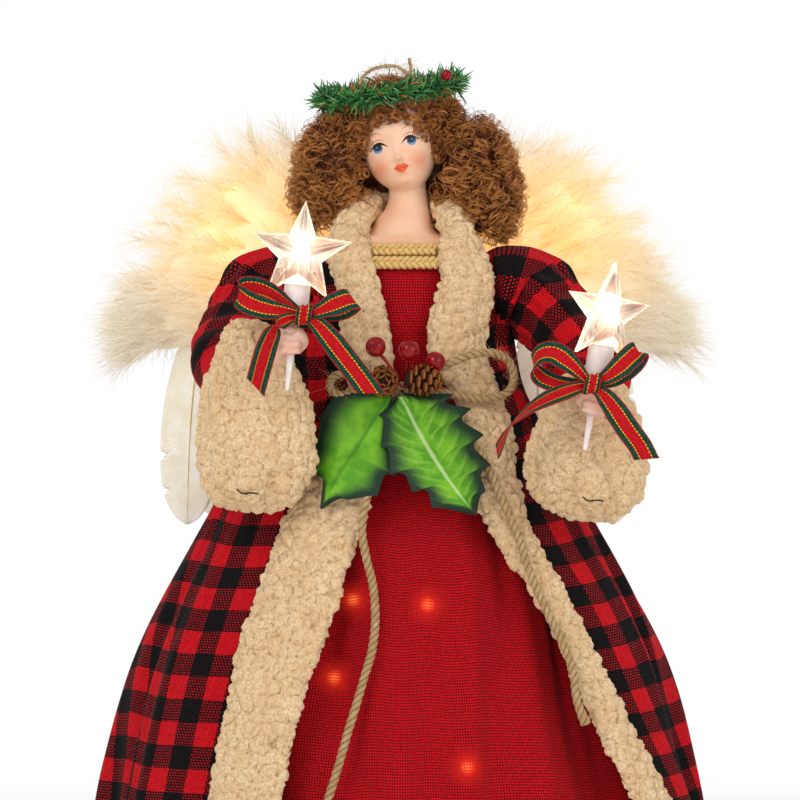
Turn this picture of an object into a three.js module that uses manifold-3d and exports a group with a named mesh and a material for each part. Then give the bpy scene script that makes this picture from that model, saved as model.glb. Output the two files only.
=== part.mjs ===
// A lighted tree topper: an angel doll in a plaid coat, with feather wings and two lit stars.
// Millimetres. +Z is up, the doll faces -Y, and the origin is the middle of the cone's foot.
import * as THREE from 'three';
import { mergeVertices } from 'three/addons/utils/BufferGeometryUtils.js';
import Module from 'manifold-3d';

const wasm = await Module();
wasm.setup();

// Clearances and walls that many pieces share.
const gap = 0.35;
const clothGap = 0.9;
const cutOverrun = 2;
const clothThickness = 1.5;
const fleeceThickness = 7;

// The card cone that slips over the tree's leader, and the stuffed body on it.
const shoulderHeight = 300;
const coneFootRadius = 62;
const coneTopRadius = 17;
const coneWall = 1.6;
const coneFlangeWidth = 8;
const coneFlangeThickness = 2.4;
const coneTopShare = 0.79;
const torsoHalfWidth = 42;
const torsoHalfDepth = 22;
const bodiceThickness = 1.2;
const shoulderWireDiameter = 2.4;
const armholeGap = 1.6;

// The coat and the skirt: half widths and half depths at the hem.
const coatHalfWidth = 158;
const coatHalfDepth = 101;
const coatHemLift = 6;
const skirtHalfWidth = 138;
const skirtHalfDepth = 86;
const skirtHemLift = 4;

// The porcelain head, its neck and shoulder plate, and what the head wears.
const headHalfWidth = 18.6;
const headHalfDepth = 20.5;
const headHalfHeight = 26;
const headTilt = -14 * Math.PI / 180;
const headHeight = 71;
const neckRadius = 9.6;
const neckHeight = 56;
const plateThickness = 2.6;
const plateDrop = 9;
const hairRadius = 34;
const wreathRadius = 33;
const wreathThickness = 6;
const needleLength = 9;
const needleRadius = 1;
const needleCount = 56;
const braidHeight = 13;
const braidThickness = 1.8;
const braidLoopCount = 11;

// The arms: sleeve, cuff, hand and the candle that the hand holds.
const sleeveBallRadius = 20;
const sleeveWristRadius = 12;
const armWireDiameter = 2.2;
const cuffHalfWidth = 30;
const cuffHalfDepth = 17;
const cuffHeight = 94;
const handHalfWidth = 6.6;
const handHeight = 15;
const stemDiameter = 3.6;
const stemBelowHand = 17;
const socketDiameter = 12.6;
const socketHeight = 19;
const socketNeckDiameter = 7.4;
const socketNeckHeight = 5;
const bulbDiameter = 5;
const bulbHeight = 13;
const starRadius = 25.5;
const starInnerShare = 0.43;
const starHalfThickness = 9;
const starBoreDiameter = 8.6;

// Ribbon, holly, cones, berries and twine.
const ribbonWidth = 10;
const ribbonThickness = 0.8;
const leafThickness = 1;
const leafLength = 66;
const leafHalfWidth = 22.5;
const coneBodyRadius = 6.6;
const pineConeLength = 21;
const pineConeRadius = 9.4;
const berryDiameter = 10;
const berryStemDiameter = 1.6;
const twineDiameter = 4.3;

// The wings and the lamps.
const wingSpan = 128;
const wingHeight = 106;
const wingThickness = 15;
const wingRootRise = 11;
const wingRootOffset = 13;
const wingSweepShare = 0.12;
const wingPlateThickness = 2;
const wingPlateHeight = 74;
const wingPlateDropShare = 0.16;
const frameWireDiameter = 2;
const featherLength = 105;
const featherWidth = 19;
const featherThickness = 0.9;
const leadDiameter = 2.2;
const holderDiameter = 7;
const holderHeight = 11;

// Helpers that turn points into closed solids.
function facingOut(geometry) {
  const position = geometry.getAttribute('position');
  const index = Array.from(geometry.getIndex().array);
  const corners = [new THREE.Vector3(), new THREE.Vector3(), new THREE.Vector3()];
  let volume = 0;
  for (let face = 0; face < index.length; face += 3) {
    corners.forEach((corner, k) => corner.fromBufferAttribute(position, index[face + k]));
    volume += corners[0].dot(corners[1].clone().cross(corners[2]));
  }
  if (volume < 0) index.reverse();
  geometry.setIndex(index);
  return geometry;
}

function solidFrom(points, faces) {
  const geometry = new THREE.BufferGeometry();
  geometry.setAttribute('position', new THREE.Float32BufferAttribute(points.flat(), 3));
  geometry.setIndex(faces.flat());
  return facingOut(geometry);
}

// A skin through closed rings of as many points each, with its two ends closed.
function loft(rings) {
  const count = rings[0].length;
  const middle = (ring) => [0, 1, 2].map((k) => ring.reduce((sum, p) => sum + p[k], 0) / count);
  const points = [...rings.flat(), middle(rings[0]), middle(rings.at(-1))];
  const first = points.length - 2;
  const last = points.length - 1;
  const faces = [];
  for (let side = 0; side < count; side++) {
    const next = (side + 1) % count;
    for (let row = 0; row + 1 < rings.length; row++) {
      const low = row * count;
      const high = low + count;
      faces.push([low + side, low + next, high + next], [low + side, high + next, high + side]);
    }
    const top = (rings.length - 1) * count;
    faces.push([first, next, side], [last, top + side, top + next]);
  }
  return solidFrom(points, faces);
}

// A sheet with a wall: outer(u, v) and inner(u, v) are its two faces, u and v run from 0 to 1.
function sheet({ columns, rows, wrap = false, outer, inner }) {
  const across = wrap ? columns : columns + 1;
  const points = [];
  for (const face of [outer, inner]) {
    for (let row = 0; row <= rows; row++) {
      for (let column = 0; column < across; column++) points.push(face(column / columns, row / rows));
    }
  }
  const under = across * (rows + 1);
  const at = (column, row) => row * across + (column % across);
  const faces = [];
  for (let column = 0; column < columns; column++) {
    for (let row = 0; row < rows; row++) {
      const [a, b] = [at(column, row), at(column + 1, row)];
      const [c, d] = [at(column + 1, row + 1), at(column, row + 1)];
      faces.push([a, b, c], [a, c, d]);
      faces.push([under + a, under + c, under + b], [under + a, under + d, under + c]);
    }
    const [foot, footNext] = [at(column, 0), at(column + 1, 0)];
    const [head, headNext] = [at(column, rows), at(column + 1, rows)];
    faces.push([foot, under + footNext, footNext], [foot, under + foot, under + footNext]);
    faces.push([head, headNext, under + headNext], [head, under + headNext, under + head]);
  }
  for (let row = 0; row < rows && !wrap; row++) {
    const [left, leftUp] = [at(0, row), at(0, row + 1)];
    const [right, rightUp] = [at(columns, row), at(columns, row + 1)];
    faces.push([left, leftUp, under + leftUp], [left, under + leftUp, under + left]);
    faces.push([right, under + rightUp, rightUp], [right, under + right, under + rightUp]);
  }
  return solidFrom(points, faces);
}

function ellipseRing([x, y, z], halfWidth, halfDepth, sides) {
  return Array.from({ length: sides }, (_, side) => {
    const turn = 2 * Math.PI * side / sides;
    return [x + halfWidth * Math.sin(turn), y - halfDepth * Math.cos(turn), z];
  });
}

// Rings square to a curve, each with its own radius, for sleeves, leads and wires.
function sweepRings(points, radii, sides, steps) {
  const curve = new THREE.CatmullRomCurve3(points.map((p) => new THREE.Vector3(...p)));
  const radiusAt = shareTable(radii.map((radius, k) => [k / (radii.length - 1), radius]));
  const frames = curve.computeFrenetFrames(steps, false);
  return Array.from({ length: steps + 1 }, (_, step) => {
    const middle = curve.getPointAt(step / steps);
    const radius = radiusAt(step / steps)[0];
    return Array.from({ length: sides }, (__, side) => {
      const turn = 2 * Math.PI * side / sides;
      const arm = frames.normals[step].clone().multiplyScalar(Math.cos(turn));
      arm.addScaledVector(frames.binormals[step], Math.sin(turn));
      return middle.clone().addScaledVector(arm, radius).toArray();
    });
  });
}

// A round tube along a smooth curve through the points.
function tube(points, diameter, sides, steps) {
  const outline = new THREE.Shape();
  outline.absarc(0, 0, diameter / 2, 0, 2 * Math.PI);
  const curve = new THREE.CatmullRomCurve3(points.map((p) => new THREE.Vector3(...p)));
  return new THREE.ExtrudeGeometry(outline, { steps, curveSegments: sides / 2, extrudePath: curve });
}

// A revolved profile, turned so that its axis is +Z. The profile's points are [radius, height].
function revolve(profile, sides) {
  const outline = profile.map(([radius, height]) => new THREE.Vector2(radius, height));
  return new THREE.LatheGeometry(outline, sides).rotateX(Math.PI / 2);
}

// A smooth curve through rows of [position, value, value...]: returns the values at a position.
function shareTable(table) {
  return (position) => {
    const last = table.length - 1;
    let row = 0;
    while (row < last - 1 && position > table[row + 1][0]) row++;
    const [start, end] = [table[row], table[row + 1]];
    const along = Math.min(Math.max((position - start[0]) / (end[0] - start[0]), 0), 1);
    const slopeAt = (k, column) => {
      const [before, after] = [table[Math.max(k - 1, 0)], table[Math.min(k + 1, last)]];
      return (after[column] - before[column]) / (after[0] - before[0]);
    };
    return start.slice(1).map((value, k) => {
      const span = end[0] - start[0];
      const rise = end[k + 1] - value;
      const [slopeIn, slopeOut] = [slopeAt(row, k + 1) * span, slopeAt(row + 1, k + 1) * span];
      const bend = slopeIn + slopeOut - 2 * rise;
      return value + along * (slopeIn + along * (3 * rise - 2 * slopeIn - slopeOut + along * bend));
    });
  };
}

function toSolid(geometry) {
  const plain = geometry.clone();
  plain.deleteAttribute('normal');
  plain.deleteAttribute('uv');
  const merged = mergeVertices(plain);
  const vertProperties = new Float32Array(merged.getAttribute('position').array);
  const triVerts = new Uint32Array(merged.getIndex().array);
  return new wasm.Manifold(new wasm.Mesh({ numProp: 3, vertProperties, triVerts }));
}

function toGeometry(solid) {
  const { vertProperties, triVerts } = solid.getMesh();
  const geometry = new THREE.BufferGeometry();
  geometry.setAttribute('position', new THREE.BufferAttribute(Float32Array.from(vertProperties), 3));
  geometry.setIndex(Array.from(triVerts));
  return geometry;
}

const joined = (...parts) => toGeometry(parts.map(toSolid).reduce((whole, part) => whole.add(part)));

const cut = (whole, ...tools) => toGeometry(tools.map(toSolid).reduce(
  (rest, tool) => rest.subtract(tool), toSolid(whole)));

const ball = (radii, place, sides = 16) => new THREE.SphereGeometry(1, sides, sides / 2)
  .rotateX(Math.PI / 2).scale(...radii).translate(...place);

const mix = (start, end, share) => start + (end - start) * share;

const mixPoint = (start, end, share) => start.map((value, k) => mix(value, end[k], share));

const material = (color, roughness, metalness = 0) => new THREE.MeshStandardMaterial(
  { color, roughness, metalness });

function piece(name, geometry, look, place = [0, 0, 0]) {
  const mesh = new THREE.Mesh(geometry, look);
  mesh.name = name;
  mesh.position.set(...place);
  return mesh;
}

const looks = {
  card: material(0xb79a72, 0.9),
  stuffing: material(0xe7e0d2, 0.95),
  porcelain: material(0xf0c3ab, 0.42),
  hair: material(0x8a4a28, 0.7),
  needles: material(0x2c6b2f, 0.6),
  berry: material(0xa80f14, 0.25),
  straw: material(0xd9b878, 0.6),
  redCloth: material(0xb5121b, 0.85),
  plaid: material(0x7c1018, 0.9),
  fleece: material(0xc39f78, 0.95),
  white: material(0xf2efe8, 0.4),
  bulbGlass: material(0xffdf9a, 0.1),
  acrylic: material(0xf3ecd8, 0.08),
  ribbon: material(0xa31a22, 0.7),
  leaf: material(0x3f8f2c, 0.55),
  bark: material(0x5b3a24, 0.8),
  twine: material(0xa9865a, 0.9),
  feather: material(0xf3ead8, 0.9),
  wire: material(0x8d8f92, 0.4, 0.8),
  lead: material(0xe8e4da, 0.5),
};

const topper = new THREE.Group();

// Outlines as shares: [height share of the shoulder, half width, front depth, back depth].
const coatShares = [
  [0.02, 1, 1, 1], [0.2, 0.935, 0.9, 0.9], [0.4, 0.82, 0.76, 0.78], [0.633, 0.585, 0.54, 0.56],
  [0.817, 0.395, 0.345, 0.4], [0.9, 0.36, 0.315, 0.38], [1, 0.335, 0.285, 0.34],
  [1.04, 0.285, 0.265, 0.285], [1.06, 0.245, 0.25, 0.255],
];
const torsoShares = [
  [0.793, 0.7, 0.9, 0.9], [0.823, 0.76, 0.93, 0.93], [0.883, 0.86, 1.05, 0.95],
  [0.933, 0.95, 1.12, 0.95], [1, 1, 1, 1], [1.033, 0.93, 0.95, 0.95], [1.057, 0.8, 0.84, 0.84],
  [1.077, 0.58, 0.66, 0.66], [1.087, 0.3, 0.4, 0.4],
];
// Fleece edges, as the sine of the angle from the front: left inner and outer, right inner and outer.
const edgeShares = [
  [0.02, -0.43, -0.65, 0.835, 0.965], [0.153, -0.375, -0.62, 0.737, 0.87],
  [0.317, -0.33, -0.6, 0.626, 0.76], [0.48, -0.246, -0.6, 0.55, 0.69],
  [0.643, -0.152, -0.565, 0.39, 0.65], [0.807, -0.02, -0.42, 0.4, 0.78],
  [0.89, -0.06, -0.47, 0.21, 0.73], [1, -0.166, -0.594, 0.34, 0.86], [1.06, -0.31, -0.84, 0.46, 0.95],
];
const coatOutline = shareTable(coatShares);
const torsoOutline = shareTable(torsoShares);
const fleeceEdges = shareTable(edgeShares);
const waistShare = 0.83;
const fullTurn = 2 * Math.PI;

// A point on an outline: turn is the angle from the front towards the doll's left, which is +X.
function outlinePoint(turn, height, [halfWidth, front, back], offset, swell = 1) {
  const depth = Math.cos(turn) > 0 ? front : back;
  return [
    (halfWidth * swell + offset) * Math.sin(turn),
    -(depth * swell + offset) * Math.cos(turn),
    height,
  ];
}

const coatSize = (height) => {
  const [width, front, back] = coatOutline(height / shoulderHeight);
  return [width * coatHalfWidth, front * coatHalfDepth, back * coatHalfDepth];
};

const torsoSize = (height) => {
  const [width, front, back] = torsoOutline(height / shoulderHeight);
  return [width * torsoHalfWidth, front * torsoHalfDepth, back * torsoHalfDepth];
};

const smooth = (share) => {
  const held = Math.min(Math.max(share, 0), 1);
  return held * held * (3 - 2 * held);
};

// The coat: deep pleats that die out at the waist and along the two front edges.
const coatPleatCount = 12;
const coatPleatShare = 0.085;
const pleatFadeShares = { start: 1.15, slope: 1.3 };
const coatColumns = 36;
const edgeCalm = 0.28;
const edgeCalmRamp = 0.3;
const coatTopShare = 1.06;
const coatLevelShares = [0.02, 0.1, 0.2, 0.4, 0.55, 0.67, 0.75, 0.83, 0.9, 1, 1.03, 1.06];

// The heights of the coat's rows between two heights, so that what lies on it bends where it does.
function coatLevels(low, high) {
  const within = coatLevelShares.map((share) => share * shoulderHeight)
    .filter((height) => height > low + clothGap && height < high - clothGap);
  return [low, ...within, high];
}

function coatEdgeTurns(height) {
  const [leftInner, leftOuter, rightInner, rightOuter] = fleeceEdges(height / shoulderHeight);
  return {
    right: Math.asin((rightInner + rightOuter) / 2),
    left: fullTurn + Math.asin((leftInner + leftOuter) / 2),
  };
}

function coatPoint(turn, height, offset) {
  const { right, left } = coatEdgeTurns(height);
  const around = turn < 0 ? turn + fullTurn : turn;
  const fromEdge = Math.min(around - right, left - around);
  const fade = smooth(pleatFadeShares.start - pleatFadeShares.slope * height / shoulderHeight);
  const pleat = coatPleatShare * fade * smooth((fromEdge - edgeCalm) / edgeCalmRamp);
  const swell = 1 - pleat * (1 - Math.cos(coatPleatCount * turn)) / 2;
  return outlinePoint(turn, height, coatSize(height), offset, swell);
}

function makeCoat() {
  const levels = coatLevels(coatHemLift, coatTopShare * shoulderHeight);
  const rows = levels.length - 1;
  const face = (offset) => (u, v) => {
    const height = levels[Math.round(v * rows)];
    const { right, left } = coatEdgeTurns(height);
    return coatPoint(mix(right, left, u), height, offset);
  };
  return sheet({ columns: coatColumns, rows, outer: face(0), inner: face(-clothThickness) });
}

// A fleece band on the coat, between two columns of the edge table, with a rounded back.
const fleeceCrownShares = { edge: 0.45, rise: 0.55 };

function fleeceBand({ low, high, inner, outer }) {
  const levels = coatLevels(low, high);
  const rows = levels.length - 1;
  const face = (under) => (u, v) => {
    const height = levels[Math.round(v * rows)];
    const edges = fleeceEdges(height / shoulderHeight);
    const turn = Math.asin(mix(edges[inner], edges[outer], u));
    const arch = Math.sqrt(Math.max(0, 1 - (2 * u - 1) ** 2));
    const crown = fleeceCrownShares.edge + fleeceCrownShares.rise * arch;
    return coatPoint(turn, height, clothGap + (under ? 0 : fleeceThickness * crown));
  };
  return sheet({ columns: 4, rows, outer: face(false), inner: face(true) });
}

// The skirt: open weave gathered at the waist, over the cone and inside the coat.
const skirtPleatCount = 16;
const skirtPleatShare = 0.07;
const skirtPleatRamp = 1.4;
const skirtFlarePower = 0.72;
const skirtRowPower = 1.3;
const skirtColumns = 42;

function skirtSize(height) {
  const top = waistShare * shoulderHeight;
  const share = (top - height) / (top - skirtHemLift);
  const flare = share ** skirtFlarePower;
  const layers = clothGap + bodiceThickness + clothThickness + 3 * gap;
  const gathered = torsoSize(top).map((size) => size + layers);
  return [skirtHalfWidth, skirtHalfDepth, skirtHalfDepth].map((size, k) => mix(gathered[k], size, flare));
}

function skirtPoint(turn, height, offset) {
  const share = 1 - height / (waistShare * shoulderHeight);
  const wave = (1 - Math.cos(skirtPleatCount * turn)) / 2;
  const pleat = skirtPleatShare * smooth(share * skirtPleatRamp) * wave;
  return outlinePoint(turn, height, skirtSize(height), offset, 1 - pleat);
}

function makeSkirt() {
  const top = waistShare * shoulderHeight;
  const face = (offset) => (u, v) => skirtPoint(
    fullTurn * u, mix(skirtHemLift, top, v ** skirtRowPower), offset);
  return sheet({
    columns: skirtColumns, rows: 5, wrap: true, outer: face(0), inner: face(-clothThickness),
  });
}

// The cone: a wall with a flat flange round its foot, open at both ends.
const coneSides = 24;

function makeCone() {
  const height = coneTopShare * shoulderHeight - gap;
  const foot = coneFootRadius;
  return revolve([
    [foot - coneFlangeWidth, 0],
    [foot + coneFlangeWidth / 2, 0],
    [foot + coneFlangeWidth / 2, coneFlangeThickness],
    [foot, coneFlangeThickness],
    [coneTopRadius, height],
    [coneTopRadius - coneWall, height],
    [foot - coneWall, coneFlangeThickness],
    [foot - coneFlangeWidth, coneFlangeThickness],
    [foot - coneFlangeWidth, 0],
  ], coneSides);
}

const torsoRings = (low, high, rows, offset, sides) => Array.from({ length: rows + 1 }, (_, row) => {
  const height = mix(low, high, row / rows);
  return Array.from({ length: sides }, (__, side) => outlinePoint(
    fullTurn * side / sides, height, torsoSize(height), offset));
});

const armPivotShare = 0.4;
const armPivot = (side) => [
  side * (torsoHalfWidth + sleeveBallRadius * armPivotShare), 2 * gap, shoulderHeight];
const armholeTool = (side, clearance) => ball(
  Array(3).fill(sleeveBallRadius + clearance), armPivot(side), 12);

function wireHole(diameter) {
  const reach = 2 * armPivot(1)[0];
  return new THREE.CylinderGeometry(diameter / 2, diameter / 2, reach, 12)
    .rotateZ(Math.PI / 2).translate(0, armPivot(1)[1], shoulderHeight);
}

const torsoTopShare = 1.087;
const bustSides = 18;
const bodiceFootShare = waistShare - 0.025;
const plateFootShare = 1.03;

function makeTorso() {
  const low = coneTopShare * shoulderHeight;
  const core = loft(torsoRings(low, torsoTopShare * shoulderHeight, 5, 0, bustSides));
  return cut(core, armholeTool(-1, armholeGap), armholeTool(1, armholeGap),
    wireHole(shoulderWireDiameter + 2 * gap));
}

function makeBodice() {
  const low = bodiceFootShare * shoulderHeight;
  const high = plateFootShare * shoulderHeight - gap;
  const face = (offset) => (u, v) => {
    const height = mix(low, high, v);
    return outlinePoint(fullTurn * u, height, torsoSize(height), offset);
  };
  const shell = sheet({
    columns: bustSides, rows: 3, wrap: true, outer: face(clothGap + gap + bodiceThickness),
    inner: face(clothGap + gap),
  });
  return cut(shell, armholeTool(-1, armholeGap), armholeTool(1, armholeGap),
    wireHole(shoulderWireDiameter + 2 * gap));
}

function makeShoulderWire() {
  const reach = 2 * (armPivot(1)[0] - shoulderWireDiameter);
  return new THREE.CylinderGeometry(shoulderWireDiameter / 2, shoulderWireDiameter / 2, reach, 12)
    .rotateZ(Math.PI / 2).translate(0, armPivot(1)[1], shoulderHeight);
}

// The porcelain head leans towards the doll's right, with its chin to its left.
const headPlaceShares = [-0.06, -0.16];
const headPlace = [headHalfWidth * headPlaceShares[0], headHalfDepth * headPlaceShares[1],
  shoulderHeight + headHeight - gap];
// Features of the face: [side share, height share, half width share, half height share, rise share].
const featureShares = [
  [0, -0.1, 0.13, 0.2, 0.16], [0, -0.2, 0.15, 0.09, 0.1], [0, -0.48, 0.24, 0.08, 0.05],
  [0, -0.78, 0.26, 0.14, 0.1], [0.42, 0.02, 0.2, 0.12, -0.06], [-0.42, 0.02, 0.2, 0.12, -0.06],
  [0.5, -0.35, 0.26, 0.22, 0.05], [-0.5, -0.35, 0.26, 0.22, 0.05],
];

const chinTaperShares = { depth: 0.3, slope: 1.15, start: 0.05 };
const jawShare = 0.12;
const featureFade = 3;

function headPoint(polar, turn, grow) {
  const height = Math.cos(polar);
  const below = -height * chinTaperShares.slope - chinTaperShares.start;
  const taper = 1 - chinTaperShares.depth * smooth(below);
  const side = Math.sin(polar) * Math.sin(turn) * taper;
  const front = Math.sin(polar) * Math.cos(turn);
  const jaw = 1 - jawShare * smooth(-height);
  let rise = 0;
  for (const [across, up, wide, tall, amount] of featureShares) {
    const reach = ((side - across) / wide) ** 2 + ((height - up) / tall) ** 2;
    rise += amount * Math.exp(-reach) * smooth(front * featureFade);
  }
  return [
    (headHalfWidth + grow) * side,
    -(headHalfDepth + grow) * (front * jaw + rise),
    (headHalfHeight + grow) * height,
  ];
}

function headSkin(grow, columns, rows) {
  const rings = Array.from({ length: rows }, (_, row) => {
    const polar = Math.PI * (row + 0.35) / (rows - 0.3);
    return Array.from({ length: columns }, (__, column) => headPoint(
      polar, fullTurn * column / columns, grow));
  });
  return loft(rings).rotateY(headTilt).translate(...headPlace);
}

// The shoulder plate and neck as one closed body, grown by a clearance when it cuts a neighbour.
const neckLevelShares = [[0.08, 1.45], [0.22, 1.12], [0.45, 1], [0.7, 1], [1, 0.9]];
const neckLeanShare = 0.25;

function bustBlank(grow) {
  const seat = clothGap + plateThickness + grow;
  const [low, high] = [plateFootShare * shoulderHeight, torsoTopShare * shoulderHeight];
  const plate = torsoRings(low, high, 4, seat, bustSides);
  const lean = headPlace[0] + Math.tan(-headTilt) * headHalfHeight * neckLeanShare;
  for (const [share, radiusShare] of neckLevelShares) {
    const level = mix(high, shoulderHeight + neckHeight, share);
    const place = [lean * share, headPlace[1] * share / 2, level];
    const radius = neckRadius * radiusShare + grow;
    plate.push(ellipseRing(place, radius, radius, bustSides));
  }
  return loft(plate);
}

function makeHead() {
  const [low, high] = [plateFootShare * shoulderHeight - cutOverrun, torsoTopShare * shoulderHeight + gap];
  const hollow = torsoRings(low, high, 3, clothGap, bustSides);
  return joined(headSkin(0, 16, 12), cut(bustBlank(0), loft(hollow), armholeTool(-1, armholeGap),
    armholeTool(1, armholeGap)));
}

topper.add(
  piece('base_cone', makeCone(), looks.card),
  piece('torso_core', makeTorso(), looks.stuffing),
  piece('shoulder_wire', makeShoulderWire(), looks.wire),
  piece('dress_bodice', makeBodice(), looks.redCloth),
  piece('dress_skirt', makeSkirt(), looks.redCloth),
  piece('porcelain_head', makeHead(), looks.porcelain),
);

// The fleece collar: two lapels on the coat, and a roll behind the neck that joins them.
// The roll's spots: [across, behind, lift, girth] as shares of the coat's top and the fleece.
const collarRollShare = 0.62;
const collarRiseShare = 0.75;
const collarSpotShares = [
  [-0.62, -0.78, 0, 0.9], [-0.9, 0.05, 0.9, 1.3], [-0.68, 0.72, 1.9, 1.25], [0, 1, 2.3, 1.15],
  [0.68, 0.72, 1.9, 1.25], [0.95, 0, 0.9, 1.3], [0.78, -0.62, 0, 0.9],
];

function collarParts(grow) {
  const low = waistShare * shoulderHeight;
  const high = coatTopShare * shoulderHeight;
  const rise = fleeceThickness * collarRiseShare;
  const lapel = (inner, outer) => fleeceBand({ low, high: high + rise, inner, outer });
  const rollRadius = fleeceThickness * collarRollShare + grow;
  const [width, front, back] = coatSize(high);
  const reach = width + clothGap + fleeceThickness / 2;
  const spots = collarSpotShares.map(([across, behind, lift]) => {
    const depth = behind < 0 ? front : back;
    return [reach * across, (depth + fleeceThickness / 2) * behind, high + rise * (1 + lift)];
  });
  const girths = collarSpotShares.map((shares) => rollRadius * shares[3]);
  const roll = loft(sweepRings(spots, girths, 10, 14));
  return { lapels: [lapel(0, 1), lapel(2, 3)], roll };
}

function makeCollar() {
  const { lapels, roll } = collarParts(0);
  return cut(joined(...lapels, roll), armholeTool(-1, armholeGap), armholeTool(1, armholeGap),
    bustBlank(clothGap));
}

function makeFrontTrim(inner, outer) {
  return fleeceBand({
    low: coatHemLift, high: waistShare * shoulderHeight - gap, inner, outer,
  });
}

topper.add(
  piece('coat', cut(makeCoat(), armholeTool(-1, armholeGap), armholeTool(1, armholeGap)), looks.plaid),
  piece('fleece_collar', makeCollar(), looks.fleece),
  piece('left_front_trim', makeFrontTrim(0, 1), looks.fleece),
  piece('right_front_trim', makeFrontTrim(2, 3), looks.fleece),
);

// The wig: curls massed round the head, cut away where the face, wreath and collar are.
// Each lock: its place and its three radii as shares of the wig's radius, and its sides.
const lockShares = [
  [0, 0.3, 0.12, 1, 0.86, 0.95, 12],
  [-0.92, 0.2, -0.14, 0.56, 0.62, 0.76, 8],
  [-1.05, 0.1, -0.72, 0.48, 0.52, 0.55, 8],
  [0.98, 0.2, -0.1, 0.76, 0.66, 0.78, 8],
  [1.32, 0.1, -0.74, 0.54, 0.54, 0.72, 8],
  [0.1, 0.62, -0.5, 1.15, 0.5, 0.9, 8],
];
const faceHollowShares = { size: [1.02, 1, 1.02], place: [0.2, -0.95, -0.28] };

function makeHair() {
  const locks = lockShares.map((shares) => ball(
    shares.slice(3, 6).map((share) => share * hairRadius),
    headPlace.map((value, k) => value + shares[k] * hairRadius), shares[6]));
  const headSize = [headHalfWidth, headHalfDepth, headHalfHeight];
  const face = ball(
    headSize.map((size, k) => size * faceHollowShares.size[k]),
    headPlace.map((value, k) => value + headSize[k] * faceHollowShares.place[k]), 12);
  const { lapels, roll } = collarParts(clothGap);
  return cut(joined(...locks), headSkin(2 * clothGap, 12, 8), face, roll, ...lapels,
    wreathRing(clothGap), bustBlank(clothGap), armholeTool(-1, armholeGap), armholeTool(1, armholeGap));
}

// The wreath: a bound ring set with flat needles that point up and out.
// No two needles are alike, because each takes its share from steps of the golden ratio.
const wreathPlaceShares = [-0.12, 0.24, 0.66];
const wreathTilt = -0.1;
const wreathNod = 0.1;
const wreathSides = 24;
const goldenSteps = [0.618034, 0.381966];
const goldenAngle = 2.399963;
const needleLeanRange = [0.02, 1.4];
const needleLengthShares = [0.7, 1.15];
const needleTwist = 0.5;
const needleRootShare = 0.3;

function wreathPlace(geometry) {
  return geometry.rotateY(wreathTilt).rotateX(wreathNod).translate(
    headPlace[0] + wreathRadius * wreathPlaceShares[0],
    headPlace[1] + hairRadius * wreathPlaceShares[1],
    headPlace[2] + hairRadius * wreathPlaceShares[2]);
}

function wreathRing(grow) {
  return wreathPlace(new THREE.TorusGeometry(wreathRadius, wreathThickness / 2 + grow, 6, wreathSides));
}

function needle(k) {
  const around = fullTurn * k / needleCount;
  const lean = mix(...needleLeanRange, (k * goldenSteps[0]) % 1);
  const twist = needleTwist * Math.sin(k * goldenAngle);
  const length = needleLength * mix(...needleLengthShares, (k * goldenSteps[1]) % 1);
  const root = wreathThickness * needleRootShare;
  const shape = new THREE.ConeGeometry(needleRadius, length, 3);
  shape.rotateX(Math.PI / 2).translate(0, 0, length / 2).rotateY(Math.PI / 2 - lean).rotateX(twist);
  return shape.translate(wreathRadius + root * Math.cos(lean), 0, root * Math.sin(lean)).rotateZ(around);
}

function makeWreath() {
  const needles = Array.from({ length: needleCount }, (_, k) => toSolid(wreathPlace(needle(k))));
  const whole = wasm.Manifold.union([toSolid(wreathRing(0)), ...needles]);
  return toGeometry(whole);
}

// The gimp braid: two rows of straw loops round the front of the neckline.
const braidTurn = 0.46;
const braidDropShare = 0.18;
const braidLieShares = { rise: 0.012, size: 0.9 };
const scallopShares = { low: 0.62, rise: 0.38 };
const grooveShares = { depth: 0.45, place: 0.5, width: 0.12 };

function makeBraid() {
  const low = plateFootShare * shoulderHeight - braidHeight * braidDropShare;
  const lieHeight = (plateFootShare + braidLieShares.rise) * shoulderHeight;
  const seat = clothGap + plateThickness + gap;
  const face = (thickness) => (u, v) => {
    const height = low + braidHeight * v;
    const scallop = scallopShares.low
      + scallopShares.rise * Math.abs(Math.sin(braidLoopCount * Math.PI * u));
    const fromGroove = (v - grooveShares.place) / grooveShares.width;
    const groove = 1 - grooveShares.depth * Math.exp(-(fromGroove ** 2));
    const lie = torsoSize(Math.min(height, lieHeight));
    const here = torsoSize(height).map((size, k) => Math.max(size, lie[k] * braidLieShares.size));
    return outlinePoint(mix(-braidTurn, braidTurn, u), height, here,
      seat + thickness * scallop * groove);
  };
  return sheet({ columns: 22, rows: 2, outer: face(braidThickness), inner: face(0) });
}

topper.add(
  piece('curly_hair', makeHair(), looks.hair),
  piece('needle_wreath', makeWreath(), looks.needles),
  piece('gold_braid', makeBraid(), looks.straw),
);

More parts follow.
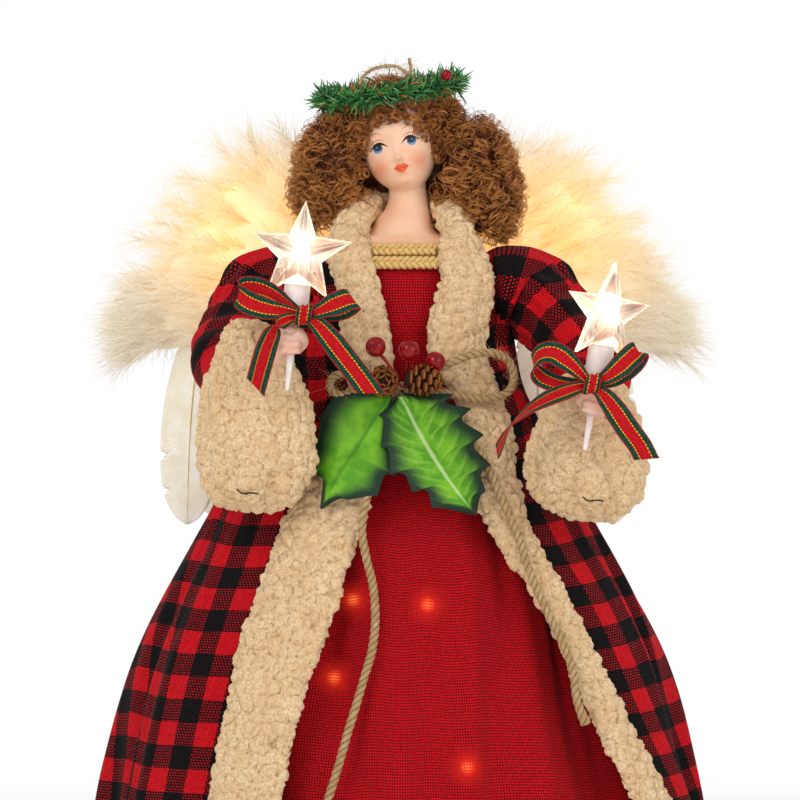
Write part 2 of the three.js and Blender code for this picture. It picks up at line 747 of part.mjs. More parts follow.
// Each arm's places, as shares of the reach from the shoulder to the hand. The bow's two tails are
// given in the hand's frame, as [across, up] from the knot.
const armReach = 100;
const arms = {
  left: {
    side: -1,
    candleLean: 0.1,
    candleYaw: -0.05,
    cuffHeightShare: 1,
    handShares: [-0.02, -0.84, -0.29],
    cuffShares: [-0.215, -0.655, -0.66],
    wristShares: [-0.12, -0.68, -0.4],
    sleeveShares: [
      [-0.18, -0.02, -0.07], [-0.3, -0.18, -0.26], [-0.33, -0.4, -0.42], [-0.24, -0.56, -0.48]],
    tailShares: [
      [[-0.08, -0.02], [-0.15, -0.15], [-0.18, -0.26]], [[0.14, -0.01], [0.26, -0.12], [0.37, -0.25]]],
  },
  right: {
    side: 1,
    candleLean: 0.16,
    candleYaw: 0.6,
    cuffHeightShare: 0.8,
    handShares: [0.43, -0.85, -0.58],
    cuffShares: [0.42, -0.61, -0.79],
    wristShares: [0.43, -0.66, -0.66],
    sleeveShares: [
      [0.18, -0.02, -0.07], [0.34, -0.18, -0.26], [0.44, -0.36, -0.46], [0.42, -0.5, -0.6]],
    tailShares: [
      [[-0.16, -0.02], [-0.32, -0.12], [-0.44, -0.24]], [[0.12, -0.03], [0.24, -0.16], [0.32, -0.3]]],
  },
};
const atReach = (arm, shares) => armPivot(arm.side).map((value, k) => value + shares[k] * armReach);

// The wire inside an arm runs from the shoulder wire to the fist.
const armWireSteps = 7;
const armWireStartShare = 0.6;

function armWirePoints(arm) {
  const start = armPivot(arm.side);
  start[0] += arm.side * shoulderWireDiameter * armWireStartShare;
  return [start, ...arm.sleeveShares.map((shares) => atReach(arm, shares)), atReach(arm, arm.wristShares)];
}

const armWire = (arm, clearance) => tube(
  armWirePoints(arm), armWireDiameter + clearance, 6, armWireSteps);

// The sleeve: a ball that turns in the armhole, and a limb that narrows to the wrist.
const sleeveStartShare = 0.2;
const sleeveRadiusShares = [0.7, 0.72, 0.82, 0.8];

function sleeveLimb(arm, grow) {
  const points = [armPivot(arm.side), ...arm.sleeveShares.map((shares) => atReach(arm, shares))];
  points[0][0] += arm.side * sleeveBallRadius * sleeveStartShare;
  const radii = [...sleeveRadiusShares.map((share) => share * sleeveBallRadius), sleeveWristRadius];
  return loft(sweepRings(points, radii.map((radius) => radius + grow), 12, 6));
}

const makeSleeve = (arm) => cut(
  joined(armholeTool(arm.side, 0), sleeveLimb(arm, 0)),
  armWire(arm, 3 * gap), wireHole(shoulderWireDiameter + 2 * gap));

// A teardrop cuff of folded fleece: [height share, half width and depth share, lean share].
const cuffSides = 14;
const cuffShares = [
  [0, 0.3, 0], [0.05, 0.62, 0], [0.15, 0.86, 0.01], [0.32, 1, 0.02], [0.5, 0.97, 0.02],
  [0.68, 0.83, 0], [0.84, 0.66, -0.05], [0.95, 0.48, -0.1], [1, 0.28, -0.12],
];

function makeCuff(arm) {
  const height = cuffHeight * arm.cuffHeightShare;
  const [x, y, z] = atReach(arm, arm.cuffShares);
  const bag = loft(cuffShares.map(([up, wide, lean]) => ellipseRing(
    [x - arm.side * lean * height, y, z + (up - 1 / 2) * height],
    cuffHalfWidth * wide, cuffHalfDepth * wide, cuffSides)));
  const wristPath = [arm.sleeveShares.at(-1), arm.wristShares, arm.handShares];
  const wrist = tube(wristPath.map((shares) => atReach(arm, shares)), 2 * (handHalfWidth + clothGap), 8, 3);
  return cut(bag, sleeveLimb(arm, clothGap), wrist, armWire(arm, 3 * gap),
    armholeTool(arm.side, armholeGap));
}

// The hand's own frame: the candle stands on +Z through the fist, and the knuckles face -Y.
const handFrame = (arm) => {
  const frame = new THREE.Group();
  frame.position.set(...atReach(arm, arm.handShares));
  frame.rotation.set(0, arm.candleLean, 0);
  frame.updateMatrixWorld();
  return frame;
};

// The fist's balls: [their sizes, their place], as shares of the hand's half width and half height.
const fistShares = [[1, 0.95, 1], [0, 0, 0]];
const thumbShares = [[0.4, 0.75, 0.34], [-0.85, -0.3, 0.4]];
const fingerSizeShares = [0.8, 0.45, 0.3];
const fingerLevelShares = [-0.66, -0.22, 0.22, 0.66];
const fingerReachShares = { middle: 0.62, curl: 0.35 };
const wristRadiusShares = [0.85, 0.7];
const wireEndShares = [-0.4, 0.12];

function makeHand(arm) {
  const half = handHeight / 2;
  const handBall = ([size, [across, deep, up]], sides) => ball(
    [handHalfWidth * size[0], handHalfWidth * size[1], half * size[2]],
    [arm.side * handHalfWidth * across, handHalfWidth * deep, half * up], sides);
  const fingers = fingerLevelShares.map((level) => handBall([fingerSizeShares,
    [0, -fingerReachShares.middle * (1 - fingerReachShares.curl * level * level), level]], 6));
  const frame = handFrame(arm);
  const toHand = (point) => frame.worldToLocal(new THREE.Vector3(...point)).toArray();
  const [wristSpot, handSpot] = [atReach(arm, arm.wristShares), atReach(arm, arm.handShares)];
  const wrist = loft(sweepRings(
    [[0, 0, 0], toHand(wristSpot)], wristRadiusShares.map((share) => handHalfWidth * share), 8, 1));
  const wire = tube(wireEndShares.map((share) => toHand(mixPoint(wristSpot, handSpot, share))),
    armWireDiameter + 4 * gap, 6, 2);
  const grip = new THREE.CylinderGeometry(stemDiameter / 2 + gap, stemDiameter / 2 + gap,
    handHeight + 2 * cutOverrun, 10).rotateX(Math.PI / 2);
  return cut(joined(handBall(fistShares, 10), ...fingers, handBall(thumbShares, 6), wrist), grip, wire);
}

// The candle: a thin stem through the fist, a wide white tube on top and a neck for the bulb.
const socketFoot = handHeight / 2 + gap;
const socketTop = socketFoot + gap + socketHeight + handHeight * 0.4;
const socketFootShare = 0.94;
const capLap = starRadius * 0.17;
const starSeatShare = 0.6;
const starLift = socketTop + gap + starRadius * starInnerShare - capLap * starSeatShare;

function makeSocket() {
  const [stem, wide, neck] = [stemDiameter / 2, socketDiameter / 2, socketNeckDiameter / 2];
  return revolve([
    [0, -handHeight / 2 - stemBelowHand], [stem, -handHeight / 2 - stemBelowHand],
    [stem, socketFoot], [wide * socketFootShare, socketFoot], [wide, socketFoot + gap],
    [wide, socketTop], [neck, socketTop], [neck, socketTop + socketNeckHeight],
    [0, socketTop + socketNeckHeight],
  ], 12);
}

// A bulb's profile: [radius, height] as shares of its radius and height.
const bulbShares = [[0, 0], [0.7, 0], [1, 0.15], [1, 0.7], [0.7, 0.9], [0, 1]];
const bulbProfile = bulbShares.map(([out, up]) => [out * bulbDiameter / 2, up * bulbHeight]);

// The star cap: five pointed facets on each face, a collar below, and a mouth that takes the tube.
const starPoints = 5;
const starRimShare = 0.13;
const collarWallShare = 0.17;
const collarRiseShares = 1.5;
const starBoreShares = [[0.4, 0.34], [0, 0.4]];

function makeStar() {
  const rim = starHalfThickness * starRimShare;
  const points = [[0, -starHalfThickness, 0], [0, starHalfThickness, 0]];
  const faces = [];
  const corners = 2 * starPoints;
  for (let k = 0; k < corners; k++) {
    const radius = k % 2 ? starRadius * starInnerShare : starRadius;
    const turn = Math.PI / 2 + fullTurn * k / corners;
    for (const side of [-1, 1]) points.push([radius * Math.cos(turn), side * rim, radius * Math.sin(turn)]);
    const [front, back] = [2 + 2 * k, 3 + 2 * k];
    const next = (k + 1) % corners;
    const [frontNext, backNext] = [2 + 2 * next, 3 + 2 * next];
    faces.push([0, front, frontNext], [1, backNext, back]);
    faces.push([front, back, backNext], [front, backNext, frontNext]);
  }
  const notch = -starRadius * starInnerShare;
  const collarRadius = socketDiameter / 2 + gap + starHalfThickness * collarWallShare;
  const collarHigh = notch + capLap * collarRiseShares;
  const seat = socketTop + gap - starLift;
  const collar = new THREE.CylinderGeometry(collarRadius, collarRadius, collarHigh - notch + capLap, 18)
    .rotateX(Math.PI / 2).translate(0, 0, (collarHigh + notch - capLap) / 2);
  const mouth = revolve([
    [0, notch - capLap - cutOverrun], [socketDiameter / 2 + gap, notch - capLap - cutOverrun],
    [socketDiameter / 2 + gap, seat], [starBoreDiameter / 2, seat],
    ...starBoreShares.map(([out, up]) => [starBoreDiameter * out, starRadius * up]),
  ], 16);
  return cut(joined(solidFrom(points, faces), collar), mouth);
}

// A flat ribbon along a path: its width lies along one direction.
function ribbon(points, across, steps, width = ribbonWidth) {
  const curve = new THREE.CatmullRomCurve3(points.map((p) => new THREE.Vector3(...p)));
  const side = new THREE.Vector3(...across).normalize();
  const face = (lift) => (u, v) => {
    const normal = curve.getTangentAt(v).cross(side).normalize();
    return curve.getPointAt(v).addScaledVector(side, (u - 0.5) * width)
      .addScaledVector(normal, lift).toArray();
  };
  const half = ribbonThickness / 2;
  return sheet({ columns: 1, rows: steps, outer: face(half), inner: face(-half) });
}

// A bow's loop: [across, forward, up] as shares of the loop's reach, the bow's front and the ribbon.
const bowLoopReach = 27;
const bowLoopShares = [
  [0.037, 1, 0], [0.4, 1.3, 0.05], [0.85, 1.15, 0.35], [1, 0.55, 0.5], [0.82, 0.4, 0.42],
  [0.46, 0.85, 0.08], [0.044, 0.96, 0],
];
const bowKnotShares = [0.42, 0.3, 0.48];
const bowLiftShare = 0.45;
const bowFrontShare = 0.2;
const bowBandShare = 0.35;
const bowLoopWidthShare = 0.92;
const bowTailStepShare = 0.12;

function makeBow(arm) {
  const level = socketFoot + ribbonWidth * bowLiftShare;
  const [inner, outer] = [socketDiameter / 2 + gap, socketDiameter / 2 + gap + ribbonThickness
    + ribbonWidth * bowFrontShare];
  const half = ribbonWidth * bowBandShare;
  const band = revolve([
    [inner, level - half], [outer, level - half], [outer, level + half], [inner, level + half],
    [inner, level - half],
  ], 10);
  const knot = ball(bowKnotShares.map((share) => share * ribbonWidth), [0, -outer, level], 8);
  const loop = (side) => ribbon(bowLoopShares.map(([across, forward, up]) => [
    side * across * bowLoopReach, -outer * forward, level + up * ribbonWidth,
  ]), [0, 0, 1], 8, ribbonWidth * bowLoopWidthShare);
  const tail = (shares) => ribbon([
    [0, -outer, level],
    ...shares.map(([across, up], k) => [
      across * armReach, -outer - ribbonWidth * bowTailStepShare * (k + 1), up * armReach]),
  ], [-shares.at(-1)[1], 0, shares.at(-1)[0]], 5);
  return joined(band, knot, loop(-1), loop(1), ...arm.tailShares.map(tail));
}

for (const [name, arm] of Object.entries(arms)) {
  topper.add(
    piece(`${name}_sleeve`, makeSleeve(arm), looks.plaid),
    piece(`${name}_cuff`, makeCuff(arm), looks.fleece),
    piece(`${name}_arm_wire`, armWire(arm, 0), looks.wire),
  );
  const frame = handFrame(arm);
  const star = piece(`${name}_star_cap`, makeStar(), looks.acrylic, [0, 0, starLift]);
  star.rotation.z = arm.candleYaw;
  frame.add(
    piece(`${name}_hand`, makeHand(arm), looks.porcelain),
    piece(`${name}_candle_socket`, makeSocket(), looks.white),
    piece(`${name}_star_bulb`, revolve(bulbProfile, 10), looks.bulbGlass,
      [0, 0, socketTop + socketNeckHeight + gap]),
    star,
    piece(`${name}_ribbon_bow`, makeBow(arm), looks.ribbon),
  );
  topper.add(frame);
}

// The waist cluster: holly, pine cones, berries and the twine bow, set on the coat's front.
const frontEnvelope = (x, height, lift) => {
  const [width, front] = coatSize(height).map((size) => size + clothGap + fleeceThickness);
  return -(front + lift) * Math.sqrt(1 - (x / (width + lift)) ** 2);
};
const twineLift = twineDiameter + 2 * gap;
const clusterHeight = 0.815 * shoulderHeight;
const knotRadius = twineDiameter * 1.15;

// A holly leaf: [along, half width] shares of its edge, which runs from the stalk to the tip.
const leafOrderStep = 3;
const leafFoldShare = 2;
const leafShares = [
  [0, 0.12], [0.06, 0.42], [0.13, 0.96], [0.25, 0.68], [0.36, 1], [0.49, 0.64], [0.6, 0.86],
  [0.72, 0.46], [0.83, 0.6], [0.92, 0.2], [1, 0.03],
];
const leaves = {
  left: { rootShare: -0.07, aim: [-0.53, -0.85], order: 0 },
  right: { rootShare: 0, aim: [0.53, -0.85], order: 1 },
};

function makeLeaf({ rootShare, aim, order }) {
  const lift = twineLift + order * leafOrderStep * leafThickness;
  const face = (under) => (u, v) => {
    const place = v * (leafShares.length - 1);
    const low = Math.min(Math.floor(place), leafShares.length - 2);
    const [along, wide] = mixPoint(leafShares[low], leafShares[low + 1], place - low);
    const across = (2 * u - 1) * wide * leafHalfWidth;
    const x = rootShare * leafLength + aim[0] * along * leafLength - aim[1] * across;
    const height = clusterHeight - leafThickness + aim[1] * along * leafLength + aim[0] * across;
    const fold = leafThickness * leafFoldShare * ((2 * u - 1) ** 2 + along);
    return [x, frontEnvelope(x, height, lift + fold + (under ? 0 : leafThickness)), height];
  };
  return sheet({ columns: 4, rows: leafShares.length - 1, outer: face(false), inner: face(true) });
}

// A pine cone: rings that swell and step in like rows of scales, each row turned half a scale.
const scaleRows = 5;
const scalesRound = 7;
const scaleStepShares = [[0, 1], [0.72, 0.62]];
const scaleLobeShare = 0.22;
const coneGirthShares = { start: 0.2, run: 0.75, power: 0.7 };

function makePineCone(radius, length) {
  const rings = [];
  for (let row = 0; row < scaleRows; row++) {
    for (const [step, open] of scaleStepShares) {
      const along = (row + step) / scaleRows;
      const swell = Math.sin(Math.PI * (coneGirthShares.start + coneGirthShares.run * along));
      const girth = radius * swell ** coneGirthShares.power;
      rings.push(Array.from({ length: 2 * scalesRound }, (_, side) => {
        const turn = Math.PI * (side + row) / scalesRound;
        const lobe = 1 - scaleLobeShare * ((side + (open < 1 ? 1 : 0)) % 2);
        return [girth * open * lobe * Math.cos(turn), girth * open * lobe * Math.sin(turn), along * length];
      }));
    }
  }
  return loft(rings);
}

// One cone lies on its side, the other shows its end. Shares: across, up and forward.
const sideConeShares = [0.03, 0.85, 2.2];
const endConeShares = [-0.13, 1, 1];
const endConeLengthShare = 0.8;

function conePlace([across, up, forward], radius, lift) {
  const [x, height] = [leafLength * across, clusterHeight + radius * up];
  return [x, frontEnvelope(x, height, twineLift + lift + forward * leafThickness), height];
}

const sideConePlace = conePlace(sideConeShares, pineConeRadius, pineConeRadius);
const endConePlace = conePlace(endConeShares, coneBodyRadius + leafThickness, 0);
const sideCone = (grow) => makePineCone(pineConeRadius + grow, pineConeLength + grow)
  .rotateY(Math.PI / 2).translate(...sideConePlace);
const endCone = (grow) => makePineCone(coneBodyRadius + grow, pineConeLength * endConeLengthShare)
  .rotateX(Math.PI / 2).translate(...endConePlace);

// Berries: [across, height above the cluster, forward of the envelope], in berry diameters.
const berryShares = [[-1.2, 2.35, 0.65], [0.42, 2.25, 1.1], [1.75, 1.7, 0.55]];
const berryStemShares = [0.1, 0.75];

function makeBerry([across, up, forward]) {
  const x = across * berryDiameter;
  const height = clusterHeight + up * berryDiameter;
  const place = [x, frontEnvelope(x, height, forward * berryDiameter), height];
  const root = [sideConePlace[0], sideConePlace[1] + berryDiameter / 2, clusterHeight];
  const stem = tube(berryStemShares.map((share) => mixPoint(place, root, share)), berryStemDiameter, 6, 2);
  const whole = joined(ball(Array(3).fill(berryDiameter / 2), place, 10), stem);
  return cut(whole, sideCone(gap), endCone(gap), twineBow(2 * gap));
}

// The twine bow: a knot with one wide loop and one small one. Its tails hang as cords.
const loopShares = {
  wide: [[0, 0], [0.36, 0.02], [0.66, 0.26], [0.86, 0.28], [0.85, 0.06], [0.6, -0.02], [0.33, -0.07]],
  small: [[0, 0], [-0.3, 0.13], [-0.5, 0.16], [-0.53, 0.06], [-0.36, 0], [-0.15, -0.02]],
};
const loopEndShares = [0.02, -0.02];

function twineBow(grow) {
  const spot = ([across, up]) => {
    const [x, height] = [across * leafLength, clusterHeight + up * leafLength];
    return [x, frontEnvelope(x, height, 2 * gap + twineDiameter / 2), height];
  };
  const loops = Object.values(loopShares).map((shares) => loft(sweepRings(
    [...shares.map(spot), spot(loopEndShares)], Array(2).fill(twineDiameter / 2 + grow), 6, 10)));
  const knot = ball(Array(3).fill(knotRadius + grow), spot([0, 0]), 8);
  return joined(knot, ...loops);
}

// Each tail's route, chosen by hand from the knot down over the skirt or the fleece.
const twineRoutes = {
  left: [
    [-4, -45, 238], [-7, -51, 228], [-11, -57, 214], [-15.5, -63.6, 198], [-18.5, -68.6, 180],
    [-16.5, -67.5, 166], [-13.2, -64.5, 152], [-12, -66.5, 136], [-13.5, -69.5, 121],
    [-17.2, -72, 108], [-21, -74.5, 95], [-25, -76.6, 82], [-30.4, -78.6, 63], [-35.5, -80, 47],
    [-40, -80.5, 34],
  ],
  right: [
    [11, -47.8, 237.4], [17, -48.6, 234.6], [27, -49.5, 228], [38, -51, 217], [45, -54, 204.5],
    [50.5, -57.5, 192], [57.8, -62, 175], [61.5, -65.5, 163], [66, -68, 151], [71, -70.5, 140],
    [76.8, -72.5, 128.5], [81, -74.5, 119], [84, -76.5, 109], [85.5, -78.5, 97], [90, -79.5, 85],
  ],
};

for (const [name, leaf] of Object.entries(leaves)) {
  topper.add(piece(`${name}_holly_leaf`, makeLeaf(leaf), looks.leaf));
}
topper.add(
  piece('front_pine_cone', endCone(0), looks.bark),
  piece('side_pine_cone', sideCone(0), looks.bark),
  ...berryShares.map((shares, k) => piece(`waist_berry_${k + 1}`, makeBerry(shares), looks.berry)),
  piece('twine_bow', twineBow(0), looks.twine),
);

// A cord needs one step for every few diameters of its length.
const cordStepDiameters = 2.5;

function cordSteps(route) {
  const length = route.slice(1).reduce((sum, point, k) => (
    sum + Math.hypot(...point.map((value, axis) => value - route[k][axis]))), 0);
  return Math.round(length / (cordStepDiameters * twineDiameter));
}

for (const [name, route] of Object.entries(twineRoutes)) {
  topper.add(piece(`${name}_twine_tail`, tube(route, twineDiameter, 8, cordSteps(route)), looks.twine));
}

// The wings, in the frame of their root: x runs out along the wing and y runs back.
const wingUpper = shareTable([
  [0, 0.2], [0.12, 0.42], [0.3, 0.56], [0.48, 0.53], [0.62, 0.38], [0.75, 0.15], [0.88, -0.08], [1, -0.3],
]);
const wingLower = shareTable([
  [0, -0.16], [0.1, -0.28], [0.3, -0.35], [0.6, -0.4], [0.85, -0.43], [1, -0.38],
]);
const wingBack = (x) => wingSweepShare * x;
const puffShares = { edge: 0.2, rise: 0.8, root: 0.45, middle: 0.55, power: 0.8 };
const lumpShare = 0.14;
const lumpWaves = { out: 11, up: 9, skewUp: 3, skewOut: 4 };

function makeMarabou() {
  const face = (front) => (u, v) => {
    const x = mix(0, wingSpan, u);
    const z = wingHeight * mix(wingLower(u)[0], wingUpper(u)[0], v);
    const puff = (puffShares.edge + puffShares.rise * Math.sin(Math.PI * v))
      * (puffShares.root + puffShares.middle * Math.sin(Math.PI * u ** puffShares.power));
    const lump = 1 + lumpShare * Math.sin(lumpWaves.out * u + lumpWaves.skewUp * v)
      * Math.sin(lumpWaves.up * v - lumpWaves.skewOut * u);
    return [x, wingBack(x) - (front ? wingThickness * puff * lump : 0), z];
  };
  return sheet({ columns: 10, rows: 5, outer: face(true), inner: face(false) });
}

// The flight feathers hang below, fanned from the wing's middle to its tip. Each pair is the value
// for the first feather and for the last.
const featherCount = 6;
const featherRootShares = { out: [0.5, 0.8], down: [0.2, 0.27] };
const featherLean = [-0.02, 0.11];
const featherShortShares = { drop: 0.53, place: 0.55 };
const featherLapShare = 0.6;
const featherOutline = shareTable([
  [0, 0.16], [0.12, 0.62], [0.4, 0.98], [0.75, 1], [0.93, 0.62], [1, 0.08],
]);

function makeFlightFeathers() {
  const spread = Array.from({ length: featherCount }, (_, k) => {
    const share = k / (featherCount - 1);
    const rootX = wingSpan * mix(...featherRootShares.out, share);
    const rootZ = -wingHeight * mix(...featherRootShares.down, share);
    const lean = mix(...featherLean, share);
    const length = featherLength * (1 - featherShortShares.drop * (share - featherShortShares.place) ** 2);
    const back = gap + k * featherThickness * featherLapShare;
    const face = (lift) => (u, v) => {
      const across = (u - 1 / 2) * featherWidth * featherOutline(v)[0];
      const along = v * length;
      const x = rootX + along * Math.sin(lean) + across * Math.cos(lean);
      return [x, wingBack(x) + back + lift, rootZ - along * Math.cos(lean) + across * Math.sin(lean)];
    };
    return sheet({ columns: 2, rows: 4, outer: face(0), inner: face(featherThickness) });
  });
  return joined(...spread);
}

function onWing(xShare, zShare, lift) {
  const x = xShare * wingSpan;
  return [x, wingBack(x) + lift, zShare * wingHeight];
}

const sparShares = [[0, 0.02], [0.12, 0.22], [0.3, 0.4], [0.5, 0.38], [0.66, 0.16], [0.82, -0.1]];
const wingLeadShares = [[0.02, -0.12], [0.12, -0.04], [0.22, 0.02], [0.36, -0.02], [0.5, 0.06]];
const wingLampShares = [[0.22, 0.08], [0.5, 0.12]];

const makeSpar = () => tube(
  sparShares.map(([x, z]) => onWing(x, z, frameWireDiameter / 2 + gap)), frameWireDiameter, 6, 10);

function makeWingLead() {
  const lift = leadDiameter / 2 + gap;
  const run = tube(wingLeadShares.map(([x, z]) => onWing(x, z, lift)), leadDiameter, 6, 10);
  const holders = wingLampShares.map(([x, z]) => new THREE.CylinderGeometry(
    holderDiameter / 2, holderDiameter / 2, holderHeight, 8).rotateX(Math.PI / 2)
    .translate(...onWing(x, z, holderDiameter / 2 + 3 * gap)).translate(0, 0, -holderHeight / 2));
  return joined(run, ...holders);
}

// The card that holds both wings stands against the coat's back, which is widest at the card's foot.
const wingRootHeight = shoulderHeight + wingRootRise;
const wingPlatePlace = wingRootHeight - wingPlateHeight * wingPlateDropShare;
const wingPlateFoot = wingPlatePlace - wingPlateHeight / 2;
const wingBackset = coatSize(wingPlateFoot)[2] + wingPlateThickness + 2 * gap;

function makeWingPlate() {
  const shape = new THREE.Shape();
  const [half, tall] = [wingRootOffset - clothGap, wingPlateHeight / 2];
  shape.absellipse(0, 0, half, tall, 0, fullTurn);
  const depth = wingPlateThickness;
  return new THREE.ExtrudeGeometry(shape, { depth, bevelEnabled: false, curveSegments: 14 })
    .rotateX(Math.PI / 2).translate(0, wingBackset - gap, wingPlatePlace);
}

const mirrored = (geometry, side) => (side > 0 ? geometry
  : toGeometry(toSolid(geometry).mirror([1, 0, 0])));

topper.add(piece('wing_plate', makeWingPlate(), looks.card));
for (const [name, side] of [['left', -1], ['right', 1]]) {
  const wing = new THREE.Group();
  wing.position.set(side * wingRootOffset, wingBackset, wingRootHeight);
  wing.add(
    piece(`${name}_marabou`, mirrored(makeMarabou(), side), looks.feather),
    piece(`${name}_flight_feathers`, mirrored(makeFlightFeathers(), side), looks.feather),
    piece(`${name}_wing_spar`, mirrored(makeSpar(), side), looks.wire),
    piece(`${name}_wing_lead`, mirrored(makeWingLead(), side), looks.lead),
  );
  wingLampShares.forEach(([x, z], k) => {
    const [lampX, lampY, lampZ] = onWing(x, z, holderDiameter / 2 + 3 * gap);
    wing.add(piece(`${name}_wing_bulb_${k + 1}`, revolve(bulbProfile, 6), looks.bulbGlass,
      [side * lampX, lampY, lampZ + gap]));
  });
  topper.add(wing);
}

// The light string round the cone: [turn in degrees, height share of the cone] of each lamp.
const skirtLampShares = [[20, 0.55], [-36, 0.56], [-44, 0.4], [37, 0.22]];
const leadShares = [
  [150, 0.9], [100, 0.77], [60, 0.62], [20, 0.54], [-10, 0.53], [-36, 0.55], [-62, 0.51],
  [-68, 0.43], [-44, 0.39], [-10, 0.34], [10, 0.26], [37, 0.21], [80, 0.16], [130, 0.1],
];
const leadSteps = 28;
const coneHeight = coneTopShare * shoulderHeight - gap;
const coneSlope = Math.atan((coneFootRadius - coneTopRadius) / coneHeight);

function conePoint([degrees, share], offset) {
  const radius = mix(coneFootRadius, coneTopRadius, share) + offset;
  const turn = THREE.MathUtils.degToRad(degrees);
  return [radius * Math.sin(turn), -radius * Math.cos(turn), share * coneHeight];
}

function onCone(geometry, spot, offset) {
  return geometry.rotateX(-coneSlope).rotateZ(THREE.MathUtils.degToRad(spot[0]))
    .translate(...conePoint(spot, offset));
}

function makeLightString() {
  const lift = leadDiameter / 2 + clothGap + gap;
  const plan = new THREE.CatmullRomCurve3(
    leadShares.map(([turn, share]) => new THREE.Vector3(turn, share, 0)));
  const route = plan.getPoints(leadSteps).map(({ x, y }) => conePoint([x, y], lift));
  const run = tube(route, leadDiameter, 6, leadSteps);
  const holders = skirtLampShares.map((spot) => onCone(new THREE.CylinderGeometry(
    holderDiameter / 2, holderDiameter / 2, holderHeight, 8).rotateX(Math.PI / 2),
  spot, holderDiameter / 2 + 2 * gap));
  return joined(run, ...holders);
}

topper.add(
  piece('skirt_light_string', makeLightString(), looks.lead),
  ...skirtLampShares.map((spot, k) => piece(`skirt_bulb_${k + 1}`, onCone(
    revolve(bulbProfile, 6).translate(0, 0, holderHeight / 2 + gap),
    spot, holderDiameter / 2 + 2 * gap), looks.bulbGlass)),
);

export default topper;
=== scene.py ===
# %% [markdown]
# # A lighted tree topper, dressed on its solids
# The doll is a hollow cone with a stuffed body on it, a porcelain head, and clothes sewn round them.
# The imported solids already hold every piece's place and how it moves. This lesson gives them their
# cloth, fleece, curls, feathers and paint. Lengths below are millimetres until a mesh is made.

# %% Load the frame
import math

import bpy
import numpy as np
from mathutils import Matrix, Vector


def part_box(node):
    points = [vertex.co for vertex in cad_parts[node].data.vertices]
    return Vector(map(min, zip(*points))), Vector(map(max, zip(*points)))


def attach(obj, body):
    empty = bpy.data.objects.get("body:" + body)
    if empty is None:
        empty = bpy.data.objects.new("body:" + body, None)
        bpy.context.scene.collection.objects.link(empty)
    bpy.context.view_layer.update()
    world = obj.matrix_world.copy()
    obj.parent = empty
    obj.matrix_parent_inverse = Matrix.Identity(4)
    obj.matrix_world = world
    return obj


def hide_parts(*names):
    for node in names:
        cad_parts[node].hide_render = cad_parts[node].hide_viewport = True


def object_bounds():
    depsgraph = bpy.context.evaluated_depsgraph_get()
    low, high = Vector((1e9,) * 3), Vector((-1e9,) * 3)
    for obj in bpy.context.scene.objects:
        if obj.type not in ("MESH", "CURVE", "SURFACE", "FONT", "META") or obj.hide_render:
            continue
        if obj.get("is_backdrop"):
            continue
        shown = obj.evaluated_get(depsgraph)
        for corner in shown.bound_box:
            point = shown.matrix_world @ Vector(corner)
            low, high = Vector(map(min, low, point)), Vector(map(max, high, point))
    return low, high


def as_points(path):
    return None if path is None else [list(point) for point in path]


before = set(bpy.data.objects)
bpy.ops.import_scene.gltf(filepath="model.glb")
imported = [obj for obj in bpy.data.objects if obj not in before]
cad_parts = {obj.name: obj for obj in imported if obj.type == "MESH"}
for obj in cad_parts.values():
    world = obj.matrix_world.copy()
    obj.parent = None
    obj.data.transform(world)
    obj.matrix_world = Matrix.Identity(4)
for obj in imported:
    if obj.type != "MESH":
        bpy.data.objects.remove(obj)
cad_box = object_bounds()
MM = 0.001
SIDES = {"left": -1, "right": 1}
rng = np.random.default_rng(24)

# %% [markdown]
# ## Camera, light and ground
# The photograph looks straight at the doll from its own height with a long lens, which keeps the
# stars in front about as large as the face. A camera could be placed by eye, but its lens follows
# from three facts: the picture is 800 pixels wide, one pixel is 0.49 mm at the doll, and the
# distance is long. The ground is white like the paper sweep of a studio, and only carries a shadow.

# %% Camera
PHOTO_PIXELS = 800
MM_PER_PIXEL = 0.49
VIEW_DISTANCE = 2400
FRAME_MIDDLE = (0, -45, 242)
SENSOR = 36


def aim_camera():
    """Puts the camera on the line through FRAME_MIDDLE along -Y, with the lens that frames the picture."""
    data = bpy.data.cameras.new("photo_camera")
    data.sensor_width = SENSOR
    data.lens = SENSOR * VIEW_DISTANCE / (PHOTO_PIXELS * MM_PER_PIXEL)
    data.clip_end = 20
    camera = bpy.data.objects.new("photo_camera", data)
    x, y, z = FRAME_MIDDLE
    camera.location = (x * MM, (y - VIEW_DISTANCE) * MM, z * MM)
    camera.rotation_euler = (math.pi / 2, 0, 0)
    bpy.context.scene.collection.objects.link(camera)
    bpy.context.scene.camera = camera
    print("lens", round(data.lens, 1), "mm")


aim_camera()
bpy.context.scene.view_settings.view_transform = "Standard"

# %% [markdown]
# ## A short way to write finishes
# A finish is a small graph of nodes. Written out node by node it hides its own formula, so here a
# `Wire` stands for a number between two nodes, and sums, products and steps of wires read like the
# formula itself. A `Finish` holds one material and hands out its first wires: places and noises.

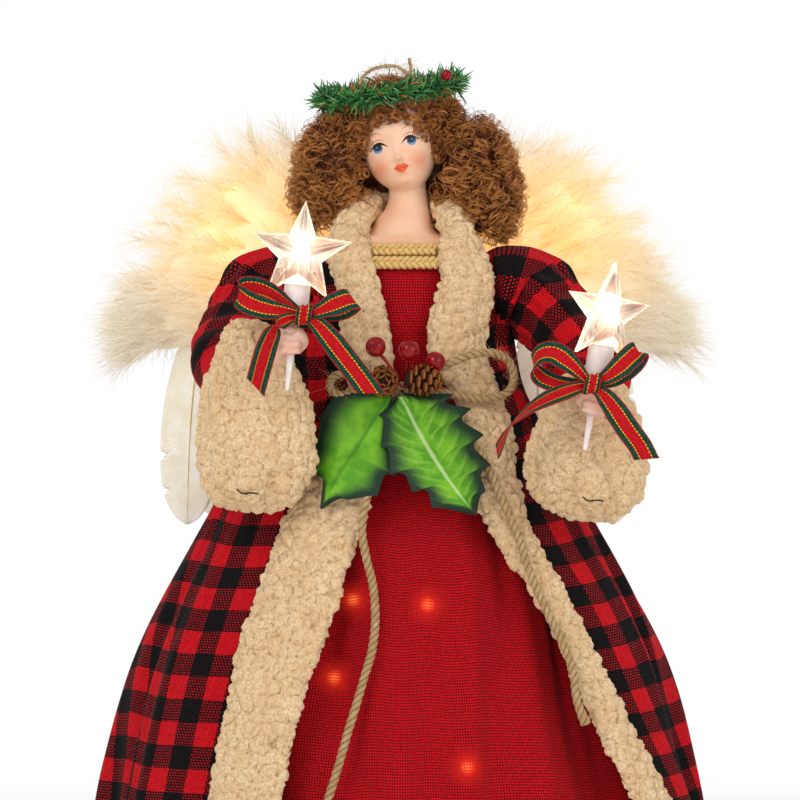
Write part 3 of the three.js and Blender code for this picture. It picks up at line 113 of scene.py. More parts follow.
# %% Wires and finishes
class Wire:
    """A number flowing between nodes. Arithmetic on wires adds Math nodes and returns their output."""

    def __init__(self, finish, socket):
        self.finish, self.socket = finish, socket

    def math(self, operation, *others, clamp=False):
        return self.finish.math(operation, self, *others, clamp=clamp)

    def __add__(self, other): return self.math("ADD", other)
    def __sub__(self, other): return self.math("SUBTRACT", other)
    def __rsub__(self, other): return self.finish.math("SUBTRACT", other, self)
    def __mul__(self, other): return self.math("MULTIPLY", other)
    def __truediv__(self, other): return self.math("DIVIDE", other)
    def sin(self): return self.math("SINE")
    def abs(self): return self.math("ABSOLUTE")
    def fract(self): return self.math("FRACT")
    def above(self, level): return self.math("GREATER_THAN", level)
    def power(self, exponent): return self.math("POWER", exponent)
    def most(self, other): return self.math("MAXIMUM", other)
    def held(self): return self.math("ADD", 0.0, clamp=True)

    def ramp(self, low, high):
        """0 below low, 1 above high, and a smooth climb between them."""
        place = self.finish.node("ShaderNodeMapRange", {"Value": self, "From Min": low, "From Max": high},
                                 interpolation_type="SMOOTHSTEP")
        return Wire(self.finish, place["Result"])


class Finish:
    """One material: a Principled shader and the wires that lead to it."""

    def __init__(self, name, color=(0.8, 0.8, 0.8), rough=0.5, **sockets):
        self.material = bpy.data.materials.new(name)
        self.material.use_nodes = True
        self.tree = self.material.node_tree
        self.shader = self.tree.nodes["Principled BSDF"]
        self.set("Base Color", (*color, 1.0))
        self.set("Roughness", rough)
        for socket, value in sockets.items():
            self.set(socket.replace("_", " "), value)

    def join(self, value, socket):
        """Leads a wire into a socket, or writes a plain value on it."""
        if isinstance(value, Wire):
            self.tree.links.new(value.socket, socket)
        elif hasattr(socket.default_value, "__len__") and np.isscalar(value):
            socket.default_value = [value] * len(socket.default_value)
        else:
            socket.default_value = value

    def set(self, socket, value):
        self.join(value, self.shader.inputs[socket])
        return self

    def node(self, kind, inputs, **settings):
        made = self.tree.nodes.new(kind)
        for key, value in settings.items():
            setattr(made, key, value)
        for key, value in inputs.items():
            self.join(value, made.inputs[key])
        return made.outputs

    def math(self, operation, *values, clamp=False):
        outputs = self.node("ShaderNodeMath", dict(enumerate(values)), operation=operation, use_clamp=clamp)
        return Wire(self, outputs[0])

    def place(self, source="Object"):
        """The place on the piece in metres: Object coordinates, or its own UV map."""
        return Wire(self, self.node("ShaderNodeTexCoord", {})[source])

    def axes(self, vector):
        outputs = self.node("ShaderNodeSeparateXYZ", {"Vector": vector})
        return [Wire(self, outputs[k]) for k in range(3)]

    def attribute(self, name, output="Fac"):
        return Wire(self, self.node("ShaderNodeAttribute", {}, attribute_name=name)[output])

    def noise(self, size, detail=3.0, source="Object", rough=0.55):
        """Soft noise whose blobs are about size millimetres wide."""
        outputs = self.node("ShaderNodeTexNoise", {
            "Vector": self.place(source), "Scale": 1 / (size * MM), "Detail": detail, "Roughness": rough})
        return Wire(self, outputs["Fac"])

    def mix(self, share, first, second):
        """The first colour where share is 0 and the second where it is 1."""
        made = self.tree.nodes.new("ShaderNodeMix")
        made.data_type = "RGBA"
        for key, value in ((0, share), (6, first), (7, second)):
            if isinstance(value, tuple) and len(value) == 3:
                value = (*value, 1.0)
            self.join(value, made.inputs[key])
        return Wire(self, made.outputs[2])

    def two_tones(self, share, first, second):
        """Paints the piece with a mix of two colours."""
        return self.set("Base Color", self.mix(share, tint(first), tint(second)))

    def bump(self, height, depth, strength=1.0):
        """Tilts the shading by a height wire from 0 to 1 that stands for depth millimetres."""
        outputs = self.node("ShaderNodeBump", {
            "Height": height, "Distance": depth * MM, "Strength": strength})
        return self.set("Normal", Wire(self, outputs["Normal"]))


# %% Ground, world and lamps
WORLD_LIGHT = 0.62
LAMPS = {  # name: place, size and strength
    "key_light": ((-900, -1500, 1300), 900, 13.0),
    "fill_light": ((1200, -1200, 700), 1100, 6.5),
    "rim_light": ((300, 1500, 1400), 900, 7.0),
}
GROUND_SIZE = 9000
GROUND_FADE = (400, 760)


def light_world():
    """White to the camera and through glass, and a plain soft light on everything else."""
    world = bpy.data.worlds.new("studio")
    world.use_nodes = True
    bpy.context.scene.world = world
    nodes, links = world.node_tree.nodes, world.node_tree.links
    rays = nodes.new("ShaderNodeLightPath")
    seen = nodes.new("ShaderNodeMath")
    seen.operation = "MAXIMUM"
    links.new(rays.outputs["Is Camera Ray"], seen.inputs[0])
    links.new(rays.outputs["Is Transmission Ray"], seen.inputs[1])
    level = nodes.new("ShaderNodeMapRange")
    level.inputs["To Min"].default_value = WORLD_LIGHT
    links.new(seen.outputs[0], level.inputs["Value"])
    links.new(level.outputs["Result"], nodes["Background"].inputs["Strength"])
    nodes["Background"].inputs["Color"].default_value = (1, 1, 1, 1)


def add_lamp(name, place, size, strength):
    """A square soft lamp that looks at the middle of the doll."""
    data = bpy.data.lights.new(name, "AREA")
    data.size, data.energy = size * MM, strength
    lamp = bpy.data.objects.new(name, data)
    bpy.context.scene.collection.objects.link(lamp)
    start = np.array(place) * MM
    lamp.location = start
    back = start - np.array([0, 0, 0.22])
    lamp.rotation_euler = (math.atan2(math.hypot(back[0], back[1]), back[2]), 0,
                           math.atan2(back[1], back[0]) + math.pi / 2)


def add_ground():
    """A white floor that keeps the shadow near the doll and fades to pure white further out."""
    half = GROUND_SIZE * MM / 2
    mesh = bpy.data.meshes.new("ground")
    corners = [(-half, -half, 0), (half, -half, 0), (half, half, 0), (-half, half, 0)]
    mesh.from_pydata(corners, [], [(0, 1, 2, 3)])
    ground = bpy.data.objects.new("ground", mesh)
    bpy.context.scene.collection.objects.link(ground)
    finish = Finish("ground_paper", (0.9, 0.9, 0.9), 0.9, Emission_Color=(1, 1, 1, 1), Emission_Strength=0.1)
    x, y, _ = finish.axes(finish.place())
    reach = (x * x + y * y).power(0.5).ramp(GROUND_FADE[0] * MM, GROUND_FADE[1] * MM)
    white = finish.node("ShaderNodeEmission", {"Color": (1, 1, 1, 1), "Strength": 1.0})
    camera = Wire(finish, finish.node("ShaderNodeLightPath", {})["Is Camera Ray"])
    blend = finish.node("ShaderNodeMixShader", {0: reach * camera})
    mixer = blend[0].node
    finish.tree.links.new(finish.shader.outputs[0], mixer.inputs[1])
    finish.tree.links.new(white[0], mixer.inputs[2])
    output = finish.tree.nodes["Material Output"]
    finish.tree.links.new(mixer.outputs[0], output.inputs["Surface"])
    mesh.materials.append(finish.material)
    ground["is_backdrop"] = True


light_world()
for lamp_name, (lamp_place, lamp_size, lamp_strength) in LAMPS.items():
    add_lamp(lamp_name, lamp_place, lamp_size, lamp_strength)
add_ground()

# %% [markdown]
# ## Grids, strands and noise
# Nearly every piece here is one of two things: a skin over a grid of two parameters, such as a
# folded coat, or many thin strands, such as curls and down. Both are worked out as whole arrays.
# Strands get three sides instead of one flat face, so that they are closed solids and light well.

# %% Arrays into meshes
def mesh_from(name, points, faces):
    """A mesh and its list of corners from points and one array of faces, or several of 3 or 4 corners."""
    groups = [np.asarray(group, np.int64) for group in (faces if isinstance(faces, list) else [faces])]
    corners = np.concatenate([group.ravel() for group in groups])
    sizes = np.concatenate([np.full(len(group), group.shape[1]) for group in groups])
    mesh = bpy.data.meshes.new(name)
    mesh.vertices.add(len(points))
    mesh.vertices.foreach_set("co", (np.asarray(points, float) * MM).ravel())
    mesh.loops.add(len(corners))
    mesh.loops.foreach_set("vertex_index", corners)
    mesh.polygons.add(len(sizes))
    mesh.polygons.foreach_set("loop_start", np.r_[0, np.cumsum(sizes)[:-1]])
    mesh.update(calc_edges=True)
    return mesh, corners


def add_piece(name, points, faces, finish, body, replaces=(), uv=None, tone=None, colors=None,
              smooth=True, slot=None):
    """A mesh object from points in millimetres and an array of faces, riding on a body.

    uv gives one pair per point in metres, tone one number per point and colors one colour per point.
    """
    points = np.asarray(points, float).reshape(-1, 3)
    mesh, corners = mesh_from(name, points, faces)
    mesh.polygons.foreach_set("use_smooth", np.full(len(mesh.polygons), smooth))
    if uv is not None:
        layer = mesh.uv_layers.new(name="cloth")
        layer.uv.foreach_set("vector", np.asarray(uv, float).reshape(-1, 2)[corners].ravel())
    if tone is not None:
        mesh.attributes.new("tone", "FLOAT", "POINT").data.foreach_set("value", np.ravel(tone))
    if colors is not None:
        paint = np.column_stack([np.reshape(colors, (-1, 3)), np.ones(len(points))])
        mesh.attributes.new("paint", "FLOAT_COLOR", "POINT").data.foreach_set("color", paint.ravel())
    piece = bpy.data.objects.new(name, mesh)
    bpy.context.scene.collection.objects.link(piece)
    return settle(piece, finish, body, replaces, slot)


def settle(piece, finish, body, replaces=(), slot=None):
    """Gives a finished piece its material, its body and the nodes that it stands for."""
    piece.data.materials.clear()
    piece.data.materials.append(finish.material)
    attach(piece, body)
    if replaces:
        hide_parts(*([replaces] if isinstance(replaces, str) else replaces))
    return piece


def grid_faces(rows, columns, wrap=False, start=0):
    """Four-sided faces of a grid whose points run row by row. wrap joins the last column to the first."""
    across = columns if wrap else columns - 1
    row, column = np.meshgrid(np.arange(rows - 1), np.arange(across), indexing="ij")
    here = row * columns + column
    beside = row * columns + (column + 1) % columns
    return start + np.stack([here, beside, beside + columns, here + columns], -1).reshape(-1, 4)


def unit(vectors):
    return vectors / np.maximum(np.linalg.norm(vectors, axis=-1, keepdims=True), 1e-9)


def smooth_path(points, count):
    """A smooth curve through given points, sampled at even steps: a Catmull-Rom curve by arc length."""
    points = np.asarray(points, float)
    padded = np.vstack([2 * points[0] - points[1], points, 2 * points[-1] - points[-2]])
    place = np.linspace(0, len(points) - 1, 24 * len(points))
    low = np.minimum(place.astype(int), len(points) - 2)
    t = (place - low)[:, None]
    a, b, c, d = (padded[low + k] for k in range(4))
    fine = 0.5 * (2 * b + (c - a) * t + (2 * a - 5 * b + 4 * c - d) * t ** 2
                  + (3 * b - a - 3 * c + d) * t ** 3)
    length = np.r_[0, np.cumsum(np.linalg.norm(np.diff(fine, axis=0), axis=1))]
    even = np.linspace(0, length[-1], count)
    return np.stack([np.interp(even, length, fine[:, k]) for k in range(3)], -1)


OFF_AXIS = (0.31, 0.17, 0.93)  # a direction that no path here keeps to for long
STRAND_SIDES = 3


def path_frames(paths, reference=OFF_AXIS):
    """Two directions square to each path: the tangent crossed with a reference, and crossed again."""
    tangent = unit(np.gradient(paths, axis=-2))
    first = unit(np.cross(tangent, reference))
    return tangent, first, np.cross(tangent, first)


def rings_along(line, radius, turn, reference=OFF_AXIS):
    """Rings round a path: middle + radius * (first * cos(turn) + second * sin(turn))."""
    _, first, second = path_frames(line[None], reference)
    return line[:, None] + radius[..., None] * (first[0][:, None] * np.cos(turn)[..., None]
                                                + second[0][:, None] * np.sin(turn)[..., None])


def about_y(angle):
    """The matrix of a turn about Y."""
    c, s = math.cos(angle), math.sin(angle)
    return np.array([[c, 0, s], [0, 1, 0], [-s, 0, c]])


def strands(paths, radii):
    """Closed tubes along many paths at once: a ring of three points at each step, and one point at each end.

    paths is an array of strand, step and place; radii broadcasts to strand and step.
    """
    count, steps, _ = paths.shape
    sides = STRAND_SIDES
    _, first, second = path_frames(paths)
    turn = 2 * np.pi * np.arange(sides) / sides
    radii = np.broadcast_to(radii, (count, steps))[..., None, None]
    rings = paths[:, :, None] + radii * (first[:, :, None] * np.cos(turn)[:, None]
                                         + second[:, :, None] * np.sin(turn)[:, None])
    points = np.concatenate([rings.reshape(count, -1, 3), paths[:, :1], paths[:, -1:]], 1)
    one = grid_faces(steps, sides, wrap=True)
    side = np.arange(sides)
    foot, tip, top = steps * sides, steps * sides + 1, (steps - 1) * sides
    caps = np.concatenate([
        np.stack([np.full(sides, foot), (side + 1) % sides, side, side], -1),
        np.stack([np.full(sides, tip), top + side, top + (side + 1) % sides, top + (side + 1) % sides], -1)])
    quads = np.concatenate([one[:, ::-1], caps[:, ::-1]])
    per = steps * sides + 2
    return points.reshape(-1, 3), (quads[None] + per * np.arange(count)[:, None, None]).reshape(-1, 4)


def as_triangles(faces):
    """Splits four-sided faces into triangles and drops the flat halves that caps leave."""
    halves = np.concatenate([faces[:, [0, 1, 2]], faces[:, [0, 2, 3]]])
    whole = (halves[:, 0] != halves[:, 1]) & (halves[:, 1] != halves[:, 2]) & (halves[:, 2] != halves[:, 0])
    return halves[whole]


def hashed(cells, seed):
    """A repeatable number from 0 to 1 for each whole-numbered place."""
    mixed = (cells * np.array([127.1, 311.7, 74.7])).sum(-1) + seed * 19.19
    return np.modf(np.abs(np.sin(mixed) * 43758.5453))[0]


def soft_noise(points, size, seed=0):
    """Noise from -1 to 1: random values on a lattice size millimetres apart, blended smoothly."""
    place = np.asarray(points, float) / size
    low = np.floor(place)
    share = place - low
    share = share * share * (3 - 2 * share)
    total = np.zeros(place.shape[:-1])
    for corner in np.ndindex(2, 2, 2):
        weight = np.prod(np.where(np.array(corner) == 1, share, 1 - share), -1)
        total += weight * hashed(low + corner, seed)
    return 2 * total - 1


def nubs(points, size, seed=0):
    """Rounded nubs: high on the middle of each scattered cell and 0 where two cells are equally near."""
    place = np.asarray(points, float) / size
    low = np.floor(place)
    near, next_near = np.full((2, *place.shape[:-1]), 9.0)
    for step in np.ndindex(3, 3, 3):
        cell = low + np.array(step) - 1
        spot = cell + 0.15 + 0.7 * np.stack([hashed(cell, seed + k) for k in range(3)], -1)
        reach = np.linalg.norm(place - spot, axis=-1)
        next_near = np.minimum(next_near, np.maximum(near, reach))
        near = np.minimum(near, reach)
    return np.clip((next_near - near) / 0.65, 0, 1) ** 0.6


def share_table(rows):
    """A smooth curve through rows of (position, values): each stretch is a cubic that keeps the slopes."""
    table = np.array(rows, float)
    at, values = table[:, 0], table[:, 1:]
    before, after = np.r_[0, np.arange(len(at) - 1)], np.r_[np.arange(1, len(at)), len(at) - 1]
    slopes = (values[after] - values[before]) / (at[after] - at[before])[:, None]

    def read(position):
        position = np.asarray(position, float)
        low = np.clip(np.searchsorted(at, position, side="left") - 1, 0, len(at) - 2)
        span = (at[low + 1] - at[low])[..., None]
        t = np.clip((position[..., None] - at[low][..., None]) / span, 0, 1)
        rise = values[low + 1] - values[low]
        into, out = slopes[low] * span, slopes[low + 1] * span
        return values[low] + t * (into + t * (3 * rise - 2 * into - out + t * (into + out - 2 * rise)))
    return read


def ease(share):
    held = np.clip(share, 0, 1)
    return held * held * (3 - 2 * held)


def lerp(start, end, share):
    return start + (end - start) * share

# %% [markdown]
# ## The twine tails
# Two jute cords hang from the bow at the waist. Jute cord is three strands laid round each other.
# It could be three tubes, but a cord is one thing of one length, so one tube carries three
# lobes that turn as they run: its radius rises and falls round the section, and the section twists.

# %% Colours and the twine finish
def tint(code):
    """The linear colour of a screen colour written as six hexadecimal digits."""
    screen = [int(code[k:k + 2], 16) / 255 for k in (0, 2, 4)]
    return tuple(c / 12.92 if c <= 0.04045 else ((c + 0.055) / 1.055) ** 2.4 for c in screen)


def make_twine_finish():
    finish = Finish("jute", rough=0.9, Specular_IOR_Level=0.15, Sheen_Weight=0.05)
    shade = finish.noise(3.5).ramp(0.3, 0.75)
    fibre = finish.noise(0.45, detail=5).ramp(0.25, 0.8)
    groove_shade = finish.attribute("tone")
    body = finish.mix(shade, tint("c2a070"), tint("ead2a6"))
    body = finish.mix(fibre, tint("b28c5a"), body)
    # Painted shade: the grooves between the laid strands are darkened towards dark brown.
    finish.set("Base Color", finish.mix(groove_shade.ramp(0.05, 0.6), tint("80603a"), body))
    return finish.bump(fibre, 0.35, 0.9)


twine_finish = make_twine_finish()

# %% Rope along a path
TWINE_DIAMETER = 4.3
ROPE_SIDES = 18
ROPE_STEP = 0.55
LAY_LENGTH = 11
LAY_DEPTH = 0.2


def path_length(path):
    return float(np.linalg.norm(np.diff(path, axis=0), axis=1).sum())


def rope(path, diameter=TWINE_DIAMETER, lay=LAY_LENGTH, fray=0.0):
    """A tube whose radius is R * (1 - depth * (1 - |cos(1.5 * (angle - turn))|)).

    It turns once per lay length.
    """
    steps = max(8, int(path_length(path) / ROPE_STEP))
    line = smooth_path(path, steps)
    along = np.linspace(0, path_length(line), steps)[:, None]
    angle = (2 * np.pi * np.arange(ROPE_SIDES) / ROPE_SIDES)[None]
    lobe = np.abs(np.cos(1.5 * (angle - 2 * np.pi * along / lay)))
    swell = 1 + 0.04 * soft_noise(line, 9.0)[:, None] + fray * ease((along / along[-1] - 0.93) / 0.07)
    radius = diameter / 2 * (1 - LAY_DEPTH * (1 - lobe)) * swell
    radius[[0, -1]] *= 0.55
    rings = rings_along(line, radius, angle)
    points = np.vstack([rings.reshape(-1, 3), line[:1], line[-1:]])
    # tone is 1 on each strand's crest and 0 in the grooves; the finishes paint shade into the grooves from
    # it.
    tone = np.r_[lobe.ravel(), 0.3, 0.3]
    side, top = np.arange(ROPE_SIDES), (steps - 1) * ROPE_SIDES
    beside = (side + 1) % ROPE_SIDES
    caps = [np.stack([np.full(ROPE_SIDES, len(points) - 2), side, beside], -1),
            np.stack([np.full(ROPE_SIDES, len(points) - 1), top + beside, top + side], -1)]
    return line, points, [grid_faces(steps, ROPE_SIDES, wrap=True), *caps], tone


# %% The two tails
TWINE_ROUTES = {
    "left": [
        (-4, -45, 238), (-7, -51, 228), (-11, -57, 214), (-15.5, -63.6, 198), (-18.5, -68.6, 180),
        (-16.5, -67.5, 166), (-13.2, -64.5, 152), (-12, -66.5, 136), (-13.5, -69.5, 121),
        (-17.2, -72, 108), (-21, -74.5, 95), (-25, -76.6, 82), (-30.4, -78.6, 63), (-35.5, -80, 47),
        (-40, -80.5, 34)],
    "right": [
        (11, -47.8, 237.4), (17, -48.6, 234.6), (27, -49.5, 228), (38, -51, 217), (45, -54, 204.5),
        (50.5, -57.5, 192), (57.8, -62, 175), (61.5, -65.5, 163), (66, -68, 151), (71, -70.5, 140),
        (76.8, -72.5, 128.5), (81, -74.5, 119), (84, -76.5, 109), (85.5, -78.5, 97), (90, -79.5, 85)],
}


def add_twine_tail(side, route):
    line, points, faces, tone = rope(route, fray=0.25)
    tail = add_piece(f"{side}_twine_cord", points, faces, twine_finish, "doll", f"{side}_twine_tail",
                     tone=tone, slot="twine")
    line[0] * MM
    path_length(line) * MM
    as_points(line * MM)
    print(tail.name, round(path_length(line)), "mm")


for side_name, tail_route in TWINE_ROUTES.items():
    add_twine_tail(side_name, tail_route)

# %% [markdown]
# ## The outlines that the clothes share
# Coat, skirt and bodice are all rings round the doll: an ellipse whose half width and two half
# depths change with height. Three tables hold those sizes as shares, the same that the solids use,
# so the cloth lies where the solids are. Pleats draw the ring in, and noise makes no two pleats alike.

# %% Rings round the doll
SHOULDER = 300
FULL_TURN = 2 * math.pi
COAT_HALF_WIDTH, COAT_HALF_DEPTH = 158, 101
SKIRT_HALF_WIDTH, SKIRT_HALF_DEPTH = 138, 86
TORSO_HALF_WIDTH, TORSO_HALF_DEPTH = 42, 22
HEM_LIFT = {"coat": 6, "skirt": 4}
WAIST = 0.83 * SHOULDER
COAT_TOP = 1.06 * SHOULDER
FLEECE = 7
CLOTH_GAP = 0.9
ARMHOLE = 21.6

coat_outline = share_table([
    [0.02, 1, 1, 1], [0.2, 0.935, 0.9, 0.9], [0.4, 0.82, 0.76, 0.78], [0.633, 0.585, 0.54, 0.56],
    [0.817, 0.395, 0.345, 0.4], [0.9, 0.36, 0.315, 0.38], [1, 0.335, 0.285, 0.34],
    [1.04, 0.285, 0.265, 0.285], [1.06, 0.245, 0.25, 0.255]])
torso_outline = share_table([
    [0.793, 0.7, 0.9, 0.9], [0.823, 0.76, 0.93, 0.93], [0.883, 0.86, 1.05, 0.95],
    [0.933, 0.95, 1.12, 0.95], [1, 1, 1, 1], [1.033, 0.93, 0.95, 0.95], [1.057, 0.8, 0.84, 0.84],
    [1.077, 0.58, 0.66, 0.66], [1.087, 0.3, 0.4, 0.4]])
fleece_edges = share_table([
    [0.02, -0.43, -0.65, 0.835, 0.965], [0.153, -0.375, -0.62, 0.737, 0.87],
    [0.317, -0.33, -0.6, 0.626, 0.76], [0.48, -0.246, -0.6, 0.55, 0.69],
    [0.643, -0.152, -0.565, 0.39, 0.65], [0.807, -0.02, -0.42, 0.4, 0.78],
    [0.89, -0.06, -0.47, 0.21, 0.73], [1, -0.166, -0.594, 0.34, 0.86], [1.06, -0.31, -0.84, 0.46, 0.95]])


def coat_size(height):
    return coat_outline(height / SHOULDER) * (COAT_HALF_WIDTH, COAT_HALF_DEPTH, COAT_HALF_DEPTH)


def torso_size(height):
    return torso_outline(height / SHOULDER) * (TORSO_HALF_WIDTH, TORSO_HALF_DEPTH, TORSO_HALF_DEPTH)


def ring_point(turn, height, size, offset=0.0, swell=1.0):
    """The point at an angle from the front: x = a sin(turn), y = -b cos(turn), pushed out by offset."""
    turn, height = np.broadcast_arrays(turn, height)
    depth = np.where(np.cos(turn) > 0, size[..., 1], size[..., 2])
    return np.stack([(size[..., 0] * swell + offset) * np.sin(turn),
                     -(depth * swell + offset) * np.cos(turn), height], -1)


def coat_edges(height):
    """The turns of the coat's two front edges: the middle of each fleece band."""
    edge = fleece_edges(height / SHOULDER)
    right = np.arcsin((edge[..., 2] + edge[..., 3]) / 2)
    return right, FULL_TURN + np.arcsin((edge[..., 0] + edge[..., 1]) / 2)


def coat_point(turn, height, offset=0.0, detail=1.0):
    """The coat's skin: the ring, drawn in by twelve pleats that die out at the waist and the front edges."""
    right, left = coat_edges(height)
    around = np.where(turn < 0, turn + FULL_TURN, turn)
    from_edge = np.minimum(around - right, left - around)
    free = ease((from_edge - 0.28) / 0.3)
    fall = ease(1.15 - 1.3 * height / SHOULDER)
    wander = detail * (0.09 * np.sin(3 * around + height / 95) + 0.05 * np.sin(7 * around - height / 60))
    pleat = 0.085 * fall * free * ((1 - np.cos(12 * (around + wander))) / 2) ** (1 + 0.35 * detail)
    creases = 0.011 * fall * free * detail * np.sin(31 * around + 2.4 * np.sin(height / 50))
    gathers = 0.012 * detail * free * ease((height - 150) / 60) * np.sin(54 * around + height / 40)
    return ring_point(turn, height, coat_size(height), offset, 1 - pleat + creases + gathers)


def cloth_lengths(points):
    """How far each point of a grid lies along the cloth in metres: across its row, and up its column."""
    across = np.linalg.norm(np.diff(points, axis=1), axis=-1)
    up = np.linalg.norm(np.diff(points, axis=0), axis=-1)
    u = np.pad(np.cumsum(across, 1), ((0, 0), (1, 0)))
    v = np.pad(np.cumsum(up, 0), ((1, 0), (0, 0)))
    return np.stack([u, v], -1) * MM


def faces_outside(points, faces, centres, radius):
    """Keeps the faces whose middle lies outside every ball of that radius."""
    middle = points[faces].mean(1)
    keep = np.ones(len(faces), bool)
    for centre in centres:
        keep &= np.linalg.norm(middle - np.array(centre), axis=-1) > radius
    return faces[keep]


def cloth_area(points, faces):
    """The area of four-sided faces in square metres: half the cross product of their two diagonals."""
    a, b, c, d = (points[faces[:, k]] for k in range(4))
    return float(np.linalg.norm(np.cross(c - a, d - b), axis=-1).sum() / 2) * MM ** 2


def drop_loose(points, faces, *values):
    """Removes points that no face uses, from the points and from the values that go with them."""
    used, again = np.unique(faces, return_inverse=True)
    return points[used], again.reshape(faces.shape), *(value[used] for value in values)


def add_wall(piece, thickness, outward=1.0):
    """Gives a sheet its thickness, inwards from its outer face."""
    wall = piece.modifiers.new("cloth_thickness", "SOLIDIFY")
    wall.thickness = thickness * MM
    wall.offset = -outward
    wall.use_rim = True


# %% [markdown]
# ## The plaid coat
# Buffalo check is two colours of yarn in wide stripes both ways: red over red stays red, black over
# black stays black, and where they cross, the twill shows both as fine slanting lines.

# %% Plaid
PLAID_CELL = 11.6
DOT_PITCH, DOT_ROW = 1.75, 1.35
YARN_PITCH = 0.75


def make_plaid_finish():
    """Dark where both stripes are dark, and rows of red dots like laid bricks where only one is."""
    finish = Finish("buffalo_plaid", rough=0.9, Specular_IOR_Level=0.1, Sheen_Weight=0.03,
        Sheen_Roughness=0.5)
    u, v, _ = finish.axes(finish.place("UV"))
    wobble = (finish.noise(9, source="UV") - 0.5) * (0.9 * MM)
    across = ((u + wobble) / (2 * PLAID_CELL * MM)).fract().above(0.5)
    along = ((v + wobble) / (2 * PLAID_CELL * MM)).fract().above(0.5)
    row = v / (DOT_ROW * MM)
    level = row.fract() - 0.5
    beside = (u / (DOT_PITCH * MM) + (row - row.fract()) * 0.5).fract() - 0.5
    gaps = (beside * beside + level * level * 0.8).power(0.5).ramp(0.2, 0.32)
    both = across * along
    dark = both + (across + along - both * 2) * gaps
    fuzz = finish.noise(0.9, detail=4)
    red = finish.mix(fuzz.ramp(0.3, 0.75), tint("a30712"), tint("dc1420"))
    black = finish.mix(fuzz.ramp(0.3, 0.8), tint("050405"), tint("1c1416"))
    finish.set("Base Color", finish.mix(dark, red, black))
    yarn = (u * (math.pi / (YARN_PITCH * MM))).sin().abs() * (v * (math.pi / (YARN_PITCH * MM))).sin().abs()
    return finish.bump(yarn * 0.7 + fuzz * 0.5, 0.25, 0.8)


plaid_finish = make_plaid_finish()

# %% The coat
COAT_COLUMNS, COAT_ROWS = 280, 104
ARM_PIVOTS = {side: (sign * (TORSO_HALF_WIDTH + 8), 0.7, SHOULDER) for side, sign in SIDES.items()}


def add_coat():
    height = np.linspace(HEM_LIFT["coat"], COAT_TOP, COAT_ROWS)[:, None]
    right, left = coat_edges(height)
    turn = lerp(right, left, np.linspace(0, 1, COAT_COLUMNS)[None])
    height = np.broadcast_to(height, turn.shape)
    points = coat_point(turn, height)
    uv = cloth_lengths(points)
    uv[..., 0] = np.minimum(uv[..., 0], uv[:, -1:, 0] - uv[..., 0])
    uv = uv.reshape(-1, 2)
    flat = points.reshape(-1, 3)
    faces = faces_outside(flat, grid_faces(COAT_ROWS, COAT_COLUMNS), ARM_PIVOTS.values(), ARMHOLE)
    flat, faces, uv = drop_loose(flat, faces, uv)
    coat = add_piece("plaid_coat", flat, faces, plaid_finish, "doll", "coat", uv=uv, slot="plaid")
    add_wall(coat, 1.2)
    wide, tall = 2 * uv[:, 0].max(), uv[:, 1].max()
    area = cloth_area(flat, faces)
    print("coat", round(wide, 3), "x", round(tall, 3), "m of cloth, area", round(area, 4))


add_coat()

# %% [markdown]
# ## The red dress
# The skirt is an open, burlap-like weave over the cone, and the lamps on the cone show through it as
# warm spots. Holes cut in the mesh would be thousands of faces for threads a millimetre wide, so the
# weave is a pattern of crossing threads on the cloth's own lengths. Gaps and thread sides are painted
# dark as painted shade, and a painted glow, strongest in the gaps and in front of each lamp, stands for
# the lamps' light. The bodice is the same cloth without lamps behind.

# %% Red weave
THREAD_PITCH = 1.4
GLOW_REACH = 15
GLOW_CORE = 2.6
GLOW_TINT = tint("ffb35a")


def node_middle(node):
    """The middle of a solid's box, in millimetres."""
    low, high = (np.array(corner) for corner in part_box(node))
    return (low + high) / 2 / MM


def make_weave_finish(name, lamps=()):
    """Threads where |sin u| and |sin v| are high, gaps painted dark as shade where both are low, and a
    painted glow in front of the lamps.
    """
    finish = Finish(name, rough=0.85, Specular_IOR_Level=0.12, Sheen_Weight=0.03)
    u, v, _ = finish.axes(finish.place("UV"))
    slub = (finish.noise(5, source="UV") - 0.5) * (0.7 * MM)
    warp = ((u + slub) * (math.pi / (THREAD_PITCH * MM))).sin().abs()
    weft = ((v + slub) * (math.pi / (THREAD_PITCH * MM))).sin().abs()
    thread = warp.most(weft * 0.92)
    cover = warp.ramp(0.5, 0.95).most(weft.ramp(0.5, 0.95))
    cross = warp * weft
    shade = finish.noise(1.1, detail=3).ramp(0.25, 0.8)
    body = finish.mix(shade, tint("bd0813"), tint("ea1420"))
    # Painted shade: the gaps are near-black red, and thread sides between crossings darken.
    finish.set("Base Color", finish.mix(cover * (cross * 0.45 + 0.55), tint("340205"), body))
    if lamps:
        x, y, z = finish.axes(finish.place())
        glow, front = None, (y * -1).ramp(0, 0.02)
        for lamp in lamps:
            dx, dz = x - float(lamp[0] * MM), z - float(lamp[2] * MM)
            reach = (dx * dx + dz * dz).power(0.5)
            halo = (1 - reach.ramp(0, GLOW_REACH * MM)).power(2.0) * 0.4
            core = (1 - reach.ramp(0, GLOW_CORE * 2 * MM)) * 0.5
            spot = halo + core
            glow = spot if glow is None else glow + spot
        # Painted light: the lamps' glow through the weave, given as emission on the cloth.
        finish.set("Emission Color", finish.mix(glow.ramp(0.2, 2.0), tint("ff3a1a"), GLOW_TINT))
        finish.set("Emission Strength", glow * front * ((1 - cover) * 1.6 + 0.35))
    return finish.bump(thread * 0.7 + cross * 0.3, 0.3, 0.9)


skirt_lamps = [node_middle(f"skirt_bulb_{k}") for k in range(1, 5)]
skirt_finish = make_weave_finish("red_skirt_weave", skirt_lamps)
bodice_finish = make_weave_finish("red_bodice_weave")

# %% Skirt and bodice
SKIRT_COLUMNS, SKIRT_ROWS = 300, 88
BODICE_COLUMNS, BODICE_ROWS = 160, 46


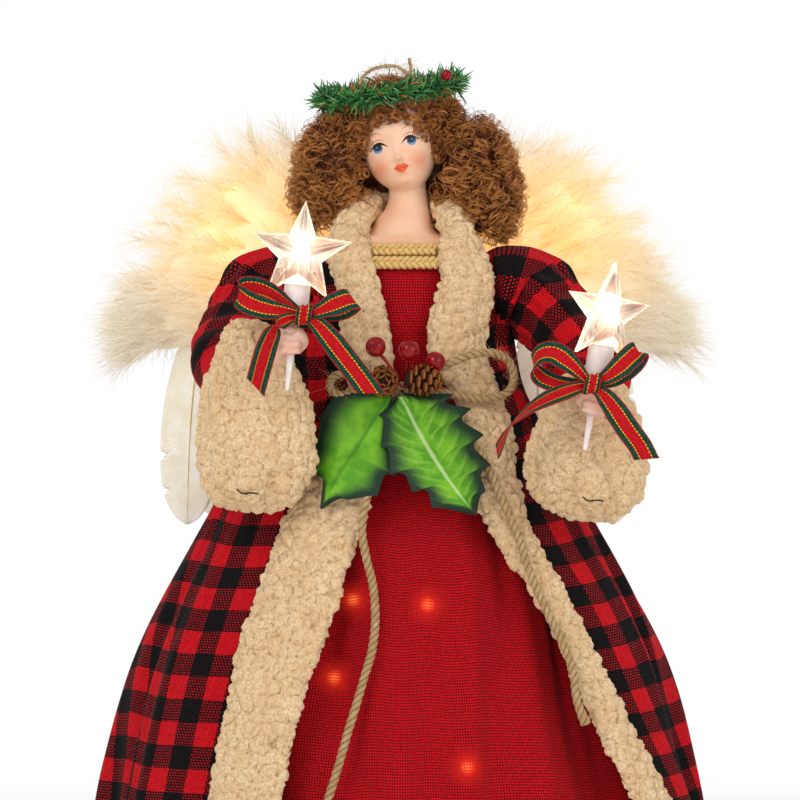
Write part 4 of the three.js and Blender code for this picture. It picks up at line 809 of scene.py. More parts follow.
def skirt_size(height):
    share = (WAIST - height) / (WAIST - HEM_LIFT["skirt"])
    gathered = torso_size(np.array(WAIST)) + CLOTH_GAP + 1.2 + 1.5 + 1.05
    hem = np.array([SKIRT_HALF_WIDTH, SKIRT_HALF_DEPTH, SKIRT_HALF_DEPTH])
    return lerp(gathered, hem, np.clip(share, 0, 1)[..., None] ** 0.72)


def skirt_point(turn, height):
    """The ring drawn in by sixteen pleats; each wanders a little, and fine creases run round the ring."""
    share = 1 - height / WAIST
    wander = 0.11 * np.sin(2 * turn + height / 80) + 0.06 * np.sin(5 * turn - height / 45)
    pleat = 0.07 * ease(share * 1.4) * ((1 - np.cos(16 * (turn + wander))) / 2) ** 1.2
    crease = 0.008 * np.sin(39 * turn + 1.7 * np.sin(height / 38)) * ease(1.3 - share)
    return ring_point(turn, height, skirt_size(height), 0.0, 1 - pleat + crease)


def add_skirt():
    height = lerp(HEM_LIFT["skirt"], WAIST, np.linspace(0, 1, SKIRT_ROWS) ** 1.15)[:, None]
    turn = FULL_TURN * np.linspace(-0.5, 0.5, SKIRT_COLUMNS, endpoint=False)[None]
    turn, height = np.broadcast_arrays(turn, height)
    points = skirt_point(turn, height)
    seam = np.concatenate([points, points[:, :1]], 1)
    uv = cloth_lengths(seam)[:, :SKIRT_COLUMNS]
    uv[..., 0] = uv[:1, :, 0]  # threads run straight down through the gathers
    skirt = add_piece("red_skirt", points, grid_faces(SKIRT_ROWS, SKIRT_COLUMNS, wrap=True), skirt_finish,
                      "doll", "dress_skirt", uv=uv, slot="red_cloth")
    add_wall(skirt, 0.6)


def add_bodice():
    height = np.linspace(242, 1.03 * SHOULDER - 0.4, BODICE_ROWS)[:, None]
    turn = FULL_TURN * np.linspace(-0.5, 0.5, BODICE_COLUMNS, endpoint=False)[None]
    turn, height = np.broadcast_arrays(turn, height)
    pull = 0.5 * np.sin(26 * turn + height / 9) * ease((262 - height) / 20)
    points = ring_point(turn, height, torso_size(height), CLOTH_GAP + 1.4 + pull)
    uv = cloth_lengths(points).reshape(-1, 2)
    flat = points.reshape(-1, 3)
    faces = faces_outside(flat, grid_faces(BODICE_ROWS, BODICE_COLUMNS, wrap=True), ARM_PIVOTS.values(),
        ARMHOLE)
    flat, faces, uv = drop_loose(flat, faces, uv)
    bodice = add_piece("red_bodice", flat, faces, bodice_finish, "doll", "dress_bodice", uv=uv,
        slot="red_cloth")
    add_wall(bodice, 0.6)
    0.75 * uv[:, 0].max() * uv[:, 1].max()


add_skirt()
add_bodice()

# %% [markdown]
# ## Fleece edges, collar and cuffs
# The tan edging is curled pile: thick rolls covered in nubs a few millimetres wide. A bump map alone
# would leave a straight outline, so the nubs are in the mesh. Each roll starts as plain closed parts,
# a voxel remesh melts them into one even skin, and every point then moves out along its normal by a
# field of scattered rounded cells. The depth of each pit is kept so the finish paints shade into the valleys.

# %% Fleece finish
def make_fleece_finish():
    finish = Finish("curled_fleece", rough=0.95, Specular_IOR_Level=0.1, Sheen_Weight=0.12,
        Sheen_Roughness=0.6)
    height = finish.attribute("tone")
    curl = finish.noise(1.3, detail=4, rough=0.65)
    fibre = finish.noise(0.5, detail=3)
    patch = finish.noise(14).ramp(0.3, 0.7)
    light = finish.mix(patch, tint("edcda0"), tint("f8e0ba"))
    body = finish.mix(curl.ramp(0.3, 0.7), tint("d8ae7c"), light)
    # Painted shade: the valleys between nubs, where the tone is low, turn dark brown.
    finish.set("Base Color", finish.mix((height * 1.1 + curl * 0.3).ramp(0.05, 0.6), tint("9a7147"), body))
    return finish.bump(curl * 0.6 + fibre * 0.45, 0.9, 0.9)


fleece_finish = make_fleece_finish()

# %% Melting parts into one skin
VOXEL = 1.1


def fused(parts, voxel=VOXEL, smoothing=2):
    """Points, faces and normals of one even skin round closed parts, each a pair of points and faces."""
    points = np.concatenate([np.reshape(part[0], (-1, 3)) for part in parts])
    starts = np.cumsum([0] + [len(np.reshape(part[0], (-1, 3))) for part in parts])
    faces = [np.asarray(group) + start for part, start in zip(parts, starts)
             for group in (part[1] if isinstance(part[1], list) else [part[1]])]
    blank = bpy.data.objects.new("soft_blank", mesh_from("soft_blank", points, faces)[0])
    bpy.context.scene.collection.objects.link(blank)
    melt = blank.modifiers.new("melt", "REMESH")
    melt.mode, melt.voxel_size = "VOXEL", voxel * MM
    calm = blank.modifiers.new("calm", "SMOOTH")
    calm.factor, calm.iterations = 0.5, smoothing
    melted = blank.evaluated_get(bpy.context.evaluated_depsgraph_get()).to_mesh()
    found = np.empty(len(melted.vertices) * 3)
    melted.vertices.foreach_get("co", found)
    normals = np.empty_like(found)
    melted.vertices.foreach_get("normal", normals)
    corners = np.empty(len(melted.loops), np.int32)
    melted.loops.foreach_get("vertex_index", corners)
    quads = corners.reshape(-1, 4)
    bpy.data.objects.remove(blank)
    return found.reshape(-1, 3) / MM, quads, normals.reshape(-1, 3)


def closed_rings(rings):
    """A closed part from rings of points: a grid round the rings, and a fan of triangles at each end."""
    rows, columns, _ = rings.shape
    points = np.vstack([rings.reshape(-1, 3), rings[0].mean(0), rings[-1].mean(0)])
    side, top = np.arange(columns), (rows - 1) * columns
    beside = (side + 1) % columns
    fans = [np.stack([np.full(columns, len(points) - 2), beside, side], -1),
            np.stack([np.full(columns, len(points) - 1), top + side, top + beside], -1)]
    faces = [grid_faces(rows, columns, wrap=True), np.concatenate(fans)]
    a, b, c = (points[faces[1][:columns, k]] for k in range(3))
    outward = ((rings[0].mean(0) - rings[1].mean(0)) * np.cross(b - a, c - a).sum(0)).sum()
    return points, faces if outward > 0 else [group[:, ::-1] for group in faces]


def swept(path, radii, columns=24, steps=40):
    """A closed tube along a smooth path, whose radius runs smoothly through the given radii."""
    line = smooth_path(path, steps)
    radius = share_table([(k / (len(radii) - 1), r) for k, r in enumerate(radii)])(np.linspace(0, 1, steps))
    turn = FULL_TURN * np.arange(columns)[None] / columns
    return closed_rings(rings_along(line, radius, turn))


def ball(radii, centre, columns=20, rows=14):
    """A closed ellipsoid."""
    polar = np.linspace(0.02, math.pi - 0.02, rows)[:, None]
    turn = FULL_TURN * np.arange(columns)[None] / columns
    skin = np.stack([np.sin(polar) * np.cos(turn), np.sin(polar) * np.sin(turn),
                     np.cos(polar) * np.ones_like(turn)], -1)
    return closed_rings(skin * np.asarray(radii, float) + np.asarray(centre, float))


def gather(parts, tones=None):
    """Several closed parts as one mesh, with one tone per part or one per point."""
    points, faces, tone, start = [], [], [], 0
    for k, (place, groups) in enumerate(parts):
        place = np.reshape(place, (-1, 3))
        points.append(place)
        faces += [np.asarray(group) + start for group in (groups if isinstance(groups, list) else [groups])]
        if tones is not None:
            tone.append(np.broadcast_to(tones[k], len(place)))
        start += len(place)
    quads = [group for group in faces if group.shape[1] == 4]
    fans = [group for group in faces if group.shape[1] == 3]
    joined = [np.concatenate(kind) for kind in (quads, fans) if kind]
    return np.concatenate(points), joined, np.concatenate(tone) if tones is not None else None


# %% Nubs on the fleece
NUB_SIZES = ((6.6, 2.3, 3), (3.1, 0.95, 11))
ROLL_WAVE = 1.3


def add_fleece(name, parts, body, node):
    """Melts the parts and raises nubs: the sum over sizes of depth times a rounded cell."""
    points, faces, normals = fused(parts, smoothing=1)
    warp = np.stack([soft_noise(points, 6.0, seed) for seed in (31, 32, 33)], -1)
    raised = [depth * nubs(points + 1.5 * warp, size, seed) for size, depth, seed in NUB_SIZES]
    height = sum(raised)
    lift = height - 1.9 + ROLL_WAVE * soft_noise(points, 13.0, 5)
    # tone is the nub height, from which the finish paints shade into the valleys.
    tone = height / sum(depth for _, depth, _ in NUB_SIZES)
    piece = add_piece(name, points + normals * lift[:, None], faces, fleece_finish, body, node,
                      tone=tone, slot="fleece")
    print(name, len(faces), "faces")
    return piece


def fleece_band(low, high, inner, outer):
    """A roll on the coat's front edge: a flat back, and a face that follows a flattened half circle."""
    height = np.linspace(low, high, 120)[:, None]
    edges = fleece_edges(height / SHOULDER)
    across = np.linspace(0, 1, 32)[None]
    sine = lerp(edges[..., inner], edges[..., outer], np.concatenate([across, across[:, ::-1]], 1))
    crown = np.sqrt(np.clip(1 - np.abs(2 * across - 1) ** 2.6, 0, 1))
    lift = np.concatenate([FLEECE * (0.12 + 0.88 * crown), 0 * across], 1)
    turn = np.arcsin(np.clip(sine, -0.995, 0.995))
    return closed_rings(coat_point(turn, np.broadcast_to(height, turn.shape), CLOTH_GAP + lift, 0.0))


def collar_parts():
    """Two lapels that rise past the coat's top, and a roll that joins them behind the neck."""
    high = COAT_TOP
    rise = FLEECE * 0.75
    roll = swept([(-27, -18, 314), (-25, -14, 326), (-20, -3, 336), (-10, 13, 341), (3, 18, 342),
                  (15, 13, 341), (24, -3, 336), (28, -14, 326), (29, -18, 314)],
                 (7.5, 9, 8, 7.5, 7.5, 7.5, 8, 9, 7.5), 30, 60)
    return [fleece_band(WAIST - 3, high + rise, 0, 1), fleece_band(WAIST - 3, high + rise, 2, 3), roll]


add_fleece("left_front_fleece", [fleece_band(HEM_LIFT["coat"], WAIST, 0, 1)], "doll", "left_front_trim")
add_fleece("right_front_fleece", [fleece_band(HEM_LIFT["coat"], WAIST, 2, 3)], "doll", "right_front_trim")
add_fleece("shawl_collar", collar_parts(), "doll", "fleece_collar")

# %% [markdown]
# ## Sleeves, cuffs and fists
# A sleeve is gathered into the armhole and widens towards a heavy turned-back cuff of fleece, from
# which a small fist of painted resin holds the candle. The sleeve is a ring carried along the arm's
# path, with gathers that fade away from the shoulder. Round the shoulder its rings are turned about
# the very axis on which the arm rises, so it stays in its armhole at every height of the arm.

# %% The arms' places
ARM_REACH = 100
ARMS = {
    "left": dict(
        side=-1, lean=0.1, star_yaw=-0.05, cuff_height=94, fist=(-0.02, -0.84, -0.29),
        cuff=(-0.215, -0.655, -0.66), wrist=(-0.12, -0.68, -0.4),
        sleeve=((-0.18, -0.02, -0.07), (-0.3, -0.18, -0.26), (-0.33, -0.4, -0.42), (-0.24, -0.56, -0.48)),
    ),
    "right": dict(
        side=1, lean=0.16, star_yaw=0.6, cuff_height=75.2, fist=(0.43, -0.85, -0.58),
        cuff=(0.42, -0.61, -0.79), wrist=(0.43, -0.66, -0.66),
        sleeve=((0.18, -0.02, -0.07), (0.34, -0.18, -0.26), (0.44, -0.36, -0.46), (0.42, -0.5, -0.6)),
    ),
}


def at_reach(name, shares):
    return np.array(ARM_PIVOTS[name]) + np.array(shares) * ARM_REACH


def in_fist(name, points):
    """From the fist's own frame, where the candle stands on +Z, to the doll's: a lean, then a move."""
    return np.asarray(points) @ about_y(ARMS[name]["lean"]).T + at_reach(name, ARMS[name]["fist"])


# %% Sleeves
SLEEVE_COLUMNS, SLEEVE_ROWS = 120, 100
SLEEVE_RADII = (9, 19, 21.8, 19.5, 18.5, 19, 18, 13.5)
SLEEVE_ROUND = 10 * PLAID_CELL
SLEEVE_REFERENCE = (0.0, 1.0, 0.12)


def add_sleeve(name, arm):
    side = arm["side"]
    pivot = np.array(ARM_PIVOTS[name])
    path = [pivot - (side * 15, 0, 0), pivot - (side * 8, 0, 0), pivot + (side * 3, 0, 0),
            *(at_reach(name, shares) for shares in arm["sleeve"])]
    line = smooth_path(path, SLEEVE_ROWS)
    along = np.linspace(0, 1, SLEEVE_ROWS)
    radius = share_table([(k / (len(SLEEVE_RADII) - 1), r) for k, r in enumerate(SLEEVE_RADII)])(along)
    turn = FULL_TURN * np.arange(SLEEVE_COLUMNS)[None] / SLEEVE_COLUMNS
    share = along[:, None]
    free = ease((share - 0.16) / 0.16)
    gathers = 0.045 * np.sin(13 * turn + 1.5 * np.sin(4 * turn)) * free * ease((0.75 - share) / 0.4)
    folds = 0.07 * free * np.sin(3 * turn + 9 * share + 1.2 * np.sin(7 * share))
    ripples = 0.03 * free * np.sin(15 * share * math.pi + 2 * np.sin(turn))
    size = radius * (1 + gathers + folds + ripples)
    points = rings_along(line, size, turn, SLEEVE_REFERENCE)
    uv = np.stack(np.broadcast_arrays(turn / FULL_TURN * SLEEVE_ROUND, share * path_length(line)), -1) * MM
    faces = grid_faces(SLEEVE_ROWS, SLEEVE_COLUMNS, wrap=True)
    sleeve = add_piece(f"{name}_plaid_sleeve", points, faces, plaid_finish, f"{name}_arm",
                       f"{name}_sleeve", uv=uv, slot="plaid")
    add_wall(sleeve, 0.9)
    area, long = cloth_area(points.reshape(-1, 3), faces), uv[..., 1].max()


# %% Cuffs
cuff_outline = share_table([
    (0, 0.3, 0), (0.05, 0.62, 0), (0.15, 0.86, 0.01), (0.32, 1, 0.02), (0.5, 0.97, 0.02),
    (0.68, 0.8, 0), (0.84, 0.63, 0), (0.95, 0.47, -0.02), (1, 0.26, -0.03)])
CUFF_HALF_WIDTH, CUFF_HALF_DEPTH = 30, 17
STITCHES = (((-5.5, 12), (-3.2, 10.2), (-0.5, 9.8)), ((-1.2, 10.2), (2, 10.3), (4.8, 9.9)))


def make_thread_finish():
    finish = Finish("black_thread", rough=0.8, Specular_IOR_Level=0.2)
    finish.two_tones(finish.noise(0.5).ramp(0.3, 0.7), "0d0b0d", "2a2426")
    return finish


thread_finish = make_thread_finish()


def cuff_part(name, arm):
    """A teardrop of folded fleece: rings whose size runs through the outline, with a fold down its front."""
    up = np.linspace(0, 1, 60)[:, None]
    turn = FULL_TURN * np.arange(72)[None] / 72
    wide, lean = np.moveaxis(cuff_outline(up), -1, 0)
    folded = 0.15 * np.exp(-((turn - 0.55 + 0.3 * up) / 0.13) ** 2) * ease((up - 0.3) / 0.2)
    crease = 1 - folded - 0.07 * np.exp(-((turn - 5.4 + 0.6 * up) / 0.16) ** 2)
    x, y, z = at_reach(name, arm["cuff"])
    height = arm["cuff_height"]
    return closed_rings(np.stack([
        x - arm["side"] * lean * height + CUFF_HALF_WIDTH * wide * crease * np.sin(turn),
        y - CUFF_HALF_DEPTH * wide * crease * np.cos(turn),
        z + (up - 0.5) * height + 0 * turn], -1))


def cuff_knot(name, arm):
    """The puff that the gathering thread pulls together low on the cuff's front."""
    x, y, z = at_reach(name, arm["cuff"])
    return ball((9.5, 6, 13), (x + arm["side"] * 1.5, y - 17, z - 0.5 * arm["cuff_height"] + 16.5))


def add_stitches(name, arm, cuff):
    """Two loose stitches of black thread that lie on the puff."""
    x, _, z = at_reach(name, arm["cuff"])
    skin = np.empty(len(cuff.data.vertices) * 3)
    cuff.data.vertices.foreach_get("co", skin)
    skin = skin.reshape(-1, 3) / MM
    parts = []
    for ends in STITCHES:
        path = []
        for across, up in ends:
            away = np.hypot(skin[:, 0] - x - arm["side"] * 1.5 - across,
                skin[:, 2] - z + 0.5 * arm["cuff_height"] - up)
            spot = skin[np.where(away < 1.6, skin[:, 1], 99).argmin()]
            path.append((x + arm["side"] * 1.5 + across, spot[1] - 0.25, z - 0.5 * arm["cuff_height"] + up))
        parts.append(swept(path, (0.3, 0.36, 0.3), 8, 16))
    points, faces, _ = gather(parts)
    add_piece(f"{name}_cuff_stitches", points, faces, thread_finish, f"{name}_arm", slot="lead")


# %% Fists
FIST_VOXEL = 0.42
FINGER_LEVELS = (-5.4, -1.9, 1.6, 4.9)


def make_resin_finish():
    finish = Finish("painted_resin", tint("eebfa6"), 0.45, Specular_IOR_Level=0.3, Subsurface_Weight=0.15,
        Subsurface_Scale=0.002)
    finish.shader.inputs["Subsurface Radius"].default_value = (1.0, 0.35, 0.2)
    blush = finish.noise(6).ramp(0.35, 0.75)
    finish.two_tones(blush, "f1c9b1", "e6ab92")
    return finish.bump(finish.noise(0.8, detail=2), 0.05, 0.4)


resin_finish = make_resin_finish()


def add_fist(name, arm):
    """A palm, four fingers curled round the candle's stem, a thumb across them, and the wrist."""
    side = arm["side"]
    parts = [ball((5.6, 4.4, 7.2), (side * 1.6, 1.4, 0))]
    for k, level in enumerate(FINGER_LEVELS):
        out = 1 - 0.05 * abs(k - 1.3)
        path = [(side * 5.2 * out, 0.5, level), (side * 4.6 * out, -4.6, level * 0.98),
                (side * 0.6, -6.6 * out, level * 0.96), (-side * 3.4, -5.2 * out, level * 0.92),
                (-side * 4.2, -2.6, level * 0.88)]
        parts.append(swept(path, (1.9, 2.05, 1.9, 1.75, 1.45), 14, 20))
    thumb = [(-side * 3.6, 3.2, -3.5), (-side * 5.6, -1.4, -0.6), (-side * 4.6, -5.4, 2.6),
        (-side * 1.2, -7.9, 4.4)]
    parts.append(swept(thumb, (2.6, 2.5, 2.2, 1.9), 14, 20))
    points = [(in_fist(name, part[0]), part[1]) for part in parts]
    wrist, palm = at_reach(name, arm["wrist"]), in_fist(name, [(side * 0.6, 2.5, -1)])[0]
    points.append(swept([palm, lerp(palm, wrist, 0.5), wrist], (5.2, 4.6, 5.0), 20, 12))
    skin, faces, _ = fused(points, FIST_VOXEL, 3)
    add_piece(f"{name}_fist", skin, faces, resin_finish, f"{name}_arm", f"{name}_hand", slot="porcelain")


for arm_name, arm_facts in ARMS.items():
    add_sleeve(arm_name, arm_facts)
    cuff = add_fleece(f"{arm_name}_fleece_cuff",
        [cuff_part(arm_name, arm_facts), cuff_knot(arm_name, arm_facts)],
                      f"{arm_name}_arm", f"{arm_name}_cuff")
    add_stitches(arm_name, arm_facts, cuff)
    add_fist(arm_name, arm_facts)

# %% [markdown]
# ## The porcelain head
# Head, neck and shoulder plate are one casting of matt bisque. The head is rings from crown to chin,
# the features are small soft hills and dips pushed forward from it, and a remesh melts the head, the
# neck and the plate into one skin. The face is painted, and paint has edges finer than any mesh that
# is worth its size, so eyes, brows and lips are worked out in the finish from the face's own lengths.

# %% The head's measures
HEAD_PLACE = np.array([-1.116, -3.28, 370.65])
HEAD_HALF = (18.6, 20.5, 26)
HEAD_LEAN = math.radians(-14)
FACE_MIDDLE = -2.0
EYE_SPREAD, EYE_LEVEL = 8.6, -1.4
LIP_LEVEL = -13.6
PLATE_FOOT, PLATE_GAP, PLATE_THICKNESS = 309, 0.3, 2.6

head_outline = share_table([
    (-1, 0.02, 0.02, 0.02), (-0.965, 0.24, 0.3, 0.1), (-0.88, 0.45, 0.6, 0.25), (-0.73, 0.67, 0.8, 0.5),
    (-0.54, 0.845, 0.9, 0.75), (-0.3, 0.96, 0.97, 0.93), (0, 1, 1, 1), (0.3, 0.98, 0.97, 1.03),
    (0.6, 0.83, 0.8, 0.9), (0.85, 0.54, 0.52, 0.6), (0.97, 0.24, 0.24, 0.27), (1, 0.02, 0.02, 0.02)])

# Across from the middle, up from the centre, width, height and rise of each hill, in millimetres.
FEATURES = (
    (0, -8.7, 2.0, 1.9, 3.0), (0, -5.0, 1.7, 3.4, 1.5), (2.1, -9.5, 1.0, 1.0, 0.9),
    (8.8, -11.0, 5.0, 4.5, 1.3),
    (0, -13.5, 3.0, 0.8, 0.9), (0, -15.8, 2.4, 1.0, 1.15), (0, -14.6, 3.0, 0.45, -0.5),
    (0, -18.2, 3.2, 1.2, -0.7),
    (0, -21.2, 4.0, 2.6, 1.6), (8.2, -2.2, 4.0, 2.8, -1.3), (8.6, -2.6, 2.4, 1.9, 0.8),
    (7.5, 4.5, 5.0, 2.6, 0.5))


def from_face(points):
    """From the head's own frame to the doll's: the head leans about Y, so the crown goes to its right."""
    return np.asarray(points) @ about_y(HEAD_LEAN).T + HEAD_PLACE


def to_face(points):
    """The way back from the doll's frame to the head's."""
    return (np.asarray(points) - HEAD_PLACE) @ about_y(HEAD_LEAN)


def head_part():
    """Rings from chin to crown: x = a sin(turn), y = -b cos(turn), with the hills pushed forward."""
    up = np.sin(np.linspace(-math.pi / 2, math.pi / 2, 150))[:, None]
    turn = FULL_TURN * np.arange(220)[None] / 220
    wide, front, back = np.moveaxis(head_outline(up), -1, 0)
    depth = np.where(np.cos(turn) > 0, front, back)
    x = HEAD_HALF[0] * wide * np.sin(turn)
    y = -HEAD_HALF[1] * depth * np.cos(turn)
    z = HEAD_HALF[2] * up + 0 * turn
    away = np.abs(x - FACE_MIDDLE)
    rise = sum(height * np.exp(-((away - across) / wide_) ** 2 - ((z - level) / tall) ** 2)
               for across, level, wide_, tall, height in FEATURES)
    return closed_rings(from_face(np.stack([x, y - rise * (np.cos(turn) > 0), z], -1)))


def plate_part():
    """A cup over the shoulders: up the inside of its wall, down the outside, and on into the neck."""
    turn = FULL_TURN * np.arange(120)[None] / 120
    top = 1.08 * SHOULDER
    levels = np.r_[np.linspace(top, PLATE_FOOT, 14), np.linspace(PLATE_FOOT, top, 14)][:, None]
    offset = np.r_[np.full(14, PLATE_GAP), np.full(14, PLATE_GAP + PLATE_THICKNESS)][:, None]
    return closed_rings(ring_point(turn, levels, torso_size(levels), offset))


def make_skin_finish():
    """Bisque with blush, and every painted feature as a shape in the face's own lengths."""
    finish = Finish("bisque_porcelain", rough=0.5, Specular_IOR_Level=0.3, Subsurface_Weight=0.12,
        Subsurface_Scale=0.003)
    finish.shader.inputs["Subsurface Radius"].default_value = (1.0, 0.4, 0.22)
    across, up, _ = (wire / MM for wire in finish.axes(finish.place("UV")))
    out = (across - FACE_MIDDLE).abs() - EYE_SPREAD
    high = up - EYE_LEVEL

    def inside(value, edge, soft=0.12):
        return 1 - value.ramp(edge - soft, edge + soft)

    def oval(x, y, wide, tall):
        return ((x / wide) * (x / wide) + (y / tall) * (y / tall)).power(0.5)

    def arc(top, middle, curve, half, reach):
        """A line along a parabola, thinning to nothing at its two ends."""
        from_middle = out - middle
        fade = 1 - (from_middle / reach) * (from_middle / reach)
        return inside((high - top + from_middle * from_middle * curve).abs() - fade * half, 0.0)

    lid = high - 1.7 + (out + 0.7) * (out + 0.7) * 0.14
    under_lid = inside(lid, 0.1)
    angle = finish.math("ARCTAN2", high + 3.2, out + 1.2)
    spoke = oval(out + 1.2, high + 3.2, 1, 1)
    lashes = (inside(((angle * 6.4 + 0.2).fract() - 0.5).abs() + (spoke - 5) * 0.03, 0.24, 0.06)
              * inside(spoke, 8.4, 0.3) * (spoke.ramp(4.9, 5.1)) * angle.ramp(0.40, 0.42)
              * inside(angle, 1.22, 0.01))
    middle = across - (FACE_MIDDLE + 0.4)
    span = middle / 4.0
    bow = (1 - span * span) * 2.1 - inside(middle.abs(), 0.6, 0.6) * 0.45
    upper = inside((up - LIP_LEVEL) - bow, 0.0, 0.15) * (up - LIP_LEVEL).ramp(-0.2, 0.0)
    lower = inside((LIP_LEVEL - up) - (1 - (middle / 3.6) * (middle / 3.6)) * 2.6, 0.0, 0.15) \
        * (LIP_LEVEL - up).ramp(-0.2, 0.0)
    lips = upper.most(lower)
    seam = inside((up - LIP_LEVEL + 0.1).abs(), 0.12, 0.15) * inside(middle.abs(), 3.4, 0.3)

    mottled = finish.noise(11)
    color = finish.mix(mottled.ramp(0.3, 0.7), tint("f0bd9b"), tint("f6cbac"))
    iris = inside(oval(out, high + 0.55, 2.35, 2.3), 1.0, 0.07) * under_lid
    pupil = inside(oval(out + 0.1, high - 0.35, 1.95, 1.85), 1.0, 0.12) * under_lid
    layers = (  # where, from the skin outwards, and in which colour
        (inside(oval(out - 1.2, high + 10.5, 1, 1), 3.6, 3.4) * 0.6, tint("ee8a66")),
        (inside(oval(across - FACE_MIDDLE, up + 20.5, 1, 1), 2.4, 2.4) * 0.22, tint("ee8a66")),
        (arc(7.2, 0.3, 0.11, 0.3, 4.6) * 0.65, tint("9a5a34")),
        (arc(3.7, -0.3, 0.1, 0.28, 4.2) * 0.7, tint("b8683e")),
        (iris, finish.mix(high.ramp(-2.6, -0.6), tint("6fa6d6"), tint("3a70a8"))),
        (pupil, tint("24262b")),
        # A grey dot in each pupil is a painted highlight: a glint of light on the eye.
        (inside(oval(out - 0.35, high - 0.2, 0.4, 0.55), 1.0, 0.4), tint("737c82")),
        (arc(1.75, -0.7, 0.13, 0.72, 4.9), tint("0e0c0d")),
        (lashes, tint("191416")),
        (lips, finish.mix(seam, tint("e8643c"), tint("b8402a"))),
    )
    for where, paint in layers:
        color = finish.mix(where, color, paint)
    finish.set("Base Color", color)
    return finish.bump(finish.noise(1.0, detail=2), 0.04, 0.35)


HEAD_VOXEL = 0.72
CALMING_ROUNDS = 70


def calmed(points, faces, share):
    """Moves each point towards the mean of its neighbours again and again, as far as its share allows."""
    ends = np.concatenate([faces[:, [k, (k + 1) % 4]] for k in range(4)])
    ends = np.concatenate([ends, ends[:, ::-1]])
    count = np.bincount(ends[:, 0], minlength=len(points))[:, None]
    for _ in range(CALMING_ROUNDS):
        total = np.stack([np.bincount(ends[:, 0], points[ends[:, 1], k], len(points)) for k in range(3)], -1)
        points = lerp(points, total / count, 0.6 * share[:, None])
    return points


def add_head():
    parts = [head_part(), plate_part(),
             swept([(1.2, 1.5, 318), (2.2, 1.2, 327), (3.6, 0.4, 335), (4.0, -0.6, 345), (2.4, -1.2, 356)],
                   (20, 16.2, 11.0, 9.3, 10.0), 60, 60)]
    points, faces, _ = fused(parts, HEAD_VOXEL)
    points = calmed(points, faces, ease((336 - points[:, 2]) / 6) * (points[:, 2] > PLATE_FOOT + 4))
    local = to_face(points)
    painted = np.where((local[:, 1] < 0) & (points[:, 2] > 340), 1.0, 0.0)
    uv = np.stack([local[:, 0], local[:, 2] + 200 * (1 - painted)], -1) * MM
    add_piece("painted_head", points, faces, make_skin_finish(), "doll", "porcelain_head", uv=uv,
        slot="porcelain")
    print("head", len(faces), "faces")


add_head()

# %% [markdown]
# ## The curly wig
# The wig is thousands of fine crimped fibres. A noise texture on a blob never breaks the outline, and
# real strands with curves are slow to bake, so each fibre is a three-sided tube along a helix. A
# ringlet is one axis that wanders down over the wig's shape with several fibres round it, slightly out
# of step; fibres deeper in the wig are painted darker as shade. A mass below, painted near-black as
# the shade deep in the wig, stops light from passing through, and loose single loops make the frizz.

# %% The wig's shape
HAIR_RADIUS = 34
HAIR_LOCKS = np.array([  # centre and radii as shares of the wig's radius
    (0, 0.3, 0.1, 1, 0.84, 0.86), (-0.88, 0.2, -0.26, 0.55, 0.62, 0.7), (-1.05, 0.1, -0.68, 0.46, 0.5, 0.5),
    (0.93, 0.2, -0.28, 0.72, 0.64, 0.7), (1.3, 0.1, -0.74, 0.5, 0.52, 0.66),
    (0.1, 0.62, -0.45, 1.1, 0.48, 0.85)])
LOCK_CENTRES = HEAD_PLACE + HAIR_RADIUS * HAIR_LOCKS[:, :3]
LOCK_RADII = HAIR_RADIUS * HAIR_LOCKS[:, 3:]
FACE_OVAL = (-1.5, -8.5, 19.6, 20.5)


def wig_depth(points):
    """How far each point lies outside the wig's shape in millimetres, and the direction straight out."""
    steps = (points[..., None, :] - LOCK_CENTRES) / LOCK_RADII
    reach = np.linalg.norm(steps, axis=-1)
    depth = (reach - 1) * LOCK_RADII.min(-1)
    nearest = depth.argmin(-1)[..., None]
    outward = np.take_along_axis(unit(steps / LOCK_RADII), nearest[..., None], -2)[..., 0, :]
    return np.take_along_axis(depth, nearest, -1)[..., 0], outward


def face_share(points, margin=0.0):
    """Below 1 inside the oval that the hair leaves free in front of the face, and 9 behind it."""
    local = to_face(points)
    x, z, wide, tall = FACE_OVAL
    share = np.hypot((local[..., 0] - x) / (wide + margin), (local[..., 2] - z) / (tall + margin))
    neck = (np.abs(points[..., 0] - 3.5) < 11 + margin) & (points[..., 2] < 350)
    share = np.where(neck, 0.5, share)
    return np.where(local[..., 1] < -1, share, 9.0)


def under_hem(points):
    """True below the wig's lower edge at the front, which rises from both sides towards the neck."""
    x, y, z = np.moveaxis(points, -1, 0)
    hem = np.where(x > 0, 342 - 0.62 * (x - 14), 340 + 0.46 * (x + 14))
    return (z < hem) & (y < 12)


def make_hair_finish():
    finish = Finish("auburn_curls", rough=0.5, Specular_IOR_Level=0.2)
    tone = finish.attribute("tone")
    # tone carries painted shade: low tones paint the fibres deep in the wig dark.
    streak = finish.noise(2.2, detail=2) * 0.24
    low = finish.mix((tone + streak).ramp(0.1, 0.55), tint("301409"), tint("84441e"))
    finish.set("Base Color", finish.mix((tone + streak).ramp(0.5, 1.1), low, tint("cc894a")))
    return finish.bump(finish.noise(0.7), 0.1, 0.4)


hair_finish = make_hair_finish()


